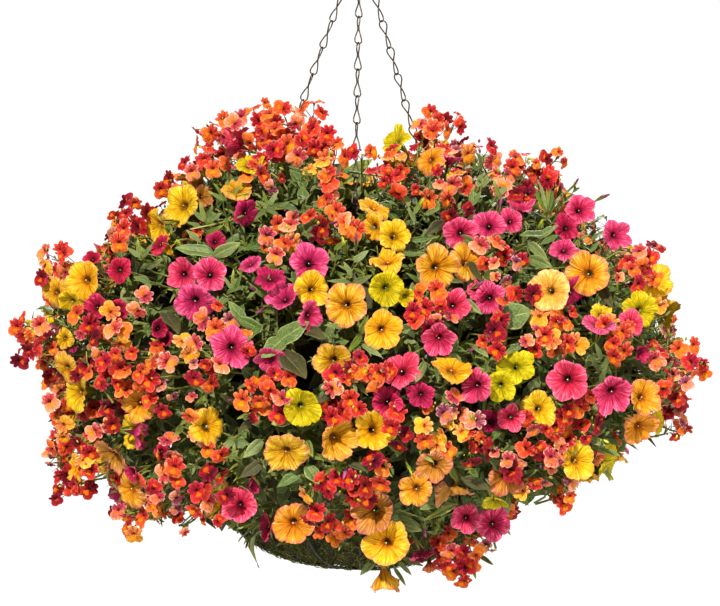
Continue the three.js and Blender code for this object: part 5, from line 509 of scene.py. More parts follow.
# how far the planting reaches, seen from the front: the edge of the flowers and
# leaves that stand there one by one
FLOWER_DISCS = [disc(p[:3], p[6] * 0.5) for p in PETUNIAS if p[8]] + [disc(p[:3], p[6]) for p in NEMESIAS if p[8]]
LEAF_DISCS = [disc(q, l[6] * 0.5) for l in LEAVES for q in (l[:3], l[3:6])]
FRONT_TOP = envelope(FLOWER_DISCS, 1.0)
FRONT_BOTTOM = envelope(FLOWER_DISCS + LEAF_DISCS, -1.0)
FRONT_LEFT = min(d[0] - d[2] for d in FLOWER_DISCS) + 4
FRONT_RIGHT = max(d[0] + d[2] for d in FLOWER_DISCS) - 4


def outside(p, top, margin_top=0.0, margin_bottom=0.0):
    u, w = seen(p)
    hi, lo = table(top, u), table(FRONT_BOTTOM, u)
    return (w > hi - margin_top) | (w < lo + margin_bottom) | (u < FRONT_LEFT) | (u > FRONT_RIGHT)


def draw_in(p, top, margin_top=0.0, margin_bottom=0.0, steps=9):
    """draw points towards the middle until they stand inside the front outline"""
    p = p.copy()
    for _ in range(steps):
        bad = outside(p, top, margin_top, margin_bottom)
        p[bad] = C + (p[bad] - C) * 0.965
    return p


def bowl_r(z):
    u = np.clip((RIM_Z - np.asarray(z, float)) / BOWL_DEPTH, 0, 1)
    return RIM_R * (1 - u ** BOWL_POWER) ** (1 / BOWL_POWER)


def in_bowl(p, grow=0.0):
    h = np.hypot(p[..., 0], p[..., 1])
    z = p[..., 2]
    return (z < SOIL_Z + 4) & (z > RIM_Z - BOWL_DEPTH - grow) & (h < bowl_r(z) + grow)


def chain_clear(p, grow=0.0):
    """False in front of the part of the front chain that is in view"""
    f = (p[..., 2] - GATHER_Z) / (RIM_Z - GATHER_Z)
    cx, cy = -9.0 * f, -6 + (-197.8 + 6) * f
    near = (np.abs(p[..., 0] - cx) < 8 + grow) & (p[..., 1] < cy + 12) & (p[..., 2] > -392)
    return ~near


def hides_chain(p):
    """True for points between the eye and the part of the front chain that shows above the flowers"""
    u, w = seen(p)
    return (np.abs(u + 4.5) < 8.5) & (w > 99) & (w < 190) & (p[..., 1] < -20)


def cell_of(p):
    a = np.degrees(np.arctan2(p[..., 1], p[..., 0]))
    a = (a - WALLS[0]) % 360 + WALLS[0]
    i = np.searchsorted(np.array(WALLS), a, side="right") - 1
    return np.clip(i, 0, 5) * 2 + (p[..., 2] < SPLIT_Z)


CELLS = [f"{n}_{t}" for n in NAMES for t in ("upper", "lower")]

# ---------------------------------------------------------------- mesh bags


class Bag:
    """Collects many copies of small meshes for one piece."""

    def __init__(self):
        self.V, self.F, self.n = [], {3: [], 4: []}, 0
        self.U, self.M = {3: [], 4: []}, {3: [], 4: []}

    def batch(self, V, F, U, off, mat):
        """V (N, nv, 3) mm; F (nf, k); U (nf, k, 2); off (N, 2); mat (N,)"""
        N, nv = V.shape[:2]
        if N == 0:
            return
        k = F.shape[1]
        base = self.n + np.arange(N)[:, None, None] * nv
        self.F[k].append((F[None] + base).reshape(-1, k))
        self.U[k].append((U[None] + off[:, None, None, :]).reshape(-1, k, 2))
        self.M[k].append(np.repeat(np.asarray(mat), len(F)))
        self.V.append(V.reshape(-1, 3))
        self.n += N * nv

    def more(self, V, parts, off, mat):
        """several face lists over the same vertices"""
        N, nv = V.shape[:2]
        if N == 0:
            return
        start = self.n
        for F, U in parts:
            k = F.shape[1]
            base = start + np.arange(N)[:, None, None] * nv
            self.F[k].append((F[None] + base).reshape(-1, k))
            self.U[k].append((U[None] + off[:, None, None, :]).reshape(-1, k, 2))
            self.M[k].append(np.repeat(np.asarray(mat), len(F)))
        self.V.append(V.reshape(-1, 3))
        self.n += N * nv

    def tris(self):
        return sum(len(f) for f in self.F[3]) + 2 * sum(len(f) for f in self.F[4])

    def build(self, name, mats, replaces=(), slot=None, smooth=True):
        V = np.concatenate(self.V) * MM
        quads = np.concatenate(self.F[4]) if self.F[4] else np.zeros((0, 4), int)
        tris = np.concatenate(self.F[3]) if self.F[3] else np.zeros((0, 3), int)
        me = bpy.data.meshes.new(name)
        me.vertices.add(len(V))
        me.vertices.foreach_set("co", V.astype(np.float32).ravel())
        loops = np.concatenate([quads.ravel(), tris.ravel()]).astype(np.int32)
        me.loops.add(len(loops))
        me.loops.foreach_set("vertex_index", loops)
        nq, nt = len(quads), len(tris)
        starts = np.concatenate([np.arange(nq) * 4, nq * 4 + np.arange(nt) * 3]).astype(np.int32)
        me.polygons.add(nq + nt)
        me.polygons.foreach_set("loop_start", starts)
        mi = np.concatenate([np.concatenate(self.M[k]) if self.M[k] else np.zeros(0, int) for k in (4, 3)])
        used = sorted(set(mi.tolist()))
        remap = np.zeros(max(used) + 1, np.int32)
        for i, u in enumerate(used):
            remap[u] = i
            me.materials.append(mats[u])
        me.polygons.foreach_set("material_index", remap[mi].astype(np.int32))
        me.polygons.foreach_set("use_smooth", np.full(nq + nt, smooth, bool))
        uv = me.uv_layers.new(name="OFBake")
        U = np.concatenate([np.concatenate(self.U[k]).reshape(-1, 2) if self.U[k] else np.zeros((0, 2)) for k in (4, 3)])
        uv.data.foreach_set("uv", U.astype(np.float32).ravel())
        me.update()
        me.validate()
        ob = bpy.data.objects.new(name, me)
        bpy.context.scene.collection.objects.link(ob)
        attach(ob, "root")
        if replaces:
            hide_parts(*replaces)
        return ob


def basis(n, spin, ref=UP):
    """(N,3,3) matrices whose columns are x, y, z: z along n, y as near ref as spin allows"""
    n = unit(n)
    r = np.broadcast_to(ref, n.shape).copy()
    bad = np.abs((r * n).sum(-1)) > 0.96
    r[bad] = np.array([0.0, -1.0, 0.0])
    y = unit(r - n * (r * n).sum(-1, keepdims=True))
    x = np.cross(y, n)
    c, s = np.cos(spin)[:, None], np.sin(spin)[:, None]
    X, Y = x * c + y * s, -x * s + y * c
    return np.stack([X, Y, n], axis=-1)


def place(T, R, p, s):
    """T (nv,3) template, R (N,3,3), p (N,3), s (N,) or (N,3)"""
    s = np.asarray(s, float)
    S = s[:, None, None] if s.ndim == 1 else s[:, None, :]
    return np.einsum("nij,nvj->nvi", R, T[None] * S) + p[:, None, :]


def tubes(P, rad, sides):
    """tubes along N polylines: P (N,K,3), rad (K,) or (N,K). Returns V, F, U; the ends are left open"""
    N, K = P.shape[:2]
    rad = np.broadcast_to(np.asarray(rad, float), (N, K))
    T = np.empty_like(P)
    T[:, 1:-1] = P[:, 2:] - P[:, :-2]
    T[:, 0] = P[:, 1] - P[:, 0]
    T[:, -1] = P[:, -1] - P[:, -2]
    T = unit(T)
    ref = np.where((np.abs(T[:, :1, 2:3]) > 0.8), np.array([1.0, 0, 0]), np.array([0, 0, 1.0]))
    A = unit(np.cross(T, np.broadcast_to(ref, T.shape)))
    for k in range(1, K):    # keep the frame from turning over
        a = A[:, k - 1] - T[:, k] * (A[:, k - 1] * T[:, k]).sum(-1, keepdims=True)
        A[:, k] = unit(a)
    B = np.cross(T, A)
    th = np.arange(sides) / sides * 2 * math.pi
    ring = A[:, :, None] * np.cos(th)[:, None] + B[:, :, None] * np.sin(th)[:, None]
    V = P[:, :, None] + ring * rad[:, :, None, None]
    V = V.reshape(N, K * sides, 3)
    F, U = [], []
    for k in range(K - 1):
        for j in range(sides):
            j2 = (j + 1) % sides
            F.append([k * sides + j, k * sides + j2, (k + 1) * sides + j2, (k + 1) * sides + j])
            u0, u1, v0, v1 = k / (K - 1), (k + 1) / (K - 1), j / sides, (j + 1) / sides
            U.append([[u0, v0], [u0, v1], [u1, v1], [u1, v0]])
    return V, np.array(F), np.array(U)


def closed_tube(P, rad, sides):
    """one tube along a closed polyline (K,3)"""
    K = len(P)
    T = unit(np.roll(P, -1, 0) - np.roll(P, 1, 0))
    A = np.zeros_like(P)
    a = np.cross(T[0], [0, 0, 1.0]) if abs(T[0, 2]) < 0.9 else np.cross(T[0], [1.0, 0, 0])
    for k in range(K):
        a = a - T[k] * (a @ T[k])
        a = a / np.linalg.norm(a)
        A[k] = a
    # spread the turn that is left over
    b = A[-1] - T[0] * (A[-1] @ T[0])
    b /= np.linalg.norm(b)
    ang = math.atan2(np.cross(b, A[0]) @ T[0], b @ A[0])
    B = np.cross(T, A)
    w = (np.arange(K) / K * ang)[:, None]
    A2, B2 = A * np.cos(w) + B * np.sin(w), -A * np.sin(w) + B * np.cos(w)
    th = np.arange(sides) / sides * 2 * math.pi
    V = P[:, None] + (A2[:, None] * np.cos(th)[:, None] + B2[:, None] * np.sin(th)[:, None]) * rad
    F, U = [], []
    for k in range(K):
        k2 = (k + 1) % K
        for j in range(sides):
            j2 = (j + 1) % sides
            F.append([k * sides + j, k * sides + j2, k2 * sides + j2, k2 * sides + j])
            U.append([[k / K, j / sides], [k / K, (j + 1) / sides], [(k + 1) / K, (j + 1) / sides], [(k + 1) / K, j / sides]])
    return V.reshape(-1, 3), np.array(F), np.array(U)


# ---------------------------------------------------------------- materials
class Nodes:
    """short hand for building a node tree"""

    def __init__(self, name):
        self.mat = bpy.data.materials.new(name)
        self.mat.use_nodes = True
        self.t = self.mat.node_tree
        self.t.nodes.clear()

    def new(self, kind, **props):
        n = self.t.nodes.new(kind)
        for k, v in props.items():
            setattr(n, k, v)
        return n

    def link(self, a, b):
        self.t.links.new(a, b)

    def set(self, socket, v):
        if hasattr(v, "is_linked") or isinstance(v, bpy.types.NodeSocket):
            self.t.links.new(v, socket)
        else:
            socket.default_value = v

    def math(self, op, a, b=0.0, c=None, clamp=False):
        n = self.new("ShaderNodeMath", operation=op, use_clamp=clamp)
        self.set(n.inputs[0], a)
        self.set(n.inputs[1], b)
        if c is not None:
            self.set(n.inputs[2], c)
        return n.outputs[0]

    def smooth(self, v, lo, hi, a=0.0, b=1.0):
        n = self.new("ShaderNodeMapRange", interpolation_type="SMOOTHSTEP")
        self.set(n.inputs["Value"], v)
        n.inputs["From Min"].default_value = lo
        n.inputs["From Max"].default_value = hi
        n.inputs["To Min"].default_value = a
        n.inputs["To Max"].default_value = b
        return n.outputs[0]

    def ramp(self, v, stops, mode="EASE"):
        n = self.new("ShaderNodeValToRGB")
        n.color_ramp.interpolation = mode
        e = n.color_ramp.elements
        while len(e) > 1:
            e.remove(e[-1])
        e[0].position = stops[0][0]
        e[0].color = lin(stops[0][1])
        for p, c in stops[1:]:
            q = e.new(p)
            q.color = lin(c)
        self.set(n.inputs[0], v)
        return n.outputs[0]

    def mix(self, f, a, b, mode="MIX"):
        n = self.new("ShaderNodeMix", data_type="RGBA", blend_type=mode)
        self.set(n.inputs[0], f)
        self.set(n.inputs[6], a if not isinstance(a, tuple) else lin(a))
        self.set(n.inputs[7], b if not isinstance(b, tuple) else lin(b))
        return n.outputs[2]

    def noise(self, vec, scale, detail=3.0, rough=0.55, dims="3D", w=None):
        n = self.new("ShaderNodeTexNoise", noise_dimensions=dims)
        self.set(n.inputs["Vector"], vec)
        n.inputs["Scale"].default_value = scale
        n.inputs["Detail"].default_value = detail
        n.inputs["Roughness"].default_value = rough
        return n.outputs["Fac"]

    def combine(self, x, y, z=0.0):
        n = self.new("ShaderNodeCombineXYZ")
        self.set(n.inputs[0], x)
        self.set(n.inputs[1], y)
        self.set(n.inputs[2], z)
        return n.outputs[0]

    def tiles(self, cols, rows):
        """local u, v of a tile and the row's number, from the piece's own map"""
        uv = self.new("ShaderNodeUVMap", uv_map="OFBake")
        s = self.new("ShaderNodeSeparateXYZ")
        self.link(uv.outputs[0], s.inputs[0])
        U, V = self.math("MULTIPLY", s.outputs[0], float(cols)), self.math("MULTIPLY", s.outputs[1], float(rows))
        u = self.math("DIVIDE", self.math("SUBTRACT", self.math("FRACT", U), PAD), 1 - 2 * PAD)
        v = self.math("DIVIDE", self.math("SUBTRACT", self.math("FRACT", V), PAD), 1 - 2 * PAD)
        return u, v, self.math("FLOOR", V)

    def hsv(self, col, hue, sat, val):
        n = self.new("ShaderNodeHueSaturation")
        self.set(n.inputs["Hue"], hue)
        self.set(n.inputs["Saturation"], sat)
        self.set(n.inputs["Value"], val)
        self.set(n.inputs["Color"], col)
        return n.outputs[0]

    def out(self, col, rough=0.55, metal=0.0, bump=None, bump_d=0.0003, thin=0.0, thin_col=None, sheen=0.0, coat=0.0, spec=0.5, strength=0.5):
        b = self.new("ShaderNodeBsdfPrincipled")
        self.set(b.inputs["Base Color"], col if not isinstance(col, tuple) else lin(col))
        self.set(b.inputs["Roughness"], rough)
        self.set(b.inputs["Metallic"], metal)
        b.inputs["Specular IOR Level"].default_value = spec
        b.inputs["Sheen Weight"].default_value = sheen
        b.inputs["Sheen Roughness"].default_value = 0.4
        b.inputs["Coat Weight"].default_value = coat
        o = self.new("ShaderNodeOutputMaterial")
        if bump is not None:
            bn = self.new("ShaderNodeBump")
            bn.inputs["Strength"].default_value = strength
            bn.inputs["Distance"].default_value = bump_d
            self.set(bn.inputs["Height"], bump)
            self.link(bn.outputs[0], b.inputs["Normal"])
        if thin > 0:
            t = self.new("ShaderNodeBsdfTranslucent")
            self.set(t.inputs["Color"], thin_col if thin_col is not None else col)
            m = self.new("ShaderNodeMixShader")
            m.inputs[0].default_value = thin
            self.link(b.outputs[0], m.inputs[1])
            self.link(t.outputs[0], m.inputs[2])
            self.link(m.outputs[0], o.inputs["Surface"])
        else:
            self.link(b.outputs[0], o.inputs["Surface"])
        return self.mat


def lin(c):
    """sRGB 0-255 to linear"""
    out = []
    for v in c[:3]:
        v = v / 255.0
        out.append(v / 12.92 if v <= 0.04045 else ((v + 0.055) / 1.055) ** 2.4)
    return (*out, 1.0)


PAD = 0.03
PCOLS, PROWS = 8, 5          # petunia tiles: kinds across, tints up
NCOLS, NROWS = 8, 3          # nemesia tiles
LCOLS, LROWS = 4, 4          # leaf tiles


def tile_off(col, row, cols, rows):
    return np.stack([(np.asarray(col) + PAD) / cols, (np.asarray(row) + PAD) / rows], -1)


def tile_scale(U, cols, rows):
    return U * np.array([(1 - 2 * PAD) / cols, (1 - 2 * PAD) / rows])


# radial colours of a petunia, from the foot of the tube (0) to the rim (1), then veins
PETUNIA_LOOK = {
    #           tube back       deep throat     throat edge     inner limb      limb            rim             vein            strength  painted highlight
    "K": [(120, 40, 70), (104, 8, 38), (150, 14, 56), (194, 32, 80), (220, 58, 102), (232, 92, 132), (132, 8, 44), 0.80, (250, 158, 184)],
    "M": [(105, 30, 52), (84, 6, 32), (122, 8, 42), (160, 16, 56), (186, 24, 72), (208, 52, 96), (92, 4, 30), 0.80, (232, 96, 132)],
    "Y": [(200, 170, 50), (156, 98, 6), (196, 128, 2), (226, 170, 0), (234, 188, 0), (240, 178, 72), (150, 84, 2), 0.72, (252, 222, 120)],
    "L": [(176, 180, 44), (142, 126, 4), (172, 150, 0), (200, 172, 0), (208, 180, 0), (216, 188, 16), (132, 104, 2), 0.68, (240, 224, 84)],
    "A": [(196, 150, 70), (150, 86, 8), (196, 118, 4), (222, 152, 8), (228, 168, 24), (234, 146, 92), (144, 68, 6), 0.80, (250, 206, 136)],
    "B": [(160, 110, 56), (112, 56, 10), (158, 86, 14), (200, 124, 26), (206, 132, 50), (216, 118, 100), (106, 40, 16), 0.88, (238, 172, 132)],
    "P": [(206, 160, 80), (180, 112, 34), (232, 150, 44), (246, 172, 66), (250, 184, 92), (250, 182, 126), (204, 108, 40), 0.72, (255, 222, 164)],
}
PKINDS = list(PETUNIA_LOOK)


def petal_material(kind):
    tube, deep, throat, inner, limb, rim, vein, strength, painted_highlight = PETUNIA_LOOK[kind]
    m = Nodes(f"petunia_{ {'K':'pink','M':'magenta','Y':'golden','L':'lime_yellow','A':'apricot','B':'bronze','P':'peach'}[kind] }")
    u, v, row = m.tiles(PCOLS, PROWS)

    def along(fu, fv, shift, detail=2.0, rough=0.6):
        return m.noise(m.combine(m.math("MULTIPLY", u, fu), m.math("MULTIPLY", v, fv), m.math("ADD", m.math("MULTIPLY", row, 3.7), shift)), 1.0, detail, rough)

    # streaks run out from the throat to the rim, broad and fine, over blotches
    broad, fine_s, blot = along(2.0, 38.0, 0.0), along(3.0, 95.0, 11.0), along(6.0, 17.0, 23.0, 4.0, 0.65)
    uu = m.math("ADD", u, m.math("ADD", m.math("MULTIPLY", m.math("SUBTRACT", broad, 0.5), 0.20), m.math("MULTIPLY", m.math("SUBTRACT", blot, 0.5), 0.10)))
    col = m.ramp(uu, [(0.0, tube), (0.33, tube), (0.40, deep), (0.47, throat), (0.57, inner), (0.80, limb), (0.99, rim)])
    # veins: fine ones; the dark lines along each sunken fold and down each lobe's sunken middle are painted shade
    vv = m.math("MULTIPLY", m.math("ADD", v, m.math("MULTIPLY", m.math("SUBTRACT", along(5.0, 20.0, 5.0), 0.5), 0.016)), 5.0)
    fine = m.math("POWER", m.math("ABSOLUTE", m.math("COSINE", m.math("MULTIPLY", vv, math.pi * 5.0))), 6.0)
    fold = m.math("POWER", m.math("ABSOLUTE", m.math("COSINE", m.math("MULTIPLY", vv, math.pi))), 34.0)
    mid = m.math("POWER", m.math("ABSOLUTE", m.math("SINE", m.math("MULTIPLY", vv, math.pi))), 70.0)
    away = m.smooth(u, 0.44, 0.92, 1.0, 0.10)
    far = m.smooth(u, 0.5, 1.0, 1.0, 0.60)
    patch = m.smooth(along(3.0, 9.0, 31.0), 0.36, 0.58, 0.25, 1.0)
    # fine veins near the throat, plus the painted crease shade of the fold and mid-lobe lines
    veins_and_crease_shade = m.math("ADD", m.math("MULTIPLY", m.math("MULTIPLY", fine, away), 0.8), m.math("MULTIPLY", m.math("ADD", m.math("MULTIPLY", fold, 0.9), m.math("MULTIPLY", mid, 0.6)), far))
    veins_and_crease_shade = m.math("MULTIPLY", veins_and_crease_shade, m.math("MULTIPLY", m.smooth(u, 0.40, 0.50), patch), clamp=True)
    dark = m.math("MULTIPLY", m.smooth(broad, 0.47, 0.33), m.smooth(u, 0.42, 0.60, 0.75, 0.34))
    # pale streaks on the raised fine ridges towards the rim: painted highlight
    light = m.math("MULTIPLY", m.smooth(fine_s, 0.50, 0.68), m.smooth(u, 0.50, 0.86, 0.06, 0.62))
    col = m.mix(light, col, painted_highlight)
    # the vein colour goes over the veins and over the painted crease shade
    col = m.mix(m.math("MULTIPLY", m.math("MAXIMUM", veins_and_crease_shade, dark), strength, clamp=True), col, vein)
    t = m.math("SUBTRACT", row, 2.0)
    hue = m.math("ADD", 0.5, m.math("MULTIPLY", t, {"K": 0.004, "M": 0.003}.get(kind, -0.007)))
    val = m.math("ADD", m.math("MULTIPLY", t, 0.035), m.math("MULTIPLY", m.smooth(blot, 0.34, 0.66, 0.80, 1.14), m.smooth(fine_s, 0.34, 0.66, 0.80, 1.13)))
    col = m.hsv(col, hue, 1.0, val)
    bump = m.math("SUBTRACT", m.math("ADD", m.math("MULTIPLY", broad, 0.8), m.math("ADD", m.math("MULTIPLY", fine_s, 0.5), m.math("MULTIPLY", blot, 0.5))), m.math("MULTIPLY", veins_and_crease_shade, 0.8))
    return m.out(col, rough=0.56, bump=bump, bump_d=0.0014, thin=0.15, sheen=0.03, spec=0.14, strength=0.85)


NEM_LOOK = {
    #           upper lip       upper rim       lower lip       lower rim       palate          throat (dark mouth, deepened as painted shade)
    "R": [(188, 24, 38), (230, 98, 92), (216, 50, 42), (246, 132, 96), (248, 138, 4), (72, 4, 14)],
    "C": [(122, 6, 28), (166, 34, 50), (160, 22, 32), (202, 72, 62), (240, 118, 6), (50, 2, 12)],
    "O": [(214, 66, 46), (242, 130, 94), (236, 108, 40), (250, 168, 104), (252, 150, 8), (106, 20, 14)],
    "S": [(208, 66, 76), (248, 176, 158), (244, 132, 92), (255, 208, 170), (252, 148, 18), (104, 22, 38)],
    "D": [(160, 68, 88), (230, 172, 170), (222, 132, 108), (250, 210, 182), (240, 144, 26), (80, 26, 46)],
    "Y": [(242, 146, 72), (250, 196, 126), (252, 172, 52), (255, 212, 108), (254, 164, 6), (140, 50, 24)],
}
NKINDS = list(NEM_LOOK)


def floret_material(kind):
    up, uprim, lo, lorim, pal, dark_throat_and_shade = NEM_LOOK[kind]
    m = Nodes(f"nemesia_{ {'R':'red','C':'crimson','O':'orange','S':'salmon','D':'faded','Y':'apricot'}[kind] }")
    u, v, row = m.tiles(NCOLS, NROWS)
    wob = m.noise(m.combine(m.math("MULTIPLY", u, 4.0), m.math("MULTIPLY", v, 9.0), row), 2.0, 3.0)
    low = m.math("COSINE", m.math("MULTIPLY", v, 2 * math.pi))     # 1 in the middle of the lower lip
    uw = m.math("ADD", u, m.math("MULTIPLY", m.math("SUBTRACT", wob, 0.5), 0.18))
    half = tuple((a + b) / 2 for a, b in zip(lo, lorim))
    # the throat colour in the hollow middle is the mouth's dark colour, deepened as painted shade
    upper = m.ramp(uw, [(0.0, dark_throat_and_shade), (0.15, dark_throat_and_shade), (0.36, up), (0.84, up), (1.0, uprim)])
    lower = m.ramp(uw, [(0.0, dark_throat_and_shade), (0.12, lo), (0.76, lo), (0.98, half), (1.04, lorim)])
    col = m.mix(m.smooth(low, -0.20, 0.12), upper, lower)
    palm = m.math("MULTIPLY", m.smooth(low, 0.66, 0.90), m.smooth(uw, 0.66, 0.42))
    col = m.mix(palm, col, pal)
    rays = m.math("POWER", m.math("ABSOLUTE", m.math("COSINE", m.math("MULTIPLY", v, math.pi * 26.0))), 8.0)
    rays = m.math("MULTIPLY", rays, m.math("MULTIPLY", m.smooth(u, 0.92, 0.2), m.smooth(low, 0.1, -0.2)))
    # dark lines in the sunken notches between the upper lobes: painted shade
    notch_shade = m.math("POWER", m.math("ABSOLUTE", m.math("COSINE", m.math("MULTIPLY", m.math("SUBTRACT", v, 0.5), math.pi / 0.1167))), 14.0)
    notch_shade = m.math("MULTIPLY", notch_shade, m.smooth(low, 0.0, -0.3))
    col = m.mix(m.math("MULTIPLY", m.math("MAXIMUM", rays, notch_shade), 0.75, clamp=True), col, dark_throat_and_shade)
    t = m.math("SUBTRACT", row, 1.0)
    grain = m.noise(m.combine(m.math("MULTIPLY", u, 9.0), m.math("MULTIPLY", v, 26.0), row), 2.0, 3.0, 0.6)
    streak = m.noise(m.combine(m.math("MULTIPLY", u, 2.0), m.math("MULTIPLY", v, 60.0), m.math("ADD", row, 4.0)), 1.0, 2.0, 0.6)
    col = m.mix(m.math("MULTIPLY", m.smooth(streak, 0.47, 0.34), m.smooth(u, 0.25, 0.95, 0.80, 0.34)), col, dark_throat_and_shade)
    # pale streaks towards the rim on the raised streak ridges: painted highlight
    col = m.mix(m.math("MULTIPLY", m.smooth(streak, 0.51, 0.64), m.smooth(u, 0.40, 0.95, 0.0, 0.62)), col, lorim)
    val = m.math("ADD", m.math("MULTIPLY", t, 0.12), m.math("MULTIPLY", m.smooth(wob, 0.34, 0.66, 0.82, 1.15), m.smooth(grain, 0.34, 0.66, 0.78, 1.16)))
    col = m.hsv(col, m.math("ADD", 0.5, m.math("MULTIPLY", t, 0.006)), 1.0, val)
    return m.out(col, rough=0.55, bump=m.math("ADD", wob, m.math("ADD", m.math("MULTIPLY", grain, 0.5), m.math("MULTIPLY", streak, 0.6))), bump_d=0.0011, thin=0.14, sheen=0.03, spec=0.14, strength=0.85)


def green_material(name, base, tip, vein, rough=0.5, thin=0.12, cols=LCOLS, rows=LROWS, leaf=True):
    m = Nodes(name)
    u, v, row = m.tiles(cols, rows)
    n = m.noise(m.combine(m.math("MULTIPLY", u, 5.0), m.math("MULTIPLY", v, 5.0), row), 2.2, 4.0, 0.6)
    col = m.ramp(u, [(0.0, base), (0.55, base), (1.0, tip)])
    bump = n
    if leaf:
        side = m.math("ABSOLUTE", m.math("SUBTRACT", v, 0.5))       # 0 on the midrib, 0.5 at the edge
        rib = m.smooth(side, 0.045, 0.012)
        slant = m.math("SUBTRACT", m.math("MULTIPLY", u, 8.0), m.math("MULTIPLY", side, 5.5))
        veins = m.math("POWER", m.math("ABSOLUTE", m.math("COSINE", m.math("MULTIPLY", slant, math.pi))), 16.0)
        # paler margin in the vein colour: painted highlight along the leaf edge
        edge = m.smooth(side, 0.40, 0.49)
        k = m.math("ADD", m.math("ADD", m.math("MULTIPLY", rib, 0.6), m.math("MULTIPLY", veins, 0.20)), m.math("MULTIPLY", edge, 0.6), clamp=True)
        col = m.mix(k, col, vein)
        bump = m.math("SUBTRACT", m.math("MULTIPLY", n, 0.5), m.math("MULTIPLY", k, 0.9))
    t = m.math("SUBTRACT", row, (rows - 1) / 2.0)
    fleck = m.noise(m.combine(m.math("MULTIPLY", u, 26.0), m.math("MULTIPLY", v, 14.0), m.math("ADD", row, 9.0)), 1.0, 3.0, 0.6)
    val = m.math("ADD", m.math("MULTIPLY", t, 0.15), m.math("MULTIPLY", m.smooth(n, 0.34, 0.66, 0.76, 1.24), m.smooth(fleck, 0.34, 0.66, 0.78, 1.20)))
    col = m.hsv(col, m.math("ADD", 0.5, m.math("MULTIPLY", t, -0.012)), m.math("SUBTRACT", 1.0, m.math("MULTIPLY", t, 0.05)), val)
    return m.out(col, rough=rough, bump=bump, bump_d=0.0006, thin=thin, sheen=0.1, spec=0.35, strength=0.7)


def wire_material(name, dark, light, rough=0.42, metal=0.75, scale=260.0):
    m = Nodes(name)
    tc = m.new("ShaderNodeTexCoord")
    n = m.noise(tc.outputs["Object"], scale, 5.0, 0.65)
    w = m.noise(tc.outputs["Object"], scale * 5, 3.0, 0.6)
    col = m.mix(m.smooth(n, 0.42, 0.68), dark, light)
    col = m.mix(m.smooth(w, 0.60, 0.75, 0.0, 0.35), col, (120, 84, 58))
    r = m.math("ADD", rough, m.math("MULTIPLY", n, 0.3))
    return m.out(col, rough=r, metal=metal, bump=w, bump_d=0.0002, strength=0.4)


def moss_material(name, dark, light, dry, tip):
    m = Nodes(name)
    tc = m.new("ShaderNodeTexCoord")
    a = m.noise(tc.outputs["Object"], 18.0, 4.0, 0.6)
    b = m.noise(tc.outputs["Object"], 150.0, 6.0, 0.7)
    c = m.noise(tc.outputs["Object"], 600.0, 3.0, 0.6)
    e = m.noise(tc.outputs["Object"], 340.0, 2.0, 0.5)
    col = m.mix(m.smooth(a, 0.35, 0.65), dark, light)
    col = m.mix(m.smooth(b, 0.5, 0.72, 0.0, 0.7), col, dry)
    col = m.mix(m.smooth(e, 0.54, 0.66, 0.0, 0.7), col, tip)
    # near-black where the finest noise is low, the same spots the bump sinks: painted shade in the hollows
    col = m.mix(m.smooth(c, 0.38, 0.60, 0.85, 0.0), col, (18, 20, 8))
    return m.out(col, rough=0.92, bump=m.math("ADD", m.math("MULTIPLY", b, 0.7), m.math("ADD", m.math("MULTIPLY", e, 0.8), m.math("MULTIPLY", c, 0.5))), bump_d=0.006, spec=0.2, strength=1.0)


PETAL = [petal_material(k) for k in PKINDS]
STEM = green_material("stem_green", (132, 136, 52), (178, 178, 84), (154, 164, 86), rough=0.55, thin=0.1, leaf=False)
STIGMA = green_material("stigma", (190, 190, 110), (220, 220, 160), (220, 220, 160), rough=0.5, thin=0.0, leaf=False)
BUD_P = green_material("bud_purple", (96, 58, 70), (158, 78, 112), (84, 30, 60), rough=0.55, thin=0.12, leaf=False)
BUD_G = green_material("bud_lime", (150, 168, 52), (214, 214, 70), (120, 140, 40), rough=0.55, thin=0.15, leaf=False)
FLORET = [floret_material(k) for k in NKINDS]
# the third colour paints the veins, and the margin as painted highlight
LEAF = green_material("petunia_leaf", (92, 111, 53), (117, 133, 66), (163, 174, 107), rough=0.46)
LEAF2 = green_material("nemesia_leaf", (98, 112, 34), (146, 156, 54), (174, 180, 86), rough=0.46)
# dark colour for the leaves deep inside the ball: painted shade
INNER_LEAF_SHADE = green_material("inner_leaf_painted_shade", (58, 57, 20), (74, 73, 28), (100, 98, 44), rough=0.6, thin=0.04)
DRY = green_material("dried_petal", (168, 112, 40), (196, 140, 66), (120, 76, 30), rough=0.7, thin=0.12)
TWIG = green_material("twig", (94, 92, 58), (118, 122, 70), (94, 92, 58), rough=0.7, thin=0.0, leaf=False)
PMATS = PETAL + [STEM, STIGMA, BUD_P, BUD_G]
iSTEM, iSTIG, iBUDP, iBUDG = 7, 8, 9, 10
NMATS = FLORET + [STEM, BUD_P, BUD_G]
LMATS = [LEAF, LEAF2, INNER_LEAF_SHADE, TWIG, STEM, DRY]


# ---------------------------------------------------------------- petunia flower
# rings from the foot of the tube to the rim: how far along, radius, height, points round it
RINGS = [(0.00, 1.5, -27.0, 15), (0.16, 2.1, -20.5, 15), (0.30, 2.8, -14.5, 15), (0.41, 3.6, -10.8, 30), (0.49, 4.8, -8.2, 30), (0.57, 7.5, -6.1, 30),
         (0.66, 11.7, -4.2, 60), (0.76, 15.8, -2.5, 60), (0.86, 19.7, -0.9, 60), (0.94, 22.5, -0.4, 60), (1.00, 24.0, -0.6, 60)]
_N = np.array([q[3] for q in RINGS])
P_S, P_R, P_Z = (np.repeat([q[k] for q in RINGS], _N) for k in range(3))
P_TH = np.concatenate([np.arange(k) / k * 2 * math.pi for k in _N])
P_LOBE = np.floor(P_TH / (2 * math.pi) * 5 + 1e-6).astype(int)
P_F = P_TH / (2 * math.pi) * 5 - P_LOBE              # 0 on a fold, 0.5 in the middle of a lobe


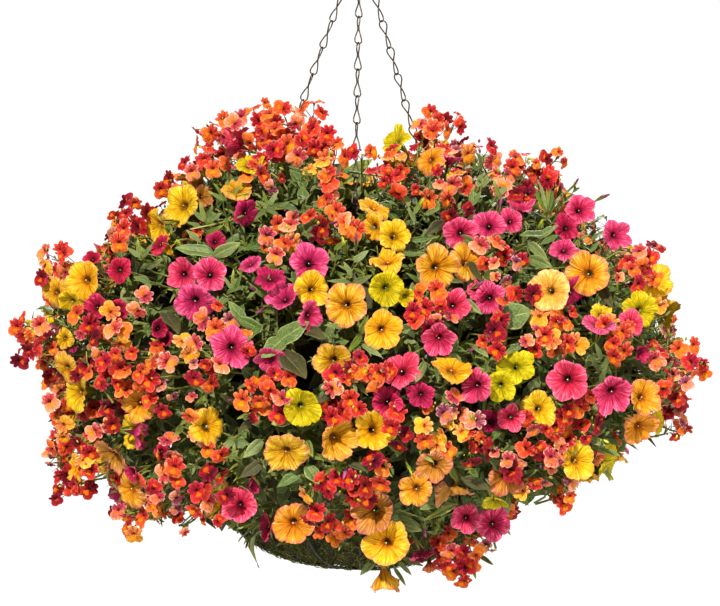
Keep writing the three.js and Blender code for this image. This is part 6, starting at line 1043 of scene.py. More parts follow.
def petunia_faces():
    Q, QU, T, TU = [], [], [], []
    start = np.concatenate([[0], np.cumsum(_N)])
    for i in range(len(RINGS) - 1):
        s0, n0, s1, n1 = RINGS[i][0], RINGS[i][3], RINGS[i + 1][0], RINGS[i + 1][3]
        a, b = start[i], start[i + 1]
        for j in range(n0):
            j2, v0, v1 = (j + 1) % n0, j / n0, (j + 1) / n0
            if n0 == n1:
                Q.append([a + j, a + j2, b + j2, b + j])
                QU.append([[s0, v0], [s0, v1], [s1, v1], [s1, v0]])
            else:                                    # twice as many points from here out
                p, q, r, vm = b + 2 * j, b + 2 * j + 1, b + (2 * j + 2) % n1, (v0 + v1) / 2
                T += [[a + j, q, p], [a + j, a + j2, q], [a + j2, r, q]]
                TU += [[[s0, v0], [s1, vm], [s1, v0]], [[s0, v0], [s0, v1], [s1, vm]], [[s0, v1], [s1, v1], [s1, vm]]]
    return np.array(Q), tile_scale(np.array(QU), PCOLS, PROWS), np.array(T), tile_scale(np.array(TU), PCOLS, PROWS)


def petunia(rng, opening, ruffle):
    """one flower, its face up +Z and its tube going down: five lobes joined along sunken folds"""
    th, f = P_TH, P_F
    bell = np.abs(np.sin(f * math.pi))
    w = np.clip((P_S - 0.5) / 0.5, 0, 1)
    w = w * w * (3 - 2 * w)
    rim = np.clip((P_S - 0.70) / 0.30, 0, 1) ** 1.4
    notch, sink = rng.uniform(0.12, 0.25), rng.uniform(2.6, 5.6)
    length = (1 + rng.uniform(-0.12, 0.08, 5))[P_LOBE]
    droop = rng.normal(1.2, 2.9, 5)[P_LOBE]
    curl = rng.uniform(-1.5, 3.4, 5)[P_LOBE]
    skew = rng.uniform(-0.10, 0.10, 5)[P_LOBE]
    fs = np.clip(f + skew * bell, 0, 1)
    Lf = 1 - notch * (1 - bell ** 0.5) + rng.uniform(0.02, 0.07) * (1.4 if ruffle < 1 else 0.5) * np.exp(-((fs - 0.5) / 0.10) ** 2)
    rad = P_R * (1 - w * (1 - Lf * (1 + (length - 1) * bell ** 0.7)))
    late = np.clip(P_S * 1.6 - 0.5, 0, 1)
    z = P_Z + (1 - opening) * 15.0 * (P_R / 24.0) ** 1.2 * late
    rad = rad * (1 - (1 - opening) * 0.42 * late)
    ph = rng.uniform(0, 2 * math.pi, 14)
    wave = 1.0 * np.sin(3 * th + ph[0]) + 1.1 * np.sin(6 * th + ph[1]) + 0.7 * np.sin(10 * th + ph[2]) + 0.5 * np.sin(16 * th + ph[3])
    crimp = 0.55 * np.sin(19 * th + ph[6]) + 0.55 * np.sin(23 * th + ph[7]) + 0.45 * np.sin(27 * th + ph[8])
    z = z + ruffle * (rng.uniform(0.5, 1.2) * w ** 1.5 * wave + rng.uniform(0.6, 1.3) * rim * crimp)
    z -= w ** 1.7 * droop * bell ** 0.6
    z -= np.clip((P_S - 0.84) / 0.16, 0, 1) ** 1.4 * curl * bell
    z -= sink * w * (1 - bell ** 0.5) * (1 - 0.35 * w)            # folds sink
    z += 1.5 * w * bell                                           # lobes swell
    z -= 1.1 * w * np.exp(-((f - 0.5) / 0.09) ** 2)               # and dip along the middle
    z += 0.35 * w * np.sin(25 * th + ph[9] + 3 * P_S)
    rad = rad * (1 + rng.uniform(0.0, 0.07) * w * np.sin(2 * th + ph[12]) + 0.02 * w * np.sin(6 * th + ph[4]) + ruffle * rim * (0.007 * np.sin(13 * th + ph[10]) + 0.009 * np.sin(23 * th + ph[11]) + rng.normal(size=len(th)) * 0.007))
    x, y = rad * np.cos(th), rad * np.sin(th)
    q = x * math.cos(ph[5]) + y * math.sin(ph[5])
    q2 = -x * math.sin(ph[5]) + y * math.cos(ph[5])
    z -= w * (rng.uniform(-0.10, 0.18) * q + rng.uniform(-0.004, 0.014) * q * q + rng.uniform(-0.010, 0.008) * q2 * q2)
    return np.stack([x, y, z], -1)


PET_Q, PET_QU, PET_T, PET_TU = petunia_faces()


def sepal_template():
    """five narrow sepals round the foot of the tube"""
    V, F, U = [], [], []
    for k in range(5):
        a = k / 5 * 2 * math.pi + 0.3
        d, s = np.array([math.cos(a), math.sin(a), 0]), np.array([-math.sin(a), math.cos(a), 0])
        rows = [(2.0, -27.5, 1.2), (3.3, -22.5, 1.7), (4.6, -17.5, 1.3), (6.0, -12.0, 0.15)]
        b = len(V)
        for r, z, w in rows:
            V += [d * r - s * w + [0, 0, z], d * (r + 0.35) + [0, 0, z], d * r + s * w + [0, 0, z]]
        for i in range(3):
            for j in range(2):
                F.append([b + 3 * i + j, b + 3 * i + j + 1, b + 3 * i + j + 4, b + 3 * i + j + 3])
                U.append([[i / 3, j / 2], [i / 3, (j + 1) / 2], [(i + 1) / 3, (j + 1) / 2], [(i + 1) / 3, j / 2]])
    return np.array(V), np.array(F), np.array(U)


def blob_template(rx, rz, nu=6, nv=4):
    V, F, U = [], [], []
    for i in range(nv + 1):
        t = i / nv * math.pi
        for j in range(nu):
            a = j / nu * 2 * math.pi
            V.append([rx * math.sin(t) * math.cos(a), rx * math.sin(t) * math.sin(a), -rz * math.cos(t)])
    for i in range(nv):
        for j in range(nu):
            j2 = (j + 1) % nu
            F.append([i * nu + j, i * nu + j2, (i + 1) * nu + j2, (i + 1) * nu + j])
            U.append([[i / nv, j / nu], [i / nv, (j + 1) / nu], [(i + 1) / nv, (j + 1) / nu], [(i + 1) / nv, j / nu]])
    return np.array(V), np.array(F), np.array(U)


SEPAL = sepal_template()
KNOB = blob_template(0.95, 0.85, 5, 3)

rng = np.random.default_rng(20260)
pet_bags = [Bag() for _ in CELLS]
pet = PETUNIAS
pp = np.array([p[:3] for p in pet], float)
pn = unit(np.array([p[3:6] for p in pet], float))
ps = np.array([p[6] for p in pet], float) / 48.0
shown = np.array([p[8] for p in pet])
ps *= np.where([p[7] in "YLAB" for p in pet], 1.05, 1.0)
# the ones round the back and on top stay behind the front outline
pp = np.where(shown[:, None] == 1, pp, draw_in(pp, FRONT_TOP, 34, 24))
pp[:, 1] = np.maximum(pp[:, 1], -366)
keep = (shown == 1) | (~outside(pp, FRONT_TOP, 20, 10) & chain_clear(pp, 30))
pet = [p for p, k in zip(pet, keep) if k]
pp, pn, ps, shown = pp[keep], pn[keep], ps[keep], shown[keep]
pk = np.array([PKINDS.index(p[7]) for p in pet])
# which cell of the planting each flower is sorted into
pc = cell_of(pp)
tint = rng.integers(0, PROWS, len(pet))
opening = rng.choice([1.0, 0.97, 0.92, 0.84, 0.74], len(pet), p=[0.4, 0.22, 0.18, 0.12, 0.08])
opening = np.where((ps < 0.52) & (rng.random(len(pet)) < 0.6), 0.62, opening)     # small ones are half open
opening = np.where((pp[:, 2] < -766) & (shown == 1), 0.35, opening)              # wilting under the basket
pn = unit(pn + rng.normal(size=pn.shape) * 0.13)
spin = rng.uniform(0, 2 * math.pi, len(pet))
RM = basis(pn, spin)
for i in range(len(pet)):
    V = petunia(rng, opening[i], 0.8 if PKINDS[pk[i]] in "KM" else 1.15) @ RM[i].T * ps[i] + pp[i]
    pet_bags[pc[i]].more(V[None], [(PET_Q, PET_QU), (PET_T, PET_TU)], tile_off([pk[i]], [tint[i]], PCOLS, PROWS), [pk[i]])
for c in range(len(CELLS)):
    i = np.where(pc == c)[0]
    if not len(i):
        continue
    off = tile_off(np.full(len(i), 7), tint[i], PCOLS, PROWS)
    V, F, U = SEPAL
    pet_bags[c].batch(place(V, RM[i], pp[i], np.maximum(ps[i], 0.7)), F, tile_scale(U, PCOLS, PROWS), off, np.full(len(i), iSTEM))
    V, F, U = KNOB
    pet_bags[c].batch(place(V, RM[i], pp[i] - pn[i] * (6.4 * ps[i])[:, None], ps[i]), F, tile_scale(U, PCOLS, PROWS), off, np.full(len(i), iSTIG))
    # style and stalk
    foot = pp[i] - pn[i] * (27.0 * np.maximum(ps[i], 0.7))[:, None]
    back = C + (foot - C) * 0.80
    down = np.array([0, 0, -1.0])
    ts = np.linspace(0, 1, 6)[None, :, None]
    c1 = foot - pn[i] * 16
    c2 = back * 0.6 + foot * 0.4 + rng.normal(size=(len(i), 3)) * 8
    c2[:, 1] += 22 * shown[i]
    back[:, 1] += 34 * shown[i]
    P = (1 - ts) ** 3 * foot[:, None] + 3 * ts * (1 - ts) ** 2 * c1[:, None] + 3 * ts ** 2 * (1 - ts) * c2[:, None] + ts ** 3 * back[:, None]
    V, F, U = tubes(P, np.array([1.5, 1.15, 1.1, 1.2, 1.3, 1.4]), 5)
    pet_bags[c].batch(V, F, tile_scale(U, PCOLS, PROWS), off, np.full(len(i), iSTEM))

# buds: slim purple or lime ones with a calyx, out of the shell
BUD = blob_template(2.6, 13.0, 6, 5)
BUD[0][:, 0:2] *= (1.0 - 0.35 * (BUD[0][:, 2:3] < 0))
bd = []
for x, y, z, nx, ny, nz, k in BUDS:
    bd.append((x, y, z, nx, ny, nz, k))
bp = np.array([b[:3] for b in bd], float)
bn = unit(np.array([b[3:6] for b in bd], float))
bk = np.array([iBUDP if b[6] == "p" else iBUDG for b in bd])
bc = cell_of(bp)
bs = rng.uniform(0.5, 0.85, len(bd))
RB = basis(bn, rng.uniform(0, 6.28, len(bd)))
for c in range(len(CELLS)):
    i = np.where(bc == c)[0]
    if not len(i):
        continue
    off = tile_off(np.full(len(i), 7), rng.integers(0, PROWS, len(i)), PCOLS, PROWS)
    V, F, U = BUD
    pet_bags[c].batch(place(V, RB[i], bp[i], bs[i]), F, tile_scale(U, PCOLS, PROWS), off, bk[i])
    V, F, U = SEPAL
    pet_bags[c].batch(place(V * np.array([0.8, 0.8, 0.9]) + np.array([0, 0, 12.5]), RB[i], bp[i], bs[i]), F, tile_scale(U, PCOLS, PROWS), off, np.full(len(i), iSTEM))
    foot = bp[i] - bn[i] * (12.0 * bs[i] - 1.0)[:, None]
    back = C + (foot - C) * 0.84
    ts = np.linspace(0, 1, 5)[None, :, None]
    P = foot[:, None] * (1 - ts) + back[:, None] * ts - bn[i][:, None] * (ts * (1 - ts) * 30)
    V, F, U = tubes(P, np.array([1.3, 1.0, 1.0, 1.1, 1.2]), 4)
    pet_bags[c].batch(V, F, tile_scale(U, PCOLS, PROWS), off, np.full(len(i), iSTEM))

for c, name in enumerate(CELLS):
    pet_bags[c].build(f"petunias_{name}", PMATS, [f"petunia_{name}"], "petunia_petals")

# ---------------------------------------------------------------- nemesia florets
EDGE = [(8, 7.2), (17, 9.7), (28, 10.7), (39, 9.9), (48, 7.9), (57, 10.0), (68, 11.0), (80, 10.3), (90, 8.3), (100, 10.3), (112, 11.0), (123, 10.0),
        (132, 7.9), (141, 9.9), (152, 10.7), (163, 9.7), (172, 7.2), (186, 7.4), (200, 9.4), (215, 11.0), (230, 11.8), (247, 11.6), (260, 10.5),
        (270, 9.3), (280, 10.5), (293, 11.6), (310, 11.8), (325, 11.0), (340, 9.4), (354, 7.4)]


def floret_template(seed):
    rng = np.random.default_rng(seed)
    A = np.radians([a for a, r in EDGE])
    Rm = np.array([r for a, r in EDGE])
    n = len(A)
    lobe_id = np.array([0] * 4 + [1] * 4 + [2] * 5 + [3] * 4 + [4] * 13)
    Rm = Rm * (1 + rng.uniform(-0.08, 0.08, 5)[lobe_id]) * rng.uniform(0.98, 1.02, n)
    low = -np.sin(A)                                         # 1 at the lower lip's middle
    sgn = np.clip(low, 0, 1)
    up = np.clip(-low, 0, 1)
    deg = np.degrees(A)
    notch = sum(np.exp(-((deg - q) / 7.0) ** 2) for q in (48, 90, 132)) + np.exp(-((deg - 270) / 8.0) ** 2)
    st = np.array([0.15, 0.56, 1.0])
    tilt_up, tilt_lo = rng.uniform(-3.2, 1.6), rng.uniform(-3.0, 1.0)
    lobe_z = rng.uniform(-0.9, 0.9, 5)[lobe_id]
    V = [np.array([0, -0.6, -4.4])]
    for k, s in enumerate(st):
        r = Rm * s if k == 2 else (Rm * 0.35 + 9.4 * 0.65) * s
        if k == 0:
            z = -1.4 + 1.9 * sgn ** 2
        if k == 1:
            z = 0.3 + 2.8 * np.clip((low - 0.72) / 0.28, 0, 1) - 0.9 * notch * up + 0.4 * lobe_z
        if k == 2:
            z = up * tilt_up + sgn * tilt_lo + 1.3 * lobe_z + rng.uniform(-0.8, 0.8, n) - 1.5 * notch
        for j in range(n):
            V.append(np.array([r[j] * math.cos(A[j]), r[j] * math.sin(A[j]), z[j]]))
    V = np.array(V)
    vv = ((A + math.pi / 2) % (2 * math.pi)) / (2 * math.pi)   # 0 in the middle of the lower lip
    T, TU, Q, QU = [], [], [], []
    us = [0.0, 0.15, 0.56, 1.0]
    for j in range(n):
        j2 = (j + 1) % n
        a, b = vv[j], vv[j2]
        if b < a:
            b += 1.0
        if b > 1.0 + 1e-6:      # crosses the seam
            a, b = a - 1.0, b - 1.0
            a = max(a, 0.0)
        T.append([0, 1 + j, 1 + j2])
        TU.append([[0, (a + b) / 2], [us[1], a], [us[1], b]])
        for k in range(2):
            o, o2 = 1 + k * n, 1 + (k + 1) * n
            Q.append([o + j, o2 + j, o2 + j2, o + j2])
            QU.append([[us[k + 1], a], [us[k + 2], a], [us[k + 2], b], [us[k + 1], b]])
    return V, np.array(Q), tile_scale(np.array(QU), NCOLS, NROWS), np.array(T), tile_scale(np.array(TU), NCOLS, NROWS)


FLORET_T = [floret_template(s) for s in range(40, 56)]
MIXES = {  # what else grows in a cluster of this tone
    "R": (["R", "O", "C", "S"], [0.55, 0.22, 0.15, 0.08]), "O": (["O", "R", "S", "Y"], [0.55, 0.25, 0.12, 0.08]),
    "C": (["C", "R", "S", "O"], [0.72, 0.22, 0.03, 0.03]), "S": (["S", "R", "O", "D"], [0.50, 0.22, 0.18, 0.10]),
    "D": (["D", "S", "C"], [0.60, 0.28, 0.12]), "Y": (["Y", "O", "S"], [0.60, 0.28, 0.12]),
}
fp, fn, fs_, fkd, fspin, fax = [], [], [], [], [], []
axes_a, axes_b = [], []
gbuds, gbn = [], []
for x, y, z, nx, ny, nz, r, k, sh in NEMESIAS:
    p, n = np.array([x, y, z], float), np.array([nx, ny, nz], float)
    if not sh:
        p = draw_in(p[None], FRONT_TOP, 20 + r, 10 + r)[0]
        if outside(p[None], FRONT_TOP, 14 + r * 0.5, 8)[0] or not chain_clear(p, 26):
            continue
    n = n / np.linalg.norm(n)
    cnt = int(np.clip(round((r / 10.2) ** 2 * 1.42 + 0.3), 2, 7)) if sh else int(np.clip(round((r / 10.2) ** 2 * 0.95 + 0.5), 2, 3))
    e1 = unit(np.cross(n, UP) + 1e-6)
    e2 = np.cross(n, e1)
    pts = []
    tries = 0
    while len(pts) < cnt and tries < 400:
        tries += 1
        rr, aa = r * 1.02 * math.sqrt(rng.random()), rng.uniform(0, 2 * math.pi)
        q = np.array([rr * math.cos(aa), rr * math.sin(aa)])
        if all(np.hypot(*(q - s)) > 16.0 - tries * 0.024 for s in pts):
            pts.append(q)
    base = p - n * (14 + r * 0.5)
    inner_pt = C + (base - C) * 0.86
    axes_a.append(base)
    axes_b.append(inner_pt)
    for q in pts:
        rel = q / max(r, 1)
        pos = p + e1 * q[0] + e2 * q[1] + n * (3.5 - 6.5 * (rel @ rel) + rng.uniform(-8, 8))
        face = n * 0.70 + (e1 * rel[0] + e2 * rel[1]) * 0.8 + rng.normal(size=3) * 0.36
        if sh:
            face = face + np.array([0, -0.35, 0.0])
        face /= np.linalg.norm(face)
        kinds, w = MIXES[k]
        fp.append(pos)
        fn.append(face)
        fs_.append(rng.choice([rng.uniform(0.9, 1.12), rng.uniform(0.6, 0.85)], p=[0.78, 0.22]) * (0.8 if k == "D" else 1.0))
        fkd.append(NKINDS.index(rng.choice(kinds, p=w)))
        fspin.append(rng.normal() * 0.55 if rng.random() < 0.5 else rng.uniform(-math.pi, math.pi))
        fax.append(base)
    if rng.random() < 0.75:
        for _ in range(rng.integers(2, 5)):
            gbuds.append(p + n * rng.uniform(-4, 5) + (e1 * rng.normal() + e2 * rng.normal()) * 4.0 + UP * rng.uniform(0, 6))
            gbn.append(unit(n + rng.normal(size=3) * 0.5 + UP * 0.5))
fp, fn, fs_, fkd, fspin, fax = map(np.array, (fp, fn, fs_, fkd, fspin, fax))
u_, w_ = seen(fp)
fok = ~((np.abs(u_ + 4.5) < 15) & (w_ > 99) & (w_ < 158) & (fp[:, 1] < -60))      # the front chain shows here
fp, fn, fs_, fkd, fspin, fax = (q[fok] for q in (fp, fn, fs_, fkd, fspin, fax))
fp[:, 1] = np.maximum(fp[:, 1], -372)
fc = cell_of(fp)
fvar = rng.integers(0, len(FLORET_T), len(fp))
ftint = rng.integers(0, NROWS, len(fp))
RF = basis(fn, fspin)
nem_bags = [Bag() for _ in CELLS]
for t, (V, Q, QU, T, TU) in enumerate(FLORET_T):
    for c in range(len(CELLS)):
        i = np.where((fvar == t) & (fc == c))[0]
        if len(i):
            nem_bags[c].more(place(V, RF[i], fp[i], fs_[i]), [(Q, QU), (T, TU)], tile_off(fkd[i], ftint[i], NCOLS, NROWS), fkd[i])
axes_a, axes_b = np.array(axes_a), np.array(axes_b)
gbuds, gbn = np.array(gbuds), np.array(gbn)
ac, gc = cell_of(axes_a), cell_of(gbuds)
GB = blob_template(1.25, 2.6, 4, 3)
for c in range(len(CELLS)):
    i = np.where(fc == c)[0]
    if len(i):       # pedicels
        a = fp[i] - fn[i] * 3.4
        m = (a + fax[i]) / 2 - fn[i] * 4
        V, F, U = tubes(np.stack([a, m, fax[i]], 1), np.array([0.55, 0.5, 0.7]), 3)
        nem_bags[c].batch(V, F, tile_scale(U, NCOLS, NROWS), tile_off(np.full(len(i), 7), ftint[i], NCOLS, NROWS), np.full(len(i), len(FLORET)))
    i = np.where(ac == c)[0]
    if len(i):
        m = (axes_a[i] + axes_b[i]) / 2 + rng.normal(size=(len(i), 3)) * 4
        V, F, U = tubes(np.stack([axes_a[i] + (axes_a[i] - axes_b[i]) * 0.25, axes_a[i], m, axes_b[i]], 1), np.array([0.6, 0.9, 1.1, 1.3]), 4)
        nem_bags[c].batch(V, F, tile_scale(U, NCOLS, NROWS), tile_off(np.full(len(i), 7), np.zeros(len(i)), NCOLS, NROWS), np.full(len(i), len(FLORET)))
    i = np.where(gc == c)[0]
    if len(i):
        V, F, U = GB
        nem_bags[c].batch(place(V, basis(gbn[i], np.zeros(len(i))), gbuds[i], rng.uniform(0.7, 1.3, len(i))), F, tile_scale(U, NCOLS, NROWS),
                          tile_off(np.full(len(i), 7), rng.integers(0, 3, len(i)), NCOLS, NROWS), np.where(rng.random(len(i)) < 0.5, len(FLORET) + 2, len(FLORET) + 1))
for c, name in enumerate(CELLS):
    nem_bags[c].build(f"nemesias_{name}", NMATS, [f"nemesia_{name}"], "nemesia_petals")


# ---------------------------------------------------------------- leaves
def leaf_template(width, fold, curl, rows=4, seed=0):
    """along +Y from 0 to 1, up +Z"""
    rng = np.random.default_rng(seed)
    t = np.linspace(0, 1, rows + 1)
    w = width * np.sin(math.pi * np.clip(t, 0.03, 0.995) ** 0.78) ** 0.85
    w[0] = width * 0.12
    w[-1] = 0.004
    V, F, U = [], [], []
    for i, s in enumerate(t):
        for j, side in enumerate((-1, 0, 1)):
            zz = fold * abs(side) * w[i] - curl * s * s + 0.02 * rng.normal() * (abs(side))
            V.append([side * w[i], s, zz])
    for i in range(rows):
        for j in range(2):
            a = 3 * i + j
            F.append([a, a + 1, a + 4, a + 3])
            U.append([[t[i], j / 2], [t[i], (j + 1) / 2], [t[i + 1], (j + 1) / 2], [t[i + 1], j / 2]])
    return np.array(V), np.array(F), tile_scale(np.array(U), LCOLS, LROWS)


LEAF_T = [leaf_template(0.27, 0.35, 0.30, seed=1), leaf_template(0.31, 0.25, 0.18, seed=2), leaf_template(0.24, 0.5, 0.42, seed=3),
          leaf_template(0.16, 0.5, 0.35, 3, seed=4), leaf_template(0.11, 0.6, 0.22, 3, seed=5), leaf_template(0.30, 0.3, 0.25, 2, seed=6)]


def frames_from(yax, zref):
    """columns x, y, z with y along yax and z as near zref as can be"""
    y = unit(yax)
    z = unit(zref - y * (zref * y).sum(-1, keepdims=True))
    x = np.cross(y, z)
    return np.stack([x, y, z], -1)


def sphere_points(n, seed, lo=-60, hi=89):
    r = np.random.default_rng(seed)
    out = np.zeros((0, 3))
    while len(out) < n:
        v = unit(r.normal(size=(n * 2, 3)))
        el = np.degrees(np.arcsin(v[:, 2]))
        # keep only directions between the lowest and highest elevation
        keep = (el > lo) & (el < hi)
        out = np.concatenate([out, v[keep]])
    return out[:n]


def even_points(n, seed, lo=-60, hi=89):
    k = np.arange(n) + 0.5
    z0, z1 = math.sin(math.radians(lo)), math.sin(math.radians(hi))
    z = z0 + (z1 - z0) * k / n
    a = math.pi * (1 + 5 ** 0.5) * k
    r = np.random.default_rng(seed)
    h = np.sqrt(1 - z * z)
    v = np.stack([h * np.cos(a), h * np.sin(a), z], -1)
    return unit(v + r.normal(size=v.shape) * 0.045)


leaf_bags = [Bag() for _ in CELLS]
to_eye = unit(CAM - pp)
BLOOM = np.concatenate([pp, pp, np.array([q[:3] for q in NEMESIAS], float)])
BLOOM_D = np.concatenate([pn, np.where(shown[:, None] == 1, to_eye, pn), unit(np.array([q[3:6] for q in NEMESIAS], float))])
BLOOM_R = np.concatenate([24 * ps * 0.9, 24 * ps * 0.94, np.array([q[6] for q in NEMESIAS]) * 0.8])
# large single leaves in view from the front: foot, tip, width, what sort
hf, ht = np.array([q[0:3] for q in LEAVES], float), np.array([q[3:6] for q in LEAVES], float)
hw, hk = np.array([q[6] for q in LEAVES], float), [q[7] for q in LEAVES]
hl = np.linalg.norm(ht - hf, axis=1)
for t_ in (0.3, 0.55, 0.8):
    BLOOM = np.concatenate([BLOOM, hf + (ht - hf) * t_])
    BLOOM_D = np.concatenate([BLOOM_D, unit(CAM - hf)])
    BLOOM_R = np.concatenate([BLOOM_R, np.where(hw > 7, hw * 0.42, 0.5)])


def off_blooms(p):
    """False for points that would stand in front of a flower's face"""
    ok = np.ones(len(p), bool)
    for a in range(0, len(p), 1000):
        v = p[a:a + 1000, None] - BLOOM[None]
        t = (v * BLOOM_D[None]).sum(-1)
        lat = np.linalg.norm(v - t[..., None] * BLOOM_D[None], axis=-1)
        ok[a:a + 1000] = ~((t > -1) & (t < 75) & (lat < BLOOM_R[None])).any(1)
    return ok




def add_leaves(pos, yax, zref, length, tmpl, mat, seed):
    r = np.random.default_rng(seed)
    R = frames_from(yax, zref)
    cells = cell_of(pos)
    col = np.array([{0: 0, 1: 1, 2: 2, 3: 3, 4: 3, 5: 3}[m] for m in mat])
    row = r.integers(0, LROWS, len(pos))
    for t in range(len(LEAF_T)):
        V, F, U = LEAF_T[t]
        for c in range(len(CELLS)):
            i = np.where((tmpl == t) & (cells == c))[0]
            if len(i):
                leaf_bags[c].batch(place(V, R[i], pos[i], length[i]), F, U, tile_off(col[i], row[i], LCOLS, LROWS), mat[i])


def shoots(n, seed, lo_depth, hi_depth, length, size, kinds, mat, per, lean=0.55, up=0.25, els=(-60, 89)):
    """leafy shoots: base deep in the ball, tip near its surface"""
    r = np.random.default_rng(seed)
    d = even_points(n, seed, *els)
    R = outer(d)
    dep = r.uniform(lo_depth, hi_depth, n)
    tip = C + d * (R - dep)[:, None]
    axis = unit(d + r.normal(size=(n, 3)) * lean * 0.6 + UP * up)
    L = r.uniform(0.75, 1.25, n) * length
    base = tip - axis * L[:, None]
    new = draw_in(tip, LEAF_TOP, 4, 6)
    new[:, 1] = np.maximum(new[:, 1], -374)
    base += new - tip
    tip = new
    ok = ~in_bowl(tip, 8) & chain_clear(tip, 6) & ~in_bowl(base, 2) & ~outside(tip, LEAF_TOP, -6, -6)
    d, tip, axis, L, base = d[ok], tip[ok], axis[ok], L[ok], base[ok]
    free = off_blooms(tip) & off_blooms(tip - axis * (L * 0.3)[:, None])
    d, tip, axis, L, base = d[free], tip[free], axis[free], L[free], base[free]
    n = len(d)
    sag = r.normal(size=(n, 3)) * 6
    pos, ya, zr, le, tm = [], [], [], [], []
    phase = r.uniform(0, 6.28, n)
    e1 = unit(np.cross(axis, UP + 1e-3))
    e2 = np.cross(axis, e1)
    for k in range(per):
        t = 0.22 + 0.78 * (k + 0.5) / per
        q = base + (tip - base) * t + sag * (t * (1 - t) * 4)
        ang = phase + k * 2.4
        side = e1 * np.cos(ang)[:, None] + e2 * np.sin(ang)[:, None]
        spread = 1.0 - 0.65 * t ** 3
        ya.append(unit(axis * (0.35 + 0.6 * t ** 2) + side * spread + r.normal(size=(n, 3)) * 0.12))
        zr.append(unit(axis * 0.6 + d * 0.5 + UP * 0.4))
        pos.append(q)
        le.append(size * (1.0 - 0.55 * t ** 1.5) * r.uniform(0.8, 1.2, n))
        tm.append(r.choice(kinds, n) if t < 0.8 else np.full(n, 3))
    pos, ya, zr, le, tm = map(np.concatenate, (pos, ya, zr, le, tm))
    mid, end = pos + ya * (le * 0.5)[:, None], pos + ya * le[:, None]
    ok = chain_clear(mid, 3) & ~in_bowl(mid, 3) & ~outside(end, LEAF_TOP, -9, -12) & ~hides_chain(mid) & ~hides_chain(end)
    ok &= off_blooms(mid) & off_blooms(end)
    # a shoot that has lost most of its leaves is left out
    full = ok.reshape(per, n).sum(0) >= 0.4 * per
    ts = np.linspace(0, 1, 4)[None, :, None]
    P = base[:, None] + (tip - base)[:, None] * ts * 0.94 + sag[:, None] * (ts * (1 - ts) * 4)
    for k in (1, 2, 3):
        full &= off_blooms(P[:, k]) & (off_blooms((P[:, k] + P[:, k - 1]) / 2) | (k == 1))
    ok &= np.tile(full, per)
    V, F, U = tubes(P, np.array([1.5, 1.3, 1.1, 0.7]), 3)
    cells = cell_of(tip)
    for c in range(len(CELLS)):
        i = np.where((cells == c) & full & ~hides_chain(P).any(1))[0]
        if len(i):
            leaf_bags[c].batch(V[i], F, tile_scale(U, LCOLS, LROWS), tile_off(np.full(len(i), 3), r.integers(0, LROWS, len(i)), LCOLS, LROWS), np.full(len(i), 4))
    add_leaves(pos[ok], ya[ok], zr[ok], le[ok], tm[ok], np.full(ok.sum(), mat), seed + 1)
    return tip, axis


# petunia shoots with broad leaves, nemesia shoots with narrow ones, then the dense inside
tipA, axA = shoots(620, 101, 4, 34, 70, 30, [0, 1, 2], 0, 8)
tipB, axB = shoots(900, 202, 2, 45, 58, 23, [3, 4, 4], 1, 10, lean=0.8)
tipD, axD = shoots(620, 252, 0, 30, 34, 18, [3, 4, 4], 0, 10, lean=0.7)
tipC, axC = shoots(260, 303, 38, 75, 60, 42, [0, 1], 0, 6, up=0.1)
# the leaves deep inside take the dark inner-leaf colour, which is painted shade
r = np.random.default_rng(404)
n = 2000
d = sphere_points(n, 405, -58, 89)
dep = r.uniform(62, 125, n)
pos = C + d * (outer(d) - dep)[:, None]
ya = unit(np.cross(d, r.normal(size=(n, 3))) + d * 0.2)
zr = unit(d + r.normal(size=(n, 3)) * 0.4)
u_, w_ = seen(pos)
way = (np.abs(u_ + 4.5) < np.where(pos[:, 1] < -90, 62, 34)) & (w_ > 66) & (w_ < 215)
ok = ~in_bowl(pos, 10) & chain_clear(pos, 10) & ~outside(pos, LEAF_TOP, 30, 20) & ~way
add_leaves(pos[ok], ya[ok], zr[ok], r.uniform(42, 66, n)[ok], np.full(ok.sum(), 5), np.full(ok.sum(), 2), 406)
n = 800
d = sphere_points(n, 407, -20, 89)
pos = C + d * r.uniform(60, 250, n)[:, None] * np.minimum(outer(d) / 390, 1)[:, None] + np.array([0, 0, 20.0])
ya = unit(r.normal(size=(n, 3)))
zr = unit(CAM - pos + r.normal(size=(n, 3)) * 900)
u_, w_ = seen(pos)
way = (np.abs(u_ + 4.5) < np.where(pos[:, 1] < -90, 78, 46)) & (w_ > 60) & (w_ < 225)
ok = ~in_bowl(pos, 10) & chain_clear(pos, 24) & ~outside(pos, LEAF_TOP, 50, 20) & ~way
add_leaves(pos[ok], ya[ok], zr[ok], r.uniform(60, 84, n)[ok], np.full(ok.sum(), 5), np.full(ok.sum(), 2), 408)


